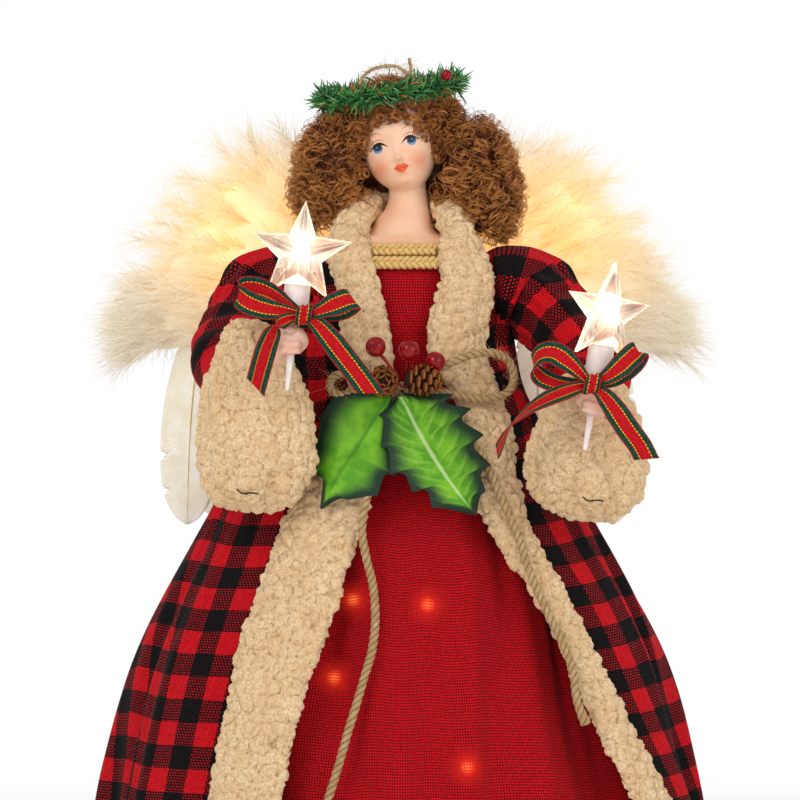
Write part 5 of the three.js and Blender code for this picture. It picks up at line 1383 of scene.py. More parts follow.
def add_hair_mass():
    parts = [ball(radii * 0.86, centre, 40, 28) for centre, radii in zip(LOCK_CENTRES, LOCK_RADII)]
    points, faces, normals = fused(parts)
    rough = 2.2 * nubs(points, 6.5, 21) + 0.9 * nubs(points, 2.8, 22)
    points = points + normals * (rough - 1.5)[:, None]
    local = to_face(points)
    share = face_share(points, 3)
    inward = ease((1.12 - share) / 0.2)
    local[:, 1] = lerp(local[:, 1], np.maximum(local[:, 1], 4.0), inward)
    points = from_face(local)
    points[:, 1] = np.where(under_hem(points - (0, 0, 3)), 12, points[:, 1])
    # The mass gets the lowest tones: painted shade deep inside the wig.
    add_piece("wig_shade_mass", points, faces, hair_finish, "doll", "curly_hair", tone=0.05 + 0.05 * rough,
              slot="hair")


# %% Ringlets
RINGLET_STEPS = 26
FIBRES_PER_RINGLET = 6
FIBRE_RADIUS = 0.135


def ringlet_roots(count, spin):
    """Random points all over the wig's outside, none in front of the face."""
    area = LOCK_RADII.prod(1) ** 0.66
    lock = spin.choice(len(LOCK_CENTRES), count * 6, p=area / area.sum())
    points = LOCK_CENTRES[lock] + LOCK_RADII[lock] * unit(spin.normal(size=(count * 6, 3)))
    depth, _ = wig_depth(points)
    keep = (depth > -1.2) & (face_share(points, 1.5) > 1) & (points[:, 2] > 322) & ~under_hem(points)
    return points[keep][:count]


RINGLET_FALL = 0.9


def ringlet_axes(roots, length, spin):
    """Paths that wander downwards over the wig: each step mixes falling, spreading and a slow random turn."""
    place = roots
    drift = unit(spin.normal(size=roots.shape))
    path = [place]
    step = length[:, None] / RINGLET_STEPS
    for _ in range(RINGLET_STEPS):
        depth, outward = wig_depth(place)
        drift = unit(drift + 0.25 * spin.normal(size=roots.shape))
        heading = unit(drift * 0.9 + np.array([0, 0, -RINGLET_FALL])
                       + outward * (0.2 - 0.35 * depth)[:, None])
        follow = np.where((face_share(place, 3.0) < 1)[:, None], outward * (1, 0, 0) + (0, 0.8, 0), 0)
        place = place + step * unit(heading + 1.6 * follow)
        path.append(place)
    return np.stack(path, 1)


def fibres_round(axes, spin, per, radius, turns, steps):
    """Helices round the axes: radius r, several turns each, and a phase that differs from fibre to fibre."""
    axes = np.repeat(axes, per, 0)
    count = len(axes)
    share = np.linspace(0, 1, steps)
    low = np.minimum((share * (axes.shape[1] - 1)).astype(int), axes.shape[1] - 2)
    rest = (share * (axes.shape[1] - 1) - low)[None, :, None]
    line = axes[:, low] * (1 - rest) + axes[:, low + 1] * rest
    _, first, second = path_frames(line)
    ringlet = np.repeat(spin.random((count // per, 3)), per, 0)
    own = spin.random((count, 3))
    size = radius * (0.4 + 0.8 * ringlet[:, :1] + 0.55 * own[:, :1])
    size = size * (0.55 + 0.45 * np.sin(math.pi * share) ** 0.5)
    wander = 0.5 * np.sin(share * 11 + 9 * own[:, 1:2])
    side = np.where(ringlet[:, 1:2] > 0.5, 1, -1)
    angle = side * (FULL_TURN * turns * (0.75 + 0.5 * ringlet[:, 2:]) * share
                    + 6 * ringlet[:, :1] + 2.6 * own[:, 2:])
    angle = angle + wander
    around = first * np.cos(angle)[..., None] + second * np.sin(angle)[..., None]
    return line + size[..., None] * around, ringlet


def add_curls(name, count, seed, length, per=FIBRES_PER_RINGLET, radius=2.5, turns=3.4, steps=20, lift=-1.2):
    spin = np.random.default_rng(seed)
    roots = ringlet_roots(count, spin)
    _, outward = wig_depth(roots)
    axes = ringlet_axes(roots + outward * lift, length * (0.6 + 0.8 * spin.random(len(roots))), spin)
    paths, ringlet = fibres_round(axes, spin, per, radius, turns, steps)
    depth, _ = wig_depth(paths)
    blocked = ((face_share(paths, -0.5) < 0.97).mean(1) > 0.1) | (under_hem(paths).mean(1) > 0.3)
    paths, depth, ringlet = paths[~blocked], depth[~blocked], ringlet[~blocked]
    thick = FIBRE_RADIUS * (1 - 0.5 * np.linspace(0, 1, steps)[None] ** 3)
    points, faces = strands(paths, thick)
    # Painted shade: fibres that lie deeper inside the wig get a lower tone and a darker colour; the rest of
    # the tone is random per ringlet and per fibre.
    shade = 0.42 + 0.085 * depth + 0.3 * ringlet[:, :1] + 0.2 * spin.random((len(paths), 1))
    tone = np.concatenate([np.repeat(shade, 3, 1), shade[:, :1], shade[:, -1:]], 1)
    faces = as_triangles(faces)
    add_piece(name, points, faces, hair_finish, "doll", "curly_hair", tone=np.clip(tone, 0, 1.2),
        slot="hair")
    print(name, len(paths), "fibres", len(faces), "faces")


add_hair_mass()
for group in range(4):
    add_curls(f"ringlets_{group + 1}", 155, 60 + group, 16)
add_curls("fine_curls", 500, 71, 9, per=2, radius=1.7, turns=2.6, steps=15, lift=0.2)
add_curls("flyaway_curls", 900, 72, 14, per=1, radius=3.1, turns=2.2, steps=16, lift=3.2)

# %% The fringe
FRINGE_COUNT = 74


def add_fringe():
    """Short loops that hang over the hairline: they start along the top half of the face's oval."""
    spin = np.random.default_rng(77)
    x, z, wide, tall = FACE_OVAL
    turn = np.linspace(-1.75, 1.75, FRINGE_COUNT) + spin.normal(0, 0.05, FRINGE_COUNT)
    row = 1.1 + 0.26 * (np.arange(FRINGE_COUNT) % 2) * np.cos(turn / 2)
    root = np.stack([
        x + wide * row * np.sin(turn), np.zeros(FRINGE_COUNT), z + tall * row * np.cos(turn)], -1)
    bulge = np.clip(1.02 - (root[:, 0] / 21) ** 2 - (root[:, 2] / 30) ** 2, 0.05, 1)
    root[:, 1] = -HEAD_HALF[1] * np.sqrt(bulge) - 1.6
    middle = np.array([x, -17.0, z])
    reach = (0.06 + 0.2 * spin.random(FRINGE_COUNT))[:, None]
    curve = np.linspace(0, 1, RINGLET_STEPS + 1)[None, :, None]
    end = lerp(root, middle, reach) + (0, -3.2, 0)
    sway = np.array([1.0, 0, 0.3]) * (spin.normal(0, 3.0, FRINGE_COUNT)[:, None, None]
        * np.sin(math.pi * curve))
    axes = from_face(lerp(root[:, None], end[:, None], curve) + sway)
    paths, ringlet = fibres_round(axes, spin, 8, 1.8, 2.2, 20)
    points, faces = strands(paths, FIBRE_RADIUS * 0.9)
    tone = np.repeat(0.5 + 0.35 * ringlet[:, :1], 20 * 3 + 2, 1)
    add_piece("fringe_curls", points, as_triangles(faces), hair_finish, "doll", "curly_hair", tone=tone,
        slot="hair")


add_fringe()

# %% [markdown]
# ## Candles and star caps
# Each candle is one turned piece of white plastic: a thin stem through the fist and a wide tube above
# it. The star is clear acrylic, ten flat facets on either side, pushed over the tube. A facet could be
# painted bright along its edges by hand, but the place of every edge follows from the star's own
# formula, so the finish works them out from the place in the star's plane, kept as its UV.

# %% Turned pieces and carved bodies
CANDLE = {"stem": 1.8, "tube": 6.3, "neck": 3.7, "foot": 7.85, "top": 33.2, "stem_tip": -24.5}
BULB_FOOT, BULB_HEIGHT, BULB_RADIUS = 38.55, 13, 2.5
CREASE_ANGLE = 0.6


def turned(profile, columns=56):
    """A closed turned piece from rows of radius and height; a fan closes each end."""
    rows = np.array(profile, float)
    turn = FULL_TURN * np.arange(columns)[None] / columns
    radius, height = rows[:, :1], rows[:, 1:]
    return closed_rings(np.stack([radius * np.cos(turn), radius * np.sin(turn), height + 0 * turn], -1))


def blank_object(part):
    blank = bpy.data.objects.new("blank", mesh_from("blank", *part)[0])
    bpy.context.scene.collection.objects.link(blank)
    return blank


def carved(body, joined=(), removed=(), ease_edges=0.0):
    """Points and triangles of a closed part with eased edges, other parts joined on, and others cut away."""
    whole = blank_object(body)
    if ease_edges:
        bevel = whole.modifiers.new("eased", "BEVEL")
        bevel.width, bevel.segments, bevel.limit_method, bevel.angle_limit = ease_edges * MM, 2, "ANGLE", 0.15
    helpers = []
    for operation, parts in (("UNION", joined), ("DIFFERENCE", removed)):
        for part in parts:
            helper = blank_object(part)
            helpers.append(helper)
            step = whole.modifiers.new(operation, "BOOLEAN")
            step.operation, step.object, step.solver = operation, helper, "EXACT"
    made = whole.evaluated_get(bpy.context.evaluated_depsgraph_get()).to_mesh()
    made.calc_loop_triangles()
    points = np.array([corner.co for corner in made.vertices]) / MM
    triangles = np.array([triangle.vertices for triangle in made.loop_triangles])
    for blank in (whole, *helpers):
        bpy.data.objects.remove(blank)
    return points, triangles


def keep_creases(piece, angle=CREASE_ANGLE):
    """Shades smooth except across edges that turn by more than the angle."""
    piece.data.set_sharp_from_angle(angle=angle)


# %% Star cap
STAR_LIFT, STAR_RADIUS, STAR_INNER = 41.914, 25.5, 10.965
STAR_HALF_THICKNESS, STAR_RIM = 9, 1.17
STAR_EASE = 0.35
COLLAR_RADIUS, COLLAR_FOOT, COLLAR_TOP = 8.18, -15.3, -4.46
MOUTH_RADIUS, MOUTH_SEAT, BORE_RADIUS, BORE_TOP = 6.65, -8.36, 4.3, 10.2
POINT_TURN = FULL_TURN / 5


def star_body():
    """Two apexes and a rim of ten corners, each corner twice, in front and behind."""
    turn = math.pi / 2 + FULL_TURN * np.arange(10) / 10
    radius = np.where(np.arange(10) % 2 == 0, STAR_RADIUS, STAR_INNER)
    rim = [np.stack([radius * np.cos(turn), np.full(10, side * STAR_RIM), radius * np.sin(turn)], -1)
           for side in (-1, 1)]
    points = np.vstack([*rim, [(0, -STAR_HALF_THICKNESS, 0), (0, STAR_HALF_THICKNESS, 0)]])
    here, beside = np.arange(10), (np.arange(10) + 1) % 10
    fans = [np.stack([np.full(10, 20), here, beside], -1),
        np.stack([np.full(10, 21), beside + 10, here + 10], -1)]
    return points, [np.stack([here, here + 10, beside + 10, beside], -1), np.concatenate(fans)]


def make_acrylic_finish(name, lamp):
    """Clear, with painted highlights on the ridges and the rim, a painted glow near the lamp and painted
    reflections.

    With s the angle from the nearest notch and r the reach, the valley is r sin(s) away, the ridge is
    r sin(36 degrees - s) away, and the rim is where a point leaves the line from tip to notch.
    """
    finish = Finish(name, tint("fff3e2"), 0.04, Transmission_Weight=0.82, IOR=1.49, Coat_Weight=0.6)
    u, v, _ = finish.axes(finish.place("UV"))
    reach = (u * u + v * v).power(0.5)
    turned_by = finish.math("ARCTAN2", u, v) / POINT_TURN
    from_notch = (turned_by.fract() - 0.5).abs() * POINT_TURN
    from_ridge = from_notch * -1 + POINT_TURN / 2
    across, down = STAR_INNER * math.sin(POINT_TURN / 2), STAR_RADIUS - STAR_INNER * math.cos(POINT_TURN / 2)
    long = math.hypot(across, down)
    inside = (reach * from_ridge.sin() * (down / long)
              + reach * finish.math("COSINE", from_ridge) * (across / long))
    rim = (inside * -1 + STAR_RADIUS * across / long * MM).ramp(0.3 * MM, 1.5 * MM)
    ridge = (reach * from_ridge.sin()).ramp(0.15 * MM, 0.8 * MM)
    valley = (reach * from_notch.sin()).ramp(0.1 * MM, 0.6 * MM)
    edges = (1 - rim).most((1 - ridge) * 0.55).most((1 - valley) * 0.5)
    place = finish.node("ShaderNodeCombineXYZ", {"X": turned_by * 9, "Y": reach * 55})[0]
    streak = Wire(finish, finish.node("ShaderNodeTexNoise", {"Vector": Wire(finish, place), "Scale": 1.6,
                                                             "Detail": 3.0})["Fac"]).ramp(0.5, 0.7)
    facet = Wire(finish, finish.node("ShaderNodeTexWhiteNoise", {
        "W": finish.math("FLOOR", turned_by * 2)}, noise_dimensions="1D")["Value"])
    x, y, z = (place - float(middle * MM) for place, middle in zip(finish.axes(finish.place()), lamp))
    near = 1 - (x * x + y * y * 0.3 + z * z * 0.55).power(0.5).ramp(1.5 * MM, 15 * MM)
    # Painted reflection: facets darken at random towards orange-brown, as if refracting darker things; less
    # so on the edges and near the lamp.
    finish.two_tones((1 - edges) * (facet * 0.5 + 0.25) * (1 - near), "fff6ea", "dda78c")
    # Painted light: bright edges, a glow round the lamp and faint streaks, given as emission.
    finish.set("Emission Color", finish.mix((edges + near).held(), tint("ffc386"), tint("fff2da")))
    glow = edges * 0.3 + near.power(2) * 0.5 + streak * (near * 0.25 + 0.05) + facet * 0.03
    return finish.set("Emission Strength", glow)


def place_star(name, points):
    """From the star's own frame to the doll's: a turn about its axis, a lift, and the fist's lean."""
    yaw = ARMS[name]["star_yaw"]
    x, y, z = np.moveaxis(np.asarray(points, float), -1, 0)
    return in_fist(name, np.stack([x * math.cos(yaw) - y * math.sin(yaw),
                                   x * math.sin(yaw) + y * math.cos(yaw), z + STAR_LIFT], -1))


def make_candle_finish():
    """White plastic that the lamp warms from above: it lets a little light through."""
    finish = Finish("candle_plastic", tint("f3e4df"), 0.35, Subsurface_Weight=0.25, Subsurface_Scale=0.004)
    shade = finish.noise(7, detail=1).ramp(0.3, 0.7)
    finish.two_tones(shade, "efdcd8", "f8efe9")
    return finish


def make_lamp_finish(name, strength):
    """Warm white, glowing evenly."""
    finish = Finish(name, tint("ffe0ae"), 0.15, Emission_Color=(*tint("ffd591"), 1),
        Emission_Strength=strength)
    return finish


candle_finish = make_candle_finish()
lamp_finish = make_lamp_finish("lit_bulb", 1.6)


def add_candle(name):
    """The turned candle, its bulb, and the star cap over both."""
    c = CANDLE
    profile = [(0.5, c["stem_tip"]), (1.1, c["stem_tip"] + 0.3), (1.35, -18), (c["stem"], -8),
               (c["stem"], 7.3), (c["stem"], c["foot"]), (5.7, c["foot"]),
               (c["tube"], c["foot"] + 0.6), (c["tube"], c["top"] - 0.5),
               (c["tube"] - 0.5, c["top"]), (c["neck"], c["top"]), (c["neck"], c["top"] + 4.6),
               (c["neck"] - 0.4, c["top"] + 5), (0.8, c["top"] + 5)]
    points, faces = turned(profile)
    socket = add_piece(f"{name}_candle", in_fist(name, points), faces, candle_finish, f"{name}_candle",
                       f"{name}_candle_socket", slot="white_plastic")
    keep_creases(socket)
    shares = [(0.55, 0), (0.85, 0.02), (1, 0.12), (1, 0.62), (0.9, 0.8), (0.62, 0.93), (0.2, 0.995)]
    points, faces = turned([(BULB_RADIUS * out, BULB_FOOT + BULB_HEIGHT * up) for out, up in shares], 32)
    add_piece(f"{name}_lamp", in_fist(name, points), faces, lamp_finish, f"{name}_candle",
              f"{name}_star_bulb",
              slot="bulb_glass")
    collar = turned([(COLLAR_RADIUS, COLLAR_FOOT), (COLLAR_RADIUS, COLLAR_TOP)])
    mouth = turned([(MOUTH_RADIUS, COLLAR_FOOT - 1), (MOUTH_RADIUS, MOUTH_SEAT), (BORE_RADIUS, MOUTH_SEAT),
                    (BORE_RADIUS * 0.8, BORE_TOP * 0.86), (0.5, BORE_TOP)])
    points, faces = carved(star_body(), [collar], [mouth], STAR_EASE)
    lamp = in_fist(name, [(0, 0, BULB_FOOT + BULB_HEIGHT / 2)])[0]
    finish = make_acrylic_finish(f"{name}_star_acrylic", lamp)
    placed = place_star(name, points)
    star = add_piece(f"{name}_star", placed, faces, finish, f"{name}_star", f"{name}_star_cap",
                     uv=points[:, [0, 2]] * MM, slot="acrylic")
    keep_creases(star, 0.35)
    print(star.name, len(faces), "triangles")


for arm_name in ARMS:
    add_candle(arm_name)

# %% [markdown]
# ## Ribbon bows
# A grosgrain ribbon is tied round each candle: two loops, two tails, and a band across the knot. Every
# strip is a smooth curve of middles with a direction across it, both chosen from the picture,
# and a share of its full width, because a ribbon gathers where the knot pinches it. The stripes run
# along the cloth, so the finish reads them from the distance across, and its ribs from the distance
# along. The reverse shows hardly any yellow, which `tone` tells the finish strip by strip.

# %% Grosgrain
RIBBON_WIDTH = 11.5
RIB_PITCH = 0.95
STRIPES = {"edge": 0.42, "green": 2.75, "yellow": 3.2}
STITCH_PITCH = 1.7


def make_ribbon_finish():
    """Red edge, green band, yellow dashes and red middle, by distance from the nearer edge."""
    finish = Finish("grosgrain", rough=0.8, Specular_IOR_Level=0.15, Sheen_Weight=0.04, Sheen_Roughness=0.4)
    u, v, _ = finish.axes(finish.place("UV"))
    half = RIBBON_WIDTH / 2 * MM
    slip = (finish.noise(2.5, source="UV") - 0.5) * (0.35 * MM)
    inward = (u - half).abs() * -1 + half + slip
    green = inward.above(STRIPES["edge"] * MM) * (1 - inward.above(STRIPES["green"] * MM))
    band = inward.above(STRIPES["green"] * MM) * (1 - inward.above(STRIPES["yellow"] * MM))
    stitch = (v / (STITCH_PITCH * MM)).fract().above(0.4)
    yellow = band * (stitch * finish.attribute("tone") + (1 - finish.attribute("tone")) * 0.35)
    rib = (v * (math.pi / (RIB_PITCH * MM))).sin().abs()
    shade = finish.noise(1.4, source="UV").ramp(0.3, 0.75)
    red = finish.mix(shade, tint("b00914"), tint("dd1620"))
    dark = finish.mix(shade, tint("0c3128"), tint("1d5a45"))
    color = finish.mix(green, red, dark)
    color = finish.mix(yellow, color, tint("f2cf1d"))
    # Painted shade: the grooves between the ribs are darkened towards near-black red.
    finish.set("Base Color", finish.mix(rib.ramp(0.0, 0.7), finish.mix(0.6, color, tint("1a0505")), color))
    return finish.bump(rib, 0.16, 0.9)


ribbon_finish = make_ribbon_finish()

# %% Strips of the two bows
KNOTS = {"left": (4.6, -11.2, 12.4), "right": (-2.0, -11.2, 7.4)}
BOW_STRIPS = {  # rows: across, forward, up, direction across the ribbon, share of the full width
    "left": {
        "left_loop": [
            (3.2, -11.5, 12.6, 0, 0, 1, 0.32), (-4.5, -12, 13.2, 0, 0, 1, 0.62),
            (-14, -11, 13.5, 0, 0, 1, 0.9),
            (-22.5, -9.6, 15.6, 0, 0.1, 1, 1), (-27.2, -6, 19, 0, 0.15, 1, 1),
            (-25, -2.5, 22.6, 0, 0.1, 1, 1),
            (-17.5, -1.8, 22.8, 0.1, 0, 1, 0.92), (-9.5, -4.5, 20, 0.2, 0, 1, 0.78),
            (-2, -9.6, 16, 0.3, 0, 1, 0.5),
            (3, -10.6, 13.2, 0.2, 0, 1, 0.3)],
        "right_loop": [
            (6, -11.5, 12.7, -0.2, 0, 1, 0.32), (12, -14, 15, -0.45, 0.1, 0.88, 0.66),
            (19, -14, 19, -0.6, 0.1, 0.78, 1), (25.2, -11.8, 22, -0.69, 0.1, 0.72, 1),
            (27.6, -8.3, 21.6, -0.69, 0.1, 0.72, 1), (23, -7.2, 17.4, -0.6, 0.2, 0.75, 0.95),
            (14, -8.6, 14.2, -0.4, 0.2, 0.85, 0.7), (7, -10.6, 12.4, -0.2, 0, 1, 0.32)],
        "left_tail": [
            (3.2, -11.4, 11.4, 0.3, 0, 1, 0.32), (-3, -13.6, 9.6, 0.5, 0.1, 0.8, 0.62),
            (-8, -14, 5, 0.85, 0.3, 0.45, 0.92), (-11, -13, -3, 0.9, 0.45, 0.15, 1),
            (-13.2, -12, -13, 0.9, 0.45, 0.2, 1), (-15, -11, -24.5, 0.9, 0.4, 0.2, 1)],
        "right_tail": [
            (5.8, -11.5, 11.6, 0.8, 0, 0.5, 0.36), (11.5, -14.6, 8.4, 0.8, 0.1, 0.6, 0.82),
            (17, -15, 3.4, 0.74, 0.1, 0.67, 1), (26, -14.5, -6, 0.72, 0.05, 0.69, 1),
            (34, -13.5, -14.5, 0.72, 0.1, 0.69, 1), (40.5, -12.5, -22, 0.72, 0.15, 0.69, 1)],
        "band": [
            (-15, 1.5, 18, 0.35, 0.2, 0.9, 0.7), (-8, 6.6, 12.4, 0.3, 0.1, 0.9, 0.6),
            (2, 8.6, 9.6, 0.2, 0, 1, 0.6), (11, 6, 10.4, 0.2, -0.1, 1, 0.6), (15, 0, 13, 0.1, -0.2, 1, 0.6)],
    },
    "right": {
        "left_loop": [
            (-4, -11.5, 8, 0.4, 0, 0.9, 0.32), (-9, -13.8, 12, 0.6, 0, 0.8, 0.66),
            (-16, -14.2, 16.5, 0.65, 0, 0.76, 1),
            (-23, -12.6, 19.3, 0.5, 0.1, 0.86, 1), (-29, -9, 17.4, 0.1, 0.3, 0.95, 1),
            (-31, -5, 12, -0.2, 0.5, 0.85, 1), (-26, -4, 6.6, 0.3, 0.5, 0.8, 0.9),
            (-16, -6.4, 4.8, 0.3, 0.4, 0.85, 0.7), (-5, -10.4, 6.8, 0, 0.1, 1, 0.32)],
        "right_loop": [
            (-0.6, -11.5, 8.2, -0.5, 0, 0.86, 0.32), (5, -13.8, 12.6, -0.75, 0.1, 0.65, 0.72),
            (10, -13.8, 18, -0.8, 0.1, 0.6, 1), (15.6, -11.6, 25, -0.86, 0.15, 0.5, 1),
            (17.6, -10.5, 26.2, -0.86, 0.15, 0.5, 1), (15.4, -10.2, 20.2, -0.8, 0.2, 0.6, 0.95),
            (8, -10.2, 12, -0.6, 0.1, 0.75, 0.7), (0.4, -10.8, 7.6, -0.3, 0, 0.9, 0.32)],
        "left_tail": [
            (-4, -11.2, 6.6, 0.2, 0.1, 0.95, 0.34), (-11, -13, 3.6, 0.2, 0.6, 0.7, 0.78),
            (-22, -12.6, -3, 0.2, 0.85, 0.45, 1), (-31, -11.6, -10.6, 0.35, 0.86, 0.3, 1),
            (-38, -10.8, -20, 0.42, 0.86, 0.2, 1), (-41.8, -10, -32, 0.42, 0.86, 0.15, 1)],
        "right_tail": [
            (-1, -11.5, 6.2, 0.8, 0, 0.6, 0.38), (4, -14.2, 3, 0.8, 0.1, 0.6, 0.82),
            (9.5, -14.6, -2, 0.78, 0.1, 0.6, 1), (18, -13.4, -11, 0.85, 0.1, 0.5, 1),
            (25, -12.4, -18, 0.9, 0.1, 0.42, 1), (29.5, -11.6, -24, 0.93, 0.1, 0.35, 1)],
    },
}
PLAIN_STRIPS = {("left", "left_tail"), ("right", "left_tail"), ("left", "band")}
STRIP_STEP, STRIP_COLUMNS = 0.8, 13
TAIL_SLANT = 0.16
KNOT_TILT = 0.32


def ribbon_strip(rows, yellow, slant=0.0):
    """One strip: middles plus the direction across times the width, cupped a little where it is pinched."""
    rows = np.array(rows, float)
    path, across, share = rows[:, :3], unit(rows[:, 3:6]), rows[:, 6]
    steps = max(20, int(path_length(path) / STRIP_STEP))
    line, lean = smooth_path(path, steps), unit(smooth_path(across, steps))
    tangent = unit(np.gradient(line, axis=0))
    lean = unit(lean - (lean * tangent).sum(-1, keepdims=True) * tangent)
    along = np.linspace(0, 1, steps)
    width = np.interp(along, np.linspace(0, 1, len(share)), share)
    side = np.linspace(-1, 1, STRIP_COLUMNS)[None]
    normal = np.cross(tangent, lean)
    pinch = (1 - width)[:, None]
    fold = pinch * 1.3 * np.cos(side * 2.4 * math.pi) + 0.25 * np.sin(9 * along + 1)[:, None] * side ** 2
    points = (line[:, None] + lean[:, None] * (width[:, None] * side * RIBBON_WIDTH / 2)[..., None]
              + normal[:, None] * fold[..., None])
    if slant:
        shift = slant * path_length(line) * ease((along - 0.5) / 0.5)[:, None] * side
        points = points + tangent[:, None] * shift[..., None] / 2
    u = (side + 1) / 2 * RIBBON_WIDTH * MM
    v = along[:, None] * path_length(line) * MM
    uv = np.stack(np.broadcast_arrays(u, v), -1)
    return points, uv, np.full(points.shape[:2], float(yellow))


def knot_strip(knot):
    """A closed strip wound once round the pinched middle, its width lying across the bow."""
    turn = np.linspace(0, FULL_TURN, 13)
    x, y, z = knot
    rows = [(x + 0.35 * math.sin(t), y - 3.9 * math.cos(t), z + 4.7 * math.sin(t), 1, 0, KNOT_TILT, 0.66)
        for t in turn]
    return ribbon_strip(rows, 1)


def add_bow(name):
    strips = []
    for strip_name, rows in BOW_STRIPS[name].items():
        slant = TAIL_SLANT * (1 if name == "left" else 0.7) if strip_name.endswith("tail") else 0.0
        strips.append(ribbon_strip(rows, (name, strip_name) not in PLAIN_STRIPS, slant))
    strips.append(knot_strip(KNOTS[name]))
    points, faces, uv, tone, start = [], [], [], [], 0
    for grid, place, shade in strips:
        points.append(grid.reshape(-1, 3))
        uv.append(place.reshape(-1, 2))
        tone.append(shade.ravel())
        faces.append(grid_faces(*grid.shape[:2], start=start))
        start += len(points[-1])
    points, uv, tone, faces = (np.concatenate(rows) for rows in (points, uv, tone, faces))
    bow = add_piece(f"{name}_grosgrain_bow", in_fist(name, points), faces, ribbon_finish, f"{name}_arm",
                    f"{name}_ribbon_bow", uv=uv, tone=tone, slot="ribbon")
    add_wall(bow, 0.45, 0)
    cloth_area(points, faces)


for arm_name in ARMS:
    add_bow(arm_name)

# %% [markdown]
# ## The cluster at the waist
# Two holly leaves of coated cloth lie on the coat, with two small pine cones, three berries on wire
# and a bow of jute over them. All follow the coat's own front, so one function gives the depth of any
# place on it. A leaf is a sheet between its midrib and its two edges; each edge runs from spine to
# spine with a bite between, and ripples between the side veins are in the mesh.

# %% The coat's front as a place to lie on
WAIST_CLUSTER = 244.5


def on_front(x, z, lift):
    """The depth of the coat's front at x and z, and a lift away from it."""
    width, front, _ = np.moveaxis(coat_size(np.asarray(z, float)) + CLOTH_GAP + FLEECE, -1, 0)
    return -(front + lift) * np.sqrt(np.clip(1 - (np.asarray(x) / (width + lift)) ** 2, 0.05, 1))


# %% Leaves
LEAVES = {
    "left": dict(
        lift=7.2, veins=0.12, rib_paint="2f6a1a",
        bites=((1, 0.8, 0.8, 0.6, 1.5, 1), (1, 1.4, 1.4, 5.5, 1.2, 2.5)),
        rib=[(-4.9, 243.5), (-8.5, 239), (-18.5, 222.5), (-30, 205), (-38.3, 189.4)],
        low=[(-10, 246), (-32.8, 244.7), (-39.4, 233), (-40.4, 219), (-46, 208), (-37.4, 205),
             (-38.3, 189.4)],
        high=[(-3.5, 242), (-5, 229), (-3.2, 217), (-1.4, 204.4), (-11.3, 195.1), (-25.3, 193.5),
              (-38.3, 189.4)]),
    "right": dict(
        lift=10.6, veins=1.0, rib_paint="cfe6a6", bites=((2, 3, 3, 6, 6, 2), (2, 7, 7.5, 7.5, 5, 2)),
        rib=[(0, 243.5), (2, 240.5), (10.2, 224.2), (21.2, 206.4), (29.3, 195.5), (36.6, 186.5)],
        low=[(-2.5, 243.5), (-10.6, 234), (-9, 219), (-5, 205.4), (6.3, 197), (16, 189.5), (36.6, 186.5)],
        high=[(3, 245.5), (26.6, 244.7), (34.8, 237.4), (41, 224.3), (43.8, 209.8), (41, 197),
              (36.6, 186.5)]),
}
LEAF_ROWS, LEAF_COLUMNS = 124, 49
LEAF_FOLD = 2.4
VEIN_COUNT, VEIN_DEPTH = 13, 0.55


def bitten_edge(spines, bites, rib, along):
    """The edge at each share along: straight between spines, less a bite towards the rib just past each."""
    spines = np.array(spines, float)
    place = along * (len(spines) - 1)
    low = np.minimum(place.astype(int), len(spines) - 2)
    t = (place - low)[:, None]
    straight = lerp(spines[low], spines[low + 1], t)
    bite = np.array(bites, float)[low][:, None] * (t ** 0.3) * (1 - t) ** 1.4 * 1.9
    return straight + unit(rib - straight) * bite


def make_leaf_finish(name, rib_paint):
    """Airbrushed from dark edges to a bright middle, with a painted line along the rib."""
    finish = Finish(f"{name}_coated_leaf", rough=0.5, Specular_IOR_Level=0.25, Coat_Weight=0.05,
        Coat_Roughness=0.4)
    u, v, _ = finish.axes(finish.place("UV"))
    away = u.abs()
    patch = finish.noise(9, detail=2)
    edge = away + (patch - 0.5) * 0.35 + (v - 0.45).abs().power(3) * 2.4 + v.ramp(0.86, 1.0) * 0.6
    edge = edge.ramp(0.36, 0.92)
    middle = finish.mix(patch.ramp(0.35, 0.65), tint("4f960f"), tint("74b51e"))
    color = finish.mix(edge, middle, tint("12301f"))
    vein = finish.attribute("tone")
    color = finish.mix(vein.ramp(0.6, 1.0) * (1 - edge) * 0.3, color, tint("9ccc62"))
    rib = 1 - (away - 0.01).ramp(0.0, 0.05)
    finish.set("Base Color", finish.mix(rib * (1 - (v - 0.8).ramp(0, 0.15)) * 0.6, color, tint(rib_paint)))
    weave = finish.noise(0.5, detail=2)
    return finish.bump(weave * 0.5 + vein * 0.5, 0.2, 0.6)


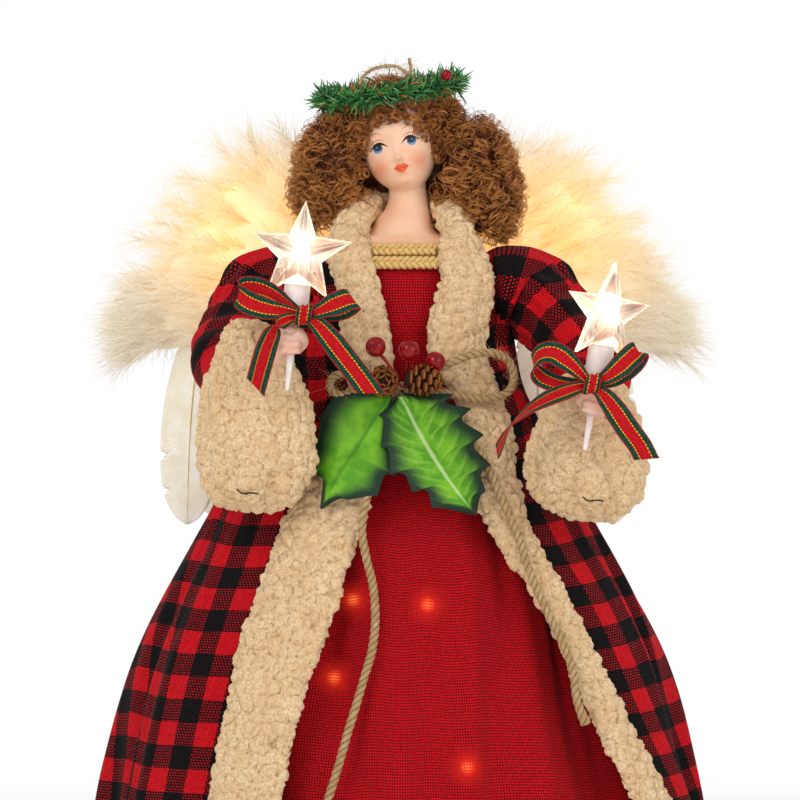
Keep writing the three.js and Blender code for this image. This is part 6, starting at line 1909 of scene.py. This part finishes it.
def add_leaf(name, facts):
    along = np.linspace(0, 1, LEAF_ROWS)
    rib = smooth_path([(x, 0, z) for x, z in facts["rib"]], LEAF_ROWS)[:, [0, 2]]
    low, high = (bitten_edge(facts[edge], bites, rib, along)
                 for edge, bites in zip(("low", "high"), facts["bites"]))
    side = np.linspace(-1, 1, LEAF_COLUMNS)[None, :, None]
    flat = rib[:, None] + np.where(side < 0, (low - rib)[:, None] * -side, (high - rib)[:, None] * side)
    u, v = np.broadcast_arrays(side[..., 0], along[:, None])
    wave = np.sin(FULL_TURN * (VEIN_COUNT * v + 2.6 * np.abs(u)))
    fade = ease(np.abs(u) / 0.25) * ease((1 - np.abs(u)) / 0.3) * ease((1 - v) / 0.15)
    keel = LEAF_FOLD * np.abs(u) ** 1.3 - 0.7 * np.exp(-(u / 0.06) ** 2)
    curl = 1.6 * soft_noise(np.stack([u * 1.4, v * 3, 0 * u], -1), 1.0, 5 + len(name)) * np.abs(u) ** 2
    veins = VEIN_DEPTH * facts["veins"] * wave * fade * np.where(u > 0, 1, 0.35)
    lift = facts["lift"] + 2.0 * v - keel + veins + curl
    points = np.stack([flat[..., 0], on_front(flat[..., 0], flat[..., 1], lift), flat[..., 1]], -1)
    faces = grid_faces(LEAF_ROWS, LEAF_COLUMNS)
    finish = make_leaf_finish(name, facts["rib_paint"])
    leaf = add_piece(f"{name}_leaf", points, faces, finish, "doll", f"{name}_holly_leaf",
                     uv=np.stack([u, v], -1), tone=0.5 + 0.5 * facts["veins"] * wave * fade, slot="leaf")
    add_wall(leaf, 0.6)
    area = cloth_area(points.reshape(-1, 3), faces)
    tall = path_length(rib) * MM


for leaf_name, leaf_facts in LEAVES.items():
    add_leaf(leaf_name, leaf_facts)

# %% [markdown]
# ## Pine cones and berries
# A pine cone is a spindle with scales set at the golden angle, so no scale hides the one above it. Each
# scale is a thick little paddle with a raised tip. One cone points at the viewer and one lies on its
# side: the same rule makes both, turned to two axes, and only how far the scales open differs.

# %% Pine cones
GOLDEN_ANGLE = math.radians(137.508)
CONES = {
    "front": dict(place=(-7.8, 251.3), lift=6, axis=(0, -1, 0), length=14, radius=7.6, scales=34,
                  open=(0.95, 0.3), size=(5.0, 6.4), bend=-0.5),
    "side": dict(place=(2.4, 252.3), lift=16.6, axis=(1, 0.12, -0.06), length=20.5, radius=8.6, scales=46,
                 open=(0.95, 0.3), size=(5.6, 6.6), bend=0.7),
}
SCALE_RINGS = ((0, 0.35, 0.3), (0.35, 0.62, 0.34), (0.7, 0.95, 0.42), (0.88, 1, 0.72), (0.97, 0.82, 0.7),
    (1, 0.4, 0.3))


def make_bark_finish():
    finish = Finish("cone_scales", rough=0.75, Specular_IOR_Level=0.2)
    tip = finish.attribute("tone")
    grain = finish.noise(0.7, detail=4)
    body = finish.mix(grain.ramp(0.3, 0.7), tint("74401c"), tint("a8652e"))
    # Darker towards the foot of each scale: partly paler scale tips, partly painted shade deep between the
    # scales; the spindle is darkest.
    finish.set("Base Color", finish.mix(tip.ramp(0.3, 0.85), tint("2b170c"), body))
    return finish.bump(grain, 0.25, 0.8)


bark_finish = make_bark_finish()


def scale_part(foot, out, axis, length, width, opening, bend):
    """A paddle from the spindle outwards: rings of eight points along a curve that bends to the tip."""
    across = np.cross(axis, out)
    rings = []
    for share, wide, thick in SCALE_RINGS:
        angle = opening + bend * share
        forward = out * math.cos(angle) + axis * math.sin(angle)
        middle = foot + length * share * (out * math.cos(opening + bend * share / 2)
                                          + axis * math.sin(opening + bend * share / 2))
        normal = np.cross(across, forward)
        turn = FULL_TURN * np.arange(8)[:, None] / 8
        rings.append(middle + across * np.cos(turn) * width / 2 * wide
                     + normal * np.sin(turn) * 0.55 * thick)
    return closed_rings(np.array(rings))


def add_pine_cone(name, facts):
    x, z = facts["place"]
    foot = np.array([x, float(on_front(x, z, facts["lift"])), z])
    axis = unit(np.array(facts["axis"], float))
    first = unit(np.cross(axis, (0.1, 0.2, 1)))
    second = np.cross(axis, first)
    length, radius = facts["length"], facts["radius"]
    spindle = [foot + axis * length * share for share in (0, 0.3, 0.6, 0.86)]
    parts = [swept(spindle, [radius * share for share in (0.42, 0.55, 0.42, 0.12)], 16, 14)]
    tones = [0.0]
    # ring_tone runs from 0 at a scale's foot to 1 at its tip; the finish paints shade from it near the foot.
    ring_tone = np.r_[np.repeat([share for share, _, _ in SCALE_RINGS], 8), 0, 1]
    for k in range(facts["scales"]):
        t = (k + 0.5) / facts["scales"]
        swell = math.sin(math.pi * (0.16 + 0.8 * t)) ** 0.6
        angle = k * GOLDEN_ANGLE
        out = first * math.cos(angle) + second * math.sin(angle)
        core = radius * 0.5 * swell * (1 - 0.55 * t)
        opening = lerp(facts["open"][1], facts["open"][0], t)
        start = foot + axis * (length * (0.04 + 0.8 * t)) + out * core
        reach = facts["size"][0] * swell * rng.uniform(0.92, 1.08)
        width = facts["size"][1] * (1.05 - 0.5 * t) * rng.uniform(0.9, 1.1)
        parts.append(scale_part(start, out, axis, reach, width, opening, facts["bend"] * 0.5))
        tones.append(ring_tone * rng.uniform(0.75, 1))
    points, faces, tone = gather(parts, tones)
    add_piece(f"{name}_cone", points, faces, bark_finish, "doll", f"{name}_pine_cone", tone=tone,
        slot="bark")


for cone_name, cone_facts in CONES.items():
    add_pine_cone(cone_name, cone_facts)

# %% Berries
BERRY_RADIUS = 5.0
BERRIES = {1: (-11.9, 267.9, 23.5), 2: (4.3, 266.4, 22.5), 3: (17.2, 260.6, 17)}
STEM_MEET = (1.5, 246.5, 9)


def make_berry_finish():
    finish = Finish("lacquered_berry", tint("a00d1c"), 0.12, Specular_IOR_Level=0.3)
    mottle = finish.noise(2.6, detail=2)
    finish.two_tones(mottle.ramp(0.3, 0.7), "740309", "9c0712")
    return finish


berry_finish = make_berry_finish()


def add_berry(number, place):
    x, z, lift = place
    middle = np.array([x, float(on_front(x, z, lift)) + 5, z])
    meet = np.array([STEM_MEET[0], float(on_front(STEM_MEET[0], STEM_MEET[1], STEM_MEET[2])), STEM_MEET[1]])
    toward = unit(meet - middle)
    bend = lerp(middle, meet, 0.55) + (0.6, 0, 0.8)
    stem = swept([middle + toward * 4.4, bend, lerp(middle, meet, 0.93)], (0.95, 0.6, 0.55), 10, 16)
    calyx = swept([middle + toward * 4.2, middle + toward * 5.6], (1.7, 0.7), 12, 5)
    points, faces, _ = gather([ball((BERRY_RADIUS,) * 3, middle, 40, 28), calyx, stem])
    add_piece(f"berry_{number}", points, faces, berry_finish, "doll", f"waist_berry_{number}", slot="berry")


for berry_number, berry_place in BERRIES.items():
    add_berry(berry_number, berry_place)

# %% [markdown]
# ## The twine bow
# The bow is tied from the same jute as the tails: a wide open loop on one side, a short one on the
# other, and a knot between them under the cones. Loose fibres stand off the cord all along.

# %% Jute bow
TWINE_LOOPS = {  # across, up, lift from the coat's front
    "wide": [(2, 246, 4), (12, 254, 6), (25, 260.2, 9), (36, 264.4, 11), (46, 265, 11), (53.5, 261, 10),
             (56, 252.5, 8.5), (52.5, 245.5, 6.5), (43, 242.6, 4.6), (32, 243.4, 3.6), (19, 245.8, 3.4),
             (3, 245, 3)],
    "small": [(0, 246, 4), (-9, 249.5, 5), (-18, 252.4, 6.5), (-27, 255, 7.5), (-33, 252.8, 7.5),
              (-34.2, 247.6, 6.5),
              (-29, 244.4, 5), (-19, 245.6, 3.6), (-8, 245.4, 3.2), (2, 244.6, 3)],
}
HAIR_COUNT, HAIR_LENGTH = 700, (1.4, 4.6)


def cord_hairs(line, radius, count, length):
    """Loose fibres: short curved strands that leave a cord at random places and lean along it."""
    at = rng.integers(1, len(line) - 1, count)
    tangent = unit(np.gradient(line, axis=0))[at]
    away = unit(np.cross(tangent, rng.normal(size=(count, 3))))
    reach = rng.uniform(*length, count)[:, None]
    t = np.linspace(0, 1, 5)[None, :, None]
    lean = unit(away + tangent * rng.normal(0, 0.9, (count, 1)))
    sag = rng.normal(0, 0.35, (count, 1, 3)) * reach[:, None] * t ** 2
    paths = (line[at] + away * radius * 0.8)[:, None] + lean[:, None] * reach[:, None] * t + sag
    return strands(paths, (0.1 * (1 - 0.6 * np.linspace(0, 1, 5)))[None])


def add_twine_bow():
    parts, tones = [], []
    for route in TWINE_LOOPS.values():
        path = [(x, float(on_front(x, z, lift)), z) for x, z, lift in route]
        line, points, faces, tone = rope(path)
        parts.append((points, faces))
        tones.append(tone)
        hairs = cord_hairs(line, TWINE_DIAMETER / 2, HAIR_COUNT // 2, HAIR_LENGTH)
        parts.append((hairs[0], as_triangles(hairs[1])))
        tones.append(0.9)
    knot = [(1 + 4 * math.cos(t), float(on_front(1, WAIST_CLUSTER, 3.4)) - 1.6 * math.sin(t),
             WAIST_CLUSTER + 4.5 * math.sin(t))
            for t in np.linspace(0, FULL_TURN * 0.96, 9)]
    _, points, faces, tone = rope(knot)
    parts.append((points, faces))
    tones.append(tone)
    points, faces, tone = gather(parts, tones)
    add_piece("jute_bow", points, faces, twine_finish, "doll", "twine_bow", tone=tone, slot="twine")


add_twine_bow()

# %% [markdown]
# ## Gimp braid and wreath
# The braid at the neckline is straw gimp: two rows of three strands, plaited. Strand k of a plait
# swings up and down as sin(phase + k/3 turn), and in and out twice as fast, so each passes over one
# and under the next. The wreath is a wire ring wound with flat plastic needles in three greens.

# %% Gimp braid
BRAID_ROWS = (316.6, 309.9)
BRAID_TURN = 0.47
PLAIT_LENGTH, PLAIT_SWING, PLAIT_DEPTH, STRAW_DIAMETER = 9.5, 2.15, 0.85, 2.5


def make_straw_finish():
    finish = Finish("straw_gimp", rough=0.65, Specular_IOR_Level=0.3, Sheen_Weight=0.05)
    groove_shade = finish.attribute("tone")
    fibre = finish.noise(0.6, detail=4)
    body = finish.mix(fibre.ramp(0.3, 0.7), tint("cf9f56"), tint("f3d592"))
    # Painted shade: the grooves between the plaited strands are darkened.
    finish.set("Base Color", finish.mix(groove_shade.ramp(0.0, 0.5), tint("8a6130"), body))
    return finish.bump(fibre, 0.2, 0.7)


straw_finish = make_straw_finish()


def add_braid():
    parts, tones = [], []
    turn = np.linspace(-BRAID_TURN, BRAID_TURN, 76)
    for row, level in enumerate(BRAID_ROWS):
        middle = ring_point(turn, np.full(len(turn), level), torso_size(np.array(level)),
            PLATE_GAP + PLATE_THICKNESS + 2.6)
        outward = unit(np.stack([np.sin(turn), -np.cos(turn), 0 * turn], -1))
        along = np.r_[0, np.cumsum(np.linalg.norm(np.diff(middle, axis=0), axis=1))]
        for k in range(3):
            phase = FULL_TURN * (along / PLAIT_LENGTH + k / 3 + row * 0.37)
            path = middle + outward * (PLAIT_DEPTH * np.sin(2 * phase))[:, None]
            path[:, 2] += PLAIT_SWING * np.sin(phase)
            _, points, faces, tone = rope(path, STRAW_DIAMETER, 3.4)
            parts.append((points, faces))
            tones.append(tone)
    points, faces, tone = gather(parts, tones)
    add_piece("gimp_braid", points, faces, straw_finish, "doll", "gold_braid", tone=tone, slot="straw")


add_braid()

# %% Wreath
WREATH_MIDDLE = HEAD_PLACE + (-3.96, 8.16, 25.4)
WREATH_RADIUS, WREATH_TILTS = 33, (-0.13, 0.1)
NEEDLE_COUNT, NEEDLE_LENGTH, NEEDLE_WIDTH = 1700, (4.5, 9.5), 0.58
TWIG_COUNT = 70


def in_wreath(points):
    """From the ring's own plane to the doll's: a turn about Y, then one about X."""
    turned_y = np.asarray(points) @ about_y(WREATH_TILTS[0]).T
    c, s = math.cos(WREATH_TILTS[1]), math.sin(WREATH_TILTS[1])
    return turned_y @ np.array([[1, 0, 0], [0, c, -s], [0, s, c]]).T + WREATH_MIDDLE


def make_needle_finish():
    finish = Finish("pine_needles", rough=0.5)
    shade = finish.attribute("tone")
    green = finish.mix(shade.ramp(0.15, 0.5), tint("123d1c"), tint("36883a"))
    green = finish.mix(shade.ramp(0.72, 0.95), green, tint("94bf7c"))
    finish.set("Base Color", finish.mix(shade.above(0.93), green, tint("a9652e")))
    return finish


needle_finish = make_needle_finish()


def needle_parts(count, length, width, lean_out):
    """Flat needles: strands of three sides that leave the ring up, out and along, and bend a little."""
    turn = rng.uniform(0, FULL_TURN, count)
    ring = np.stack([np.cos(turn), np.sin(turn), 0 * turn], -1)
    along = np.stack([-np.sin(turn), np.cos(turn), 0 * turn], -1)
    out = ring * rng.normal(lean_out, 0.65, (count, 1)) + along * rng.normal(0.25, 0.95, (count, 1))
    out[:, 2] = rng.normal(0.35, 0.75, count)
    reach = rng.uniform(*length, count)[:, None, None]
    t = np.linspace(0, 1, 4)[None, :, None]
    start = ring * WREATH_RADIUS + rng.normal(0, 1.3, (count, 3))
    bend = rng.normal(0, 0.1, (count, 1, 3)) * reach * t ** 2
    curve = start[:, None] + unit(out)[:, None] * reach * t + bend
    radii = width * np.array([0.7, 1, 0.85, 0.2])[None] * rng.uniform(0.8, 1.2, (count, 1))
    points, faces = strands(in_wreath(curve.reshape(-1, 3)).reshape(curve.shape), radii)
    return points, as_triangles(faces)


def add_wreath():
    turn = np.linspace(0, FULL_TURN, 61)
    ring = in_wreath(np.stack([WREATH_RADIUS * np.cos(turn), WREATH_RADIUS * np.sin(turn), 0 * turn], -1))
    core = swept(ring, (1.9, 1.9), 10, 120)
    needles = needle_parts(NEEDLE_COUNT, NEEDLE_LENGTH, NEEDLE_WIDTH, 0.35)
    twigs = needle_parts(TWIG_COUNT, (4, 9), 0.75, 0.5)
    per = 4 * 3 + 2
    points, faces, tone = gather([core, needles, twigs], [
        0.3, np.repeat(rng.uniform(0, 0.92, NEEDLE_COUNT), per), np.repeat(np.full(TWIG_COUNT, 1.0), per)])
    add_piece("wreath", points, faces, needle_finish, "doll", "needle_wreath", tone=tone, slot="needles")


add_wreath()

# %% What is tied to the wreath
WREATH_TIE = [(-15, 27), (-13, 31), (-7, 35), (2.6, 36), (8.6, 32.6), (10.4, 34), (9.6, 40)]


def add_wreath_ties():
    """An arch of thin twine tied on the front of the ring, its end up, and one red berry beside it."""
    front = in_wreath([(0, -WREATH_RADIUS, 0)])[0]
    path = [(front[0] + x, front[1] - 1.5, HEAD_PLACE[2] + z) for x, z in WREATH_TIE]
    line, points, faces, tone = rope(path, 1.7, 6)
    hairs = cord_hairs(line, 0.8, 160, (1.5, 5))
    points, faces, tone = gather([(points, faces), (hairs[0], as_triangles(hairs[1]))], [tone, 0.9])
    add_piece("wreath_twine", points, faces, twine_finish, "doll", tone=tone, slot="twine")
    berry = ball((2.9, 2.9, 2.9), (23.0, front[1] + 1.5, 402.5), 28, 20)
    add_piece("wreath_berry", *berry, berry_finish, "doll", slot="berry")


add_wreath_ties()

# %% [markdown]
# ## Marabou wings
# A wing is a card-stiff shape wound with marabou: plumes of down whose long barbs fan up and away from
# the doll. Particle hair would need a renderer's own settings, so each barb is a thin closed strand.
# A plume has a spine that follows a field of directions over the wing, and barbs leave the spine on
# both sides. A soft pad under them closes the gaps, and a painted glow, warm near the lamps behind and
# faint all over, stands for their light through the down.

# %% Places on a wing
WING_ROOT = (13, 41.577, 311)
WING_SPAN, WING_HEIGHT, WING_DEPTH, WING_SWEEP = 128, 106, 15, 0.12
wing_upper = share_table([(0, 0.2), (0.12, 0.42), (0.3, 0.56), (0.48, 0.53), (0.62, 0.38), (0.75, 0.15),
                          (0.88, -0.08), (1, -0.3)])
wing_lower = share_table([(0, -0.16), (0.1, -0.28), (0.3, -0.35), (0.6, -0.4), (0.85, -0.43), (1, -0.38)])
WING_LAMPS = ((0.22, 0.08), (0.5, 0.12))
GLOW_SPREAD = 88


def in_wing(name, points):
    """From a wing's own frame, x away from the doll, to the doll's."""
    x, y, z = np.moveaxis(np.asarray(points, float), -1, 0)
    return np.stack([SIDES[name] * (WING_ROOT[0] + x), WING_ROOT[1] + y, WING_ROOT[2] + z], -1)


def wing_puff(across, up):
    """How thick the down is at a share across and a share up: full in the middle, thin at the edges."""
    return (0.2 + 0.8 * np.sin(math.pi * up)) * (0.45 + 0.55 * np.sin(math.pi * across ** 0.8))


def wing_place(across, up, depth):
    """A place inside the wing: depth is 0 on its back and 1 on its front."""
    x = WING_SPAN * across
    z = WING_HEIGHT * lerp(wing_lower(across)[..., 0], wing_upper(across)[..., 0], up)
    return np.stack([x, WING_SWEEP * x - WING_DEPTH * wing_puff(across, up) * depth, z], -1)


def down_direction(places, scatter):
    """Steep beside the head, level at the middle, and drooping at the tip; lower barbs droop more."""
    tilt = np.radians(66 - 0.6 * places[..., 0] + 0.22 * places[..., 2]) + scatter
    return np.stack([np.cos(tilt), 0 * tilt, np.sin(tilt)], -1)


# %% Down finish
def lamp_places(name):
    return [in_wing(name, [(WING_SPAN * u, WING_SWEEP * WING_SPAN * u, WING_HEIGHT * v)])[0]
            for u, v in WING_LAMPS]


def make_down_finish(name):
    """Ivory, with a painted warm glow near the lamps and a faint painted glow all over."""
    finish = Finish(f"{name}_marabou_down", rough=0.95, Specular_IOR_Level=0.2, Sheen_Weight=0.2)
    x, _, z = finish.axes(finish.place())
    glow = None
    for lamp in lamp_places(name):
        dx, dz = x - float(lamp[0] * MM), z - float(lamp[2] * MM)
        near = 1 - (dx * dx + dz * dz).power(0.5).ramp(2 * MM, GLOW_SPREAD * MM)
        glow = near if glow is None else glow.most(near)
    patch = finish.noise(13, detail=2)
    # Painted light: the base colour warms towards the lamps, with some random patches.
    warm = (glow * 1.1 + (patch - 0.5) * 0.5).held()
    ivory = finish.mix(finish.attribute("tone"), tint("efe4cb"), tint("fffaf0"))
    finish.set("Base Color", finish.mix(warm * 0.7, ivory, tint("fbe3b4")))
    # Painted light: the down glows warm near the lamps and faintly everywhere.
    warm_light = (glow.power(2) * 1.1 + patch - 0.6).held()
    finish.set("Emission Color", finish.mix(warm_light, tint("ffeac4"), tint("ffc878")))
    return finish.set("Emission Strength", glow.power(1.6) * (patch * 0.3 + 0.16) + 0.13)


# %% Plumes of down
PLUMES = {"front": (118, 58), "back": (42, 44)}
FRINGE_BARBS = 1900
BARB_STEPS, BARB_RADIUS = 3, 0.155


def barb_strands(name, roots, directions, lengths, waves):
    """Strands that start along a direction and bend by a random wave that grows towards the tip."""
    t = np.linspace(0, 1, BARB_STEPS)[None, :, None]
    reach = lengths[:, None, None]
    paths = roots[:, None] + directions[:, None] * reach * t + waves[:, None] * reach * t ** 2
    radii = BARB_RADIUS * np.array([1, 0.95, 0.25])[None]
    points, faces = strands(in_wing(name, paths), radii)
    return points, as_triangles(faces)


def plume_barbs(count, per, face):
    """Roots, directions, lengths and waves of the barbs of many plumes."""
    across = rng.uniform(0, 0.93, count) ** 0.9
    up = rng.uniform(0.04, 0.92, count)
    depth = rng.uniform(0.5, 0.95, count) if face == "front" else rng.uniform(-0.1, 0.25, count)
    start = wing_place(across, up, depth)
    heading = down_direction(start, rng.normal(0, 0.13, count))
    length = rng.uniform(17, 30, count) * (1 - 0.35 * (across > 0.8))
    share = rng.uniform(0, 1, (count, per, 1))
    outward = np.array([0, -1.0 if face == "front" else 0.6, 0])
    spine = start[:, None] + length[:, None, None] * (
        heading[:, None] * share + outward * 0.16 * np.sin(math.pi * share)
        + np.array([0, 0, -0.14]) * share ** 2)
    across_way = np.stack([-heading[:, 2], 0 * length, heading[:, 0]], -1)[:, None]
    side = np.where(rng.random((count, per, 1)) < 0.5, -1, 1)
    opening = rng.uniform(0.1, 0.6, (count, per, 1))
    way = unit(heading[:, None] * np.cos(opening) + across_way * side * np.sin(opening)
               + outward * rng.normal(0.1, 0.2, (count, per, 1)))
    reach = 8 + 9 * np.sin(math.pi * np.clip(share[..., 0] * 0.8 + 0.1, 0, 1))
    reach = reach * rng.uniform(0.6, 1.25, (count, per))
    wave = rng.normal(0, 0.16, (count, per, 3)) + np.array([0, 0, -0.1])
    return [np.reshape(v, (count * per, -1)) for v in (spine, way)] + [reach.ravel(), wave.reshape(-1, 3)]


def fringe_barbs(count):
    """Wisps along the wing's outline that stand off further than the rest."""
    across = rng.uniform(0.02, 1, count)
    up = np.where(rng.random(count) < 0.8, rng.uniform(0.86, 1.0, count), rng.uniform(0.0, 0.3, count))
    start = wing_place(across, up, rng.uniform(0, 0.9, count))
    way = down_direction(start, rng.normal(0, 0.25, count) - 1.3 * (up < 0.5))
    way[:, 1] = rng.normal(0, 0.25, count)
    length = rng.uniform(7, 16, count) * np.where(up < 0.5, rng.uniform(0.3, 0.9, count), 1)
    return [start, unit(way), length, rng.normal(0, 0.25, (count, 3))]


def wing_pad(name):
    """The soft body under the barbs: rings up the wing, a little inside its outline."""
    across = np.linspace(0.015, 0.97, 60)[:, None]
    turn = FULL_TURN * np.arange(40)[None] / 40
    up = 0.5 + 0.44 * np.sin(turn)
    depth = 0.42 - 0.42 * np.cos(turn)
    places = wing_place(*np.broadcast_arrays(across, up + 0 * across, depth + 0 * across))
    lumps = (1.1 * soft_noise(places, 7.0, 3))[..., None] * np.array([0.3, -1, 0.3])
    return closed_rings(in_wing(name, places + lumps))


def add_marabou(name):
    finish = make_down_finish(name)
    pad = wing_pad(name)
    front = barb_strands(name, *plume_barbs(*PLUMES["front"], "front"))
    wisps = barb_strands(name, *fringe_barbs(FRINGE_BARBS))
    points, faces, tone = gather([pad, front], [0.35, rng.uniform(0.35, 1, len(front[0]))])
    wing = add_piece(f"{name}_down", points, faces, finish, f"{name}_wing", f"{name}_marabou", tone=tone,
        slot="feather")
    add_piece(f"{name}_wisps", *wisps, finish, f"{name}_wing", tone=rng.uniform(0.3, 0.9, len(wisps[0])),
              slot="feather")
    points, faces = barb_strands(name, *plume_barbs(*PLUMES["back"], "back"))
    add_piece(f"{name}_back_down", points, faces, finish, f"{name}_wing",
        tone=rng.uniform(0.3, 1, len(points)),
              slot="feather")
    print(wing.name, len(wing.data.polygons), "faces")


for wing_name in SIDES:
    add_marabou(wing_name)

# %% [markdown]
# ## Flight feathers
# Four flat goose feathers hang under each wing. A feather is a vane with a rounded tip, slightly cupped,
# and a tapering quill down its middle. Where barbs have come apart the vane's edge is nicked: the half
# width is cut by narrow notches at random places, which a grid of fine rows can follow.

# %% Feathers
FEATHER_COUNT, FEATHER_LENGTH, FEATHER_WIDTH = 4, 104, 29
VANE_ROWS, VANE_COLUMNS = 124, 17
feather_outline = share_table([(0, 0.14), (0.08, 0.5), (0.2, 0.78), (0.42, 0.98), (0.68, 1), (0.84, 0.86),
                               (0.93, 0.6), (0.98, 0.3), (1, 0.04)])


def make_vane_finish():
    """Cream, with fine barb lines slanting away from the quill, greyer, thinner edges and a faint painted
    glow.
    """
    finish = Finish("flight_feather", rough=0.7, Specular_IOR_Level=0.25, Sheen_Weight=0.1)
    u, v, _ = finish.axes(finish.place("UV"))
    line = ((v * FEATHER_LENGTH - u.abs() * 9) * (FULL_TURN / 1.1)).sin() * 0.5 + 0.5
    shade = finish.noise(11, detail=3).ramp(0.3, 0.7)
    body = finish.mix(shade, tint("f3ead0"), tint("fefbf1"))
    color = finish.mix(u.abs().ramp(0.7, 1.0) * 0.4, body, tint("dcd5bd"))
    finish.set("Base Color", finish.mix(line * 0.16, color, tint("c2b898")))
    # Painted light: a faint warm glow all over the vane.
    finish.set("Emission Color", (*tint("fff4d6"), 1.0)).set("Emission Strength", 0.1)
    return finish.bump(line, 0.12, 0.7)


def make_quill_finish():
    finish = Finish("quill", tint("e3cf94"), 0.4)
    finish.two_tones(finish.noise(5).ramp(0.3, 0.7), "e6d49a", "f8efcb")
    return finish


vane_finish, quill_finish = make_vane_finish(), make_quill_finish()


def feather_grid(k):
    """The vane's points and UV, and the quill's path, in the wing's own frame."""
    share = k / (FEATHER_COUNT - 1)
    root_x, root_z = WING_SPAN * lerp(0.47, 0.69, share), -WING_HEIGHT * lerp(0.2, 0.27, share)
    lean = lerp(-0.03, 0.07, share)
    length = FEATHER_LENGTH * (1 - 0.2 * (1 - share) ** 2)
    v = np.linspace(0, 1, VANE_ROWS)[:, None]
    u = np.linspace(-1, 1, VANE_COLUMNS)[None]
    half = FEATHER_WIDTH / 2 * feather_outline(v)[..., 0]
    for side in (-1, 1):
        for _ in range(3):
            place, deep, slope = rng.uniform(0.25, 0.92), rng.uniform(0.12, 0.42), rng.uniform(0.1, 0.2)
            away = (v + slope * (1 - np.abs(u)) - place) / 0.011
            half = half * (1 - deep * np.exp(-away ** 2) * (u * side > 0.3) * np.abs(u))
    across = u * half
    along = v * length
    bow = 3.2 * np.sin(math.pi * v) * (share - 0.4)
    x = root_x + along * math.sin(lean) + across * math.cos(lean) + bow
    z = root_z - along * math.cos(lean) + across * math.sin(lean)
    cup = 1.5 * (u ** 2) * np.sin(math.pi * v) + 0.5 * np.sin(7 * v + 2 * u + k)
    y = WING_SWEEP * x + 0.5 + 1.2 * (FEATHER_COUNT - 1 - k) + cup
    middle = VANE_COLUMNS // 2
    points = np.stack([x, y, z], -1)
    return points, np.stack(np.broadcast_arrays(u, v), -1), points[:, middle]


def add_feathers(name):
    vanes, quills, uv, area = [], [], [], 0.0
    for k in range(FEATHER_COUNT):
        points, place, quill = feather_grid(k)
        vanes.append((in_wing(name, points).reshape(-1, 3), grid_faces(VANE_ROWS, VANE_COLUMNS)))
        uv.append(place.reshape(-1, 2))
        area += cloth_area(*vanes[-1])
        quills.append(swept(in_wing(name, quill[::12] + (0, -0.2, 0)), (0.7, 0.6, 0.4, 0.2), 10, 60))
    points, faces, _ = gather(vanes)
    vane = add_piece(f"{name}_vanes", points, faces, vane_finish, f"{name}_wing", f"{name}_flight_feathers",
                     uv=np.concatenate(uv), slot="feather")
    add_wall(vane, 0.3, 0)
    points, faces, _ = gather(quills)
    add_piece(f"{name}_quills", points, faces, quill_finish, f"{name}_wing", slot="feather")


for wing_name in SIDES:
    add_feathers(wing_name)

# %% [markdown]
# ## What stays as the solids have it
# The cone, the stuffed core, the wires, the leads and the small lamps are true as solids, so they stay
# and only get their finishes: kraft card, calico, bare wire, soft plastic and warm glass.

# %% Finishes of the kept pieces
def make_card_finish():
    finish = Finish("kraft_card", rough=0.85)
    fibre = finish.noise(1.1, detail=5)
    finish.two_tones(fibre.ramp(0.3, 0.75), "a98a63", "cdb08a")
    return finish.bump(fibre, 0.15, 0.6)


def make_calico_finish():
    finish = Finish("calico", rough=0.9)
    x, y, z = finish.axes(finish.place())
    weave = ((x + y) * (math.pi / (0.7 * MM))).sin().abs() * (z * (math.pi / (0.7 * MM))).sin().abs()
    finish.two_tones(weave, "cfc3a8", "efe7d3")
    return finish.bump(weave, 0.15, 0.7)


def make_wire_finish():
    finish = Finish("bare_wire", rough=0.35, Metallic=0.95)
    finish.two_tones(finish.noise(4).ramp(0.3, 0.7), "8f9092", "c4c5c6")
    return finish


def make_lead_finish():
    finish = Finish("lead_plastic", rough=0.5)
    finish.two_tones(finish.noise(6).ramp(0.3, 0.7), "dcd8cb", "f1efe6")
    return finish.bump(finish.noise(0.8), 0.05, 0.5)


KEPT = {
    "base_cone wing_plate": make_card_finish(),
    "torso_core": make_calico_finish(),
    "shoulder_wire left_arm_wire right_arm_wire left_wing_spar right_wing_spar": make_wire_finish(),
    "skirt_light_string left_wing_lead right_wing_lead": make_lead_finish(),
    "skirt_bulb_1 skirt_bulb_2 skirt_bulb_3 skirt_bulb_4": make_lamp_finish("skirt_lamp", 1.6),
    "left_wing_bulb_1 left_wing_bulb_2 right_wing_bulb_1 right_wing_bulb_2":
        make_lamp_finish("wing_lamp", 1.6),
}
for kept_names, kept_finish in KEPT.items():
    for kept_name in kept_names.split():
        for material_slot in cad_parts[kept_name].material_slots:
            material_slot.material = kept_finish.material

# %% Measure and finish
def close_scene():
    """Writes the solids' box and the dressed box side by side."""
    boxes = {"cad": cad_box, "visual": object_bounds()}
    plain = {name: [[float(value) for value in corner] for corner in box] for name, box in boxes.items()}
    for name, box in plain.items():
        print(name, [[round(value, 4) for value in corner] for corner in box])


close_scene()
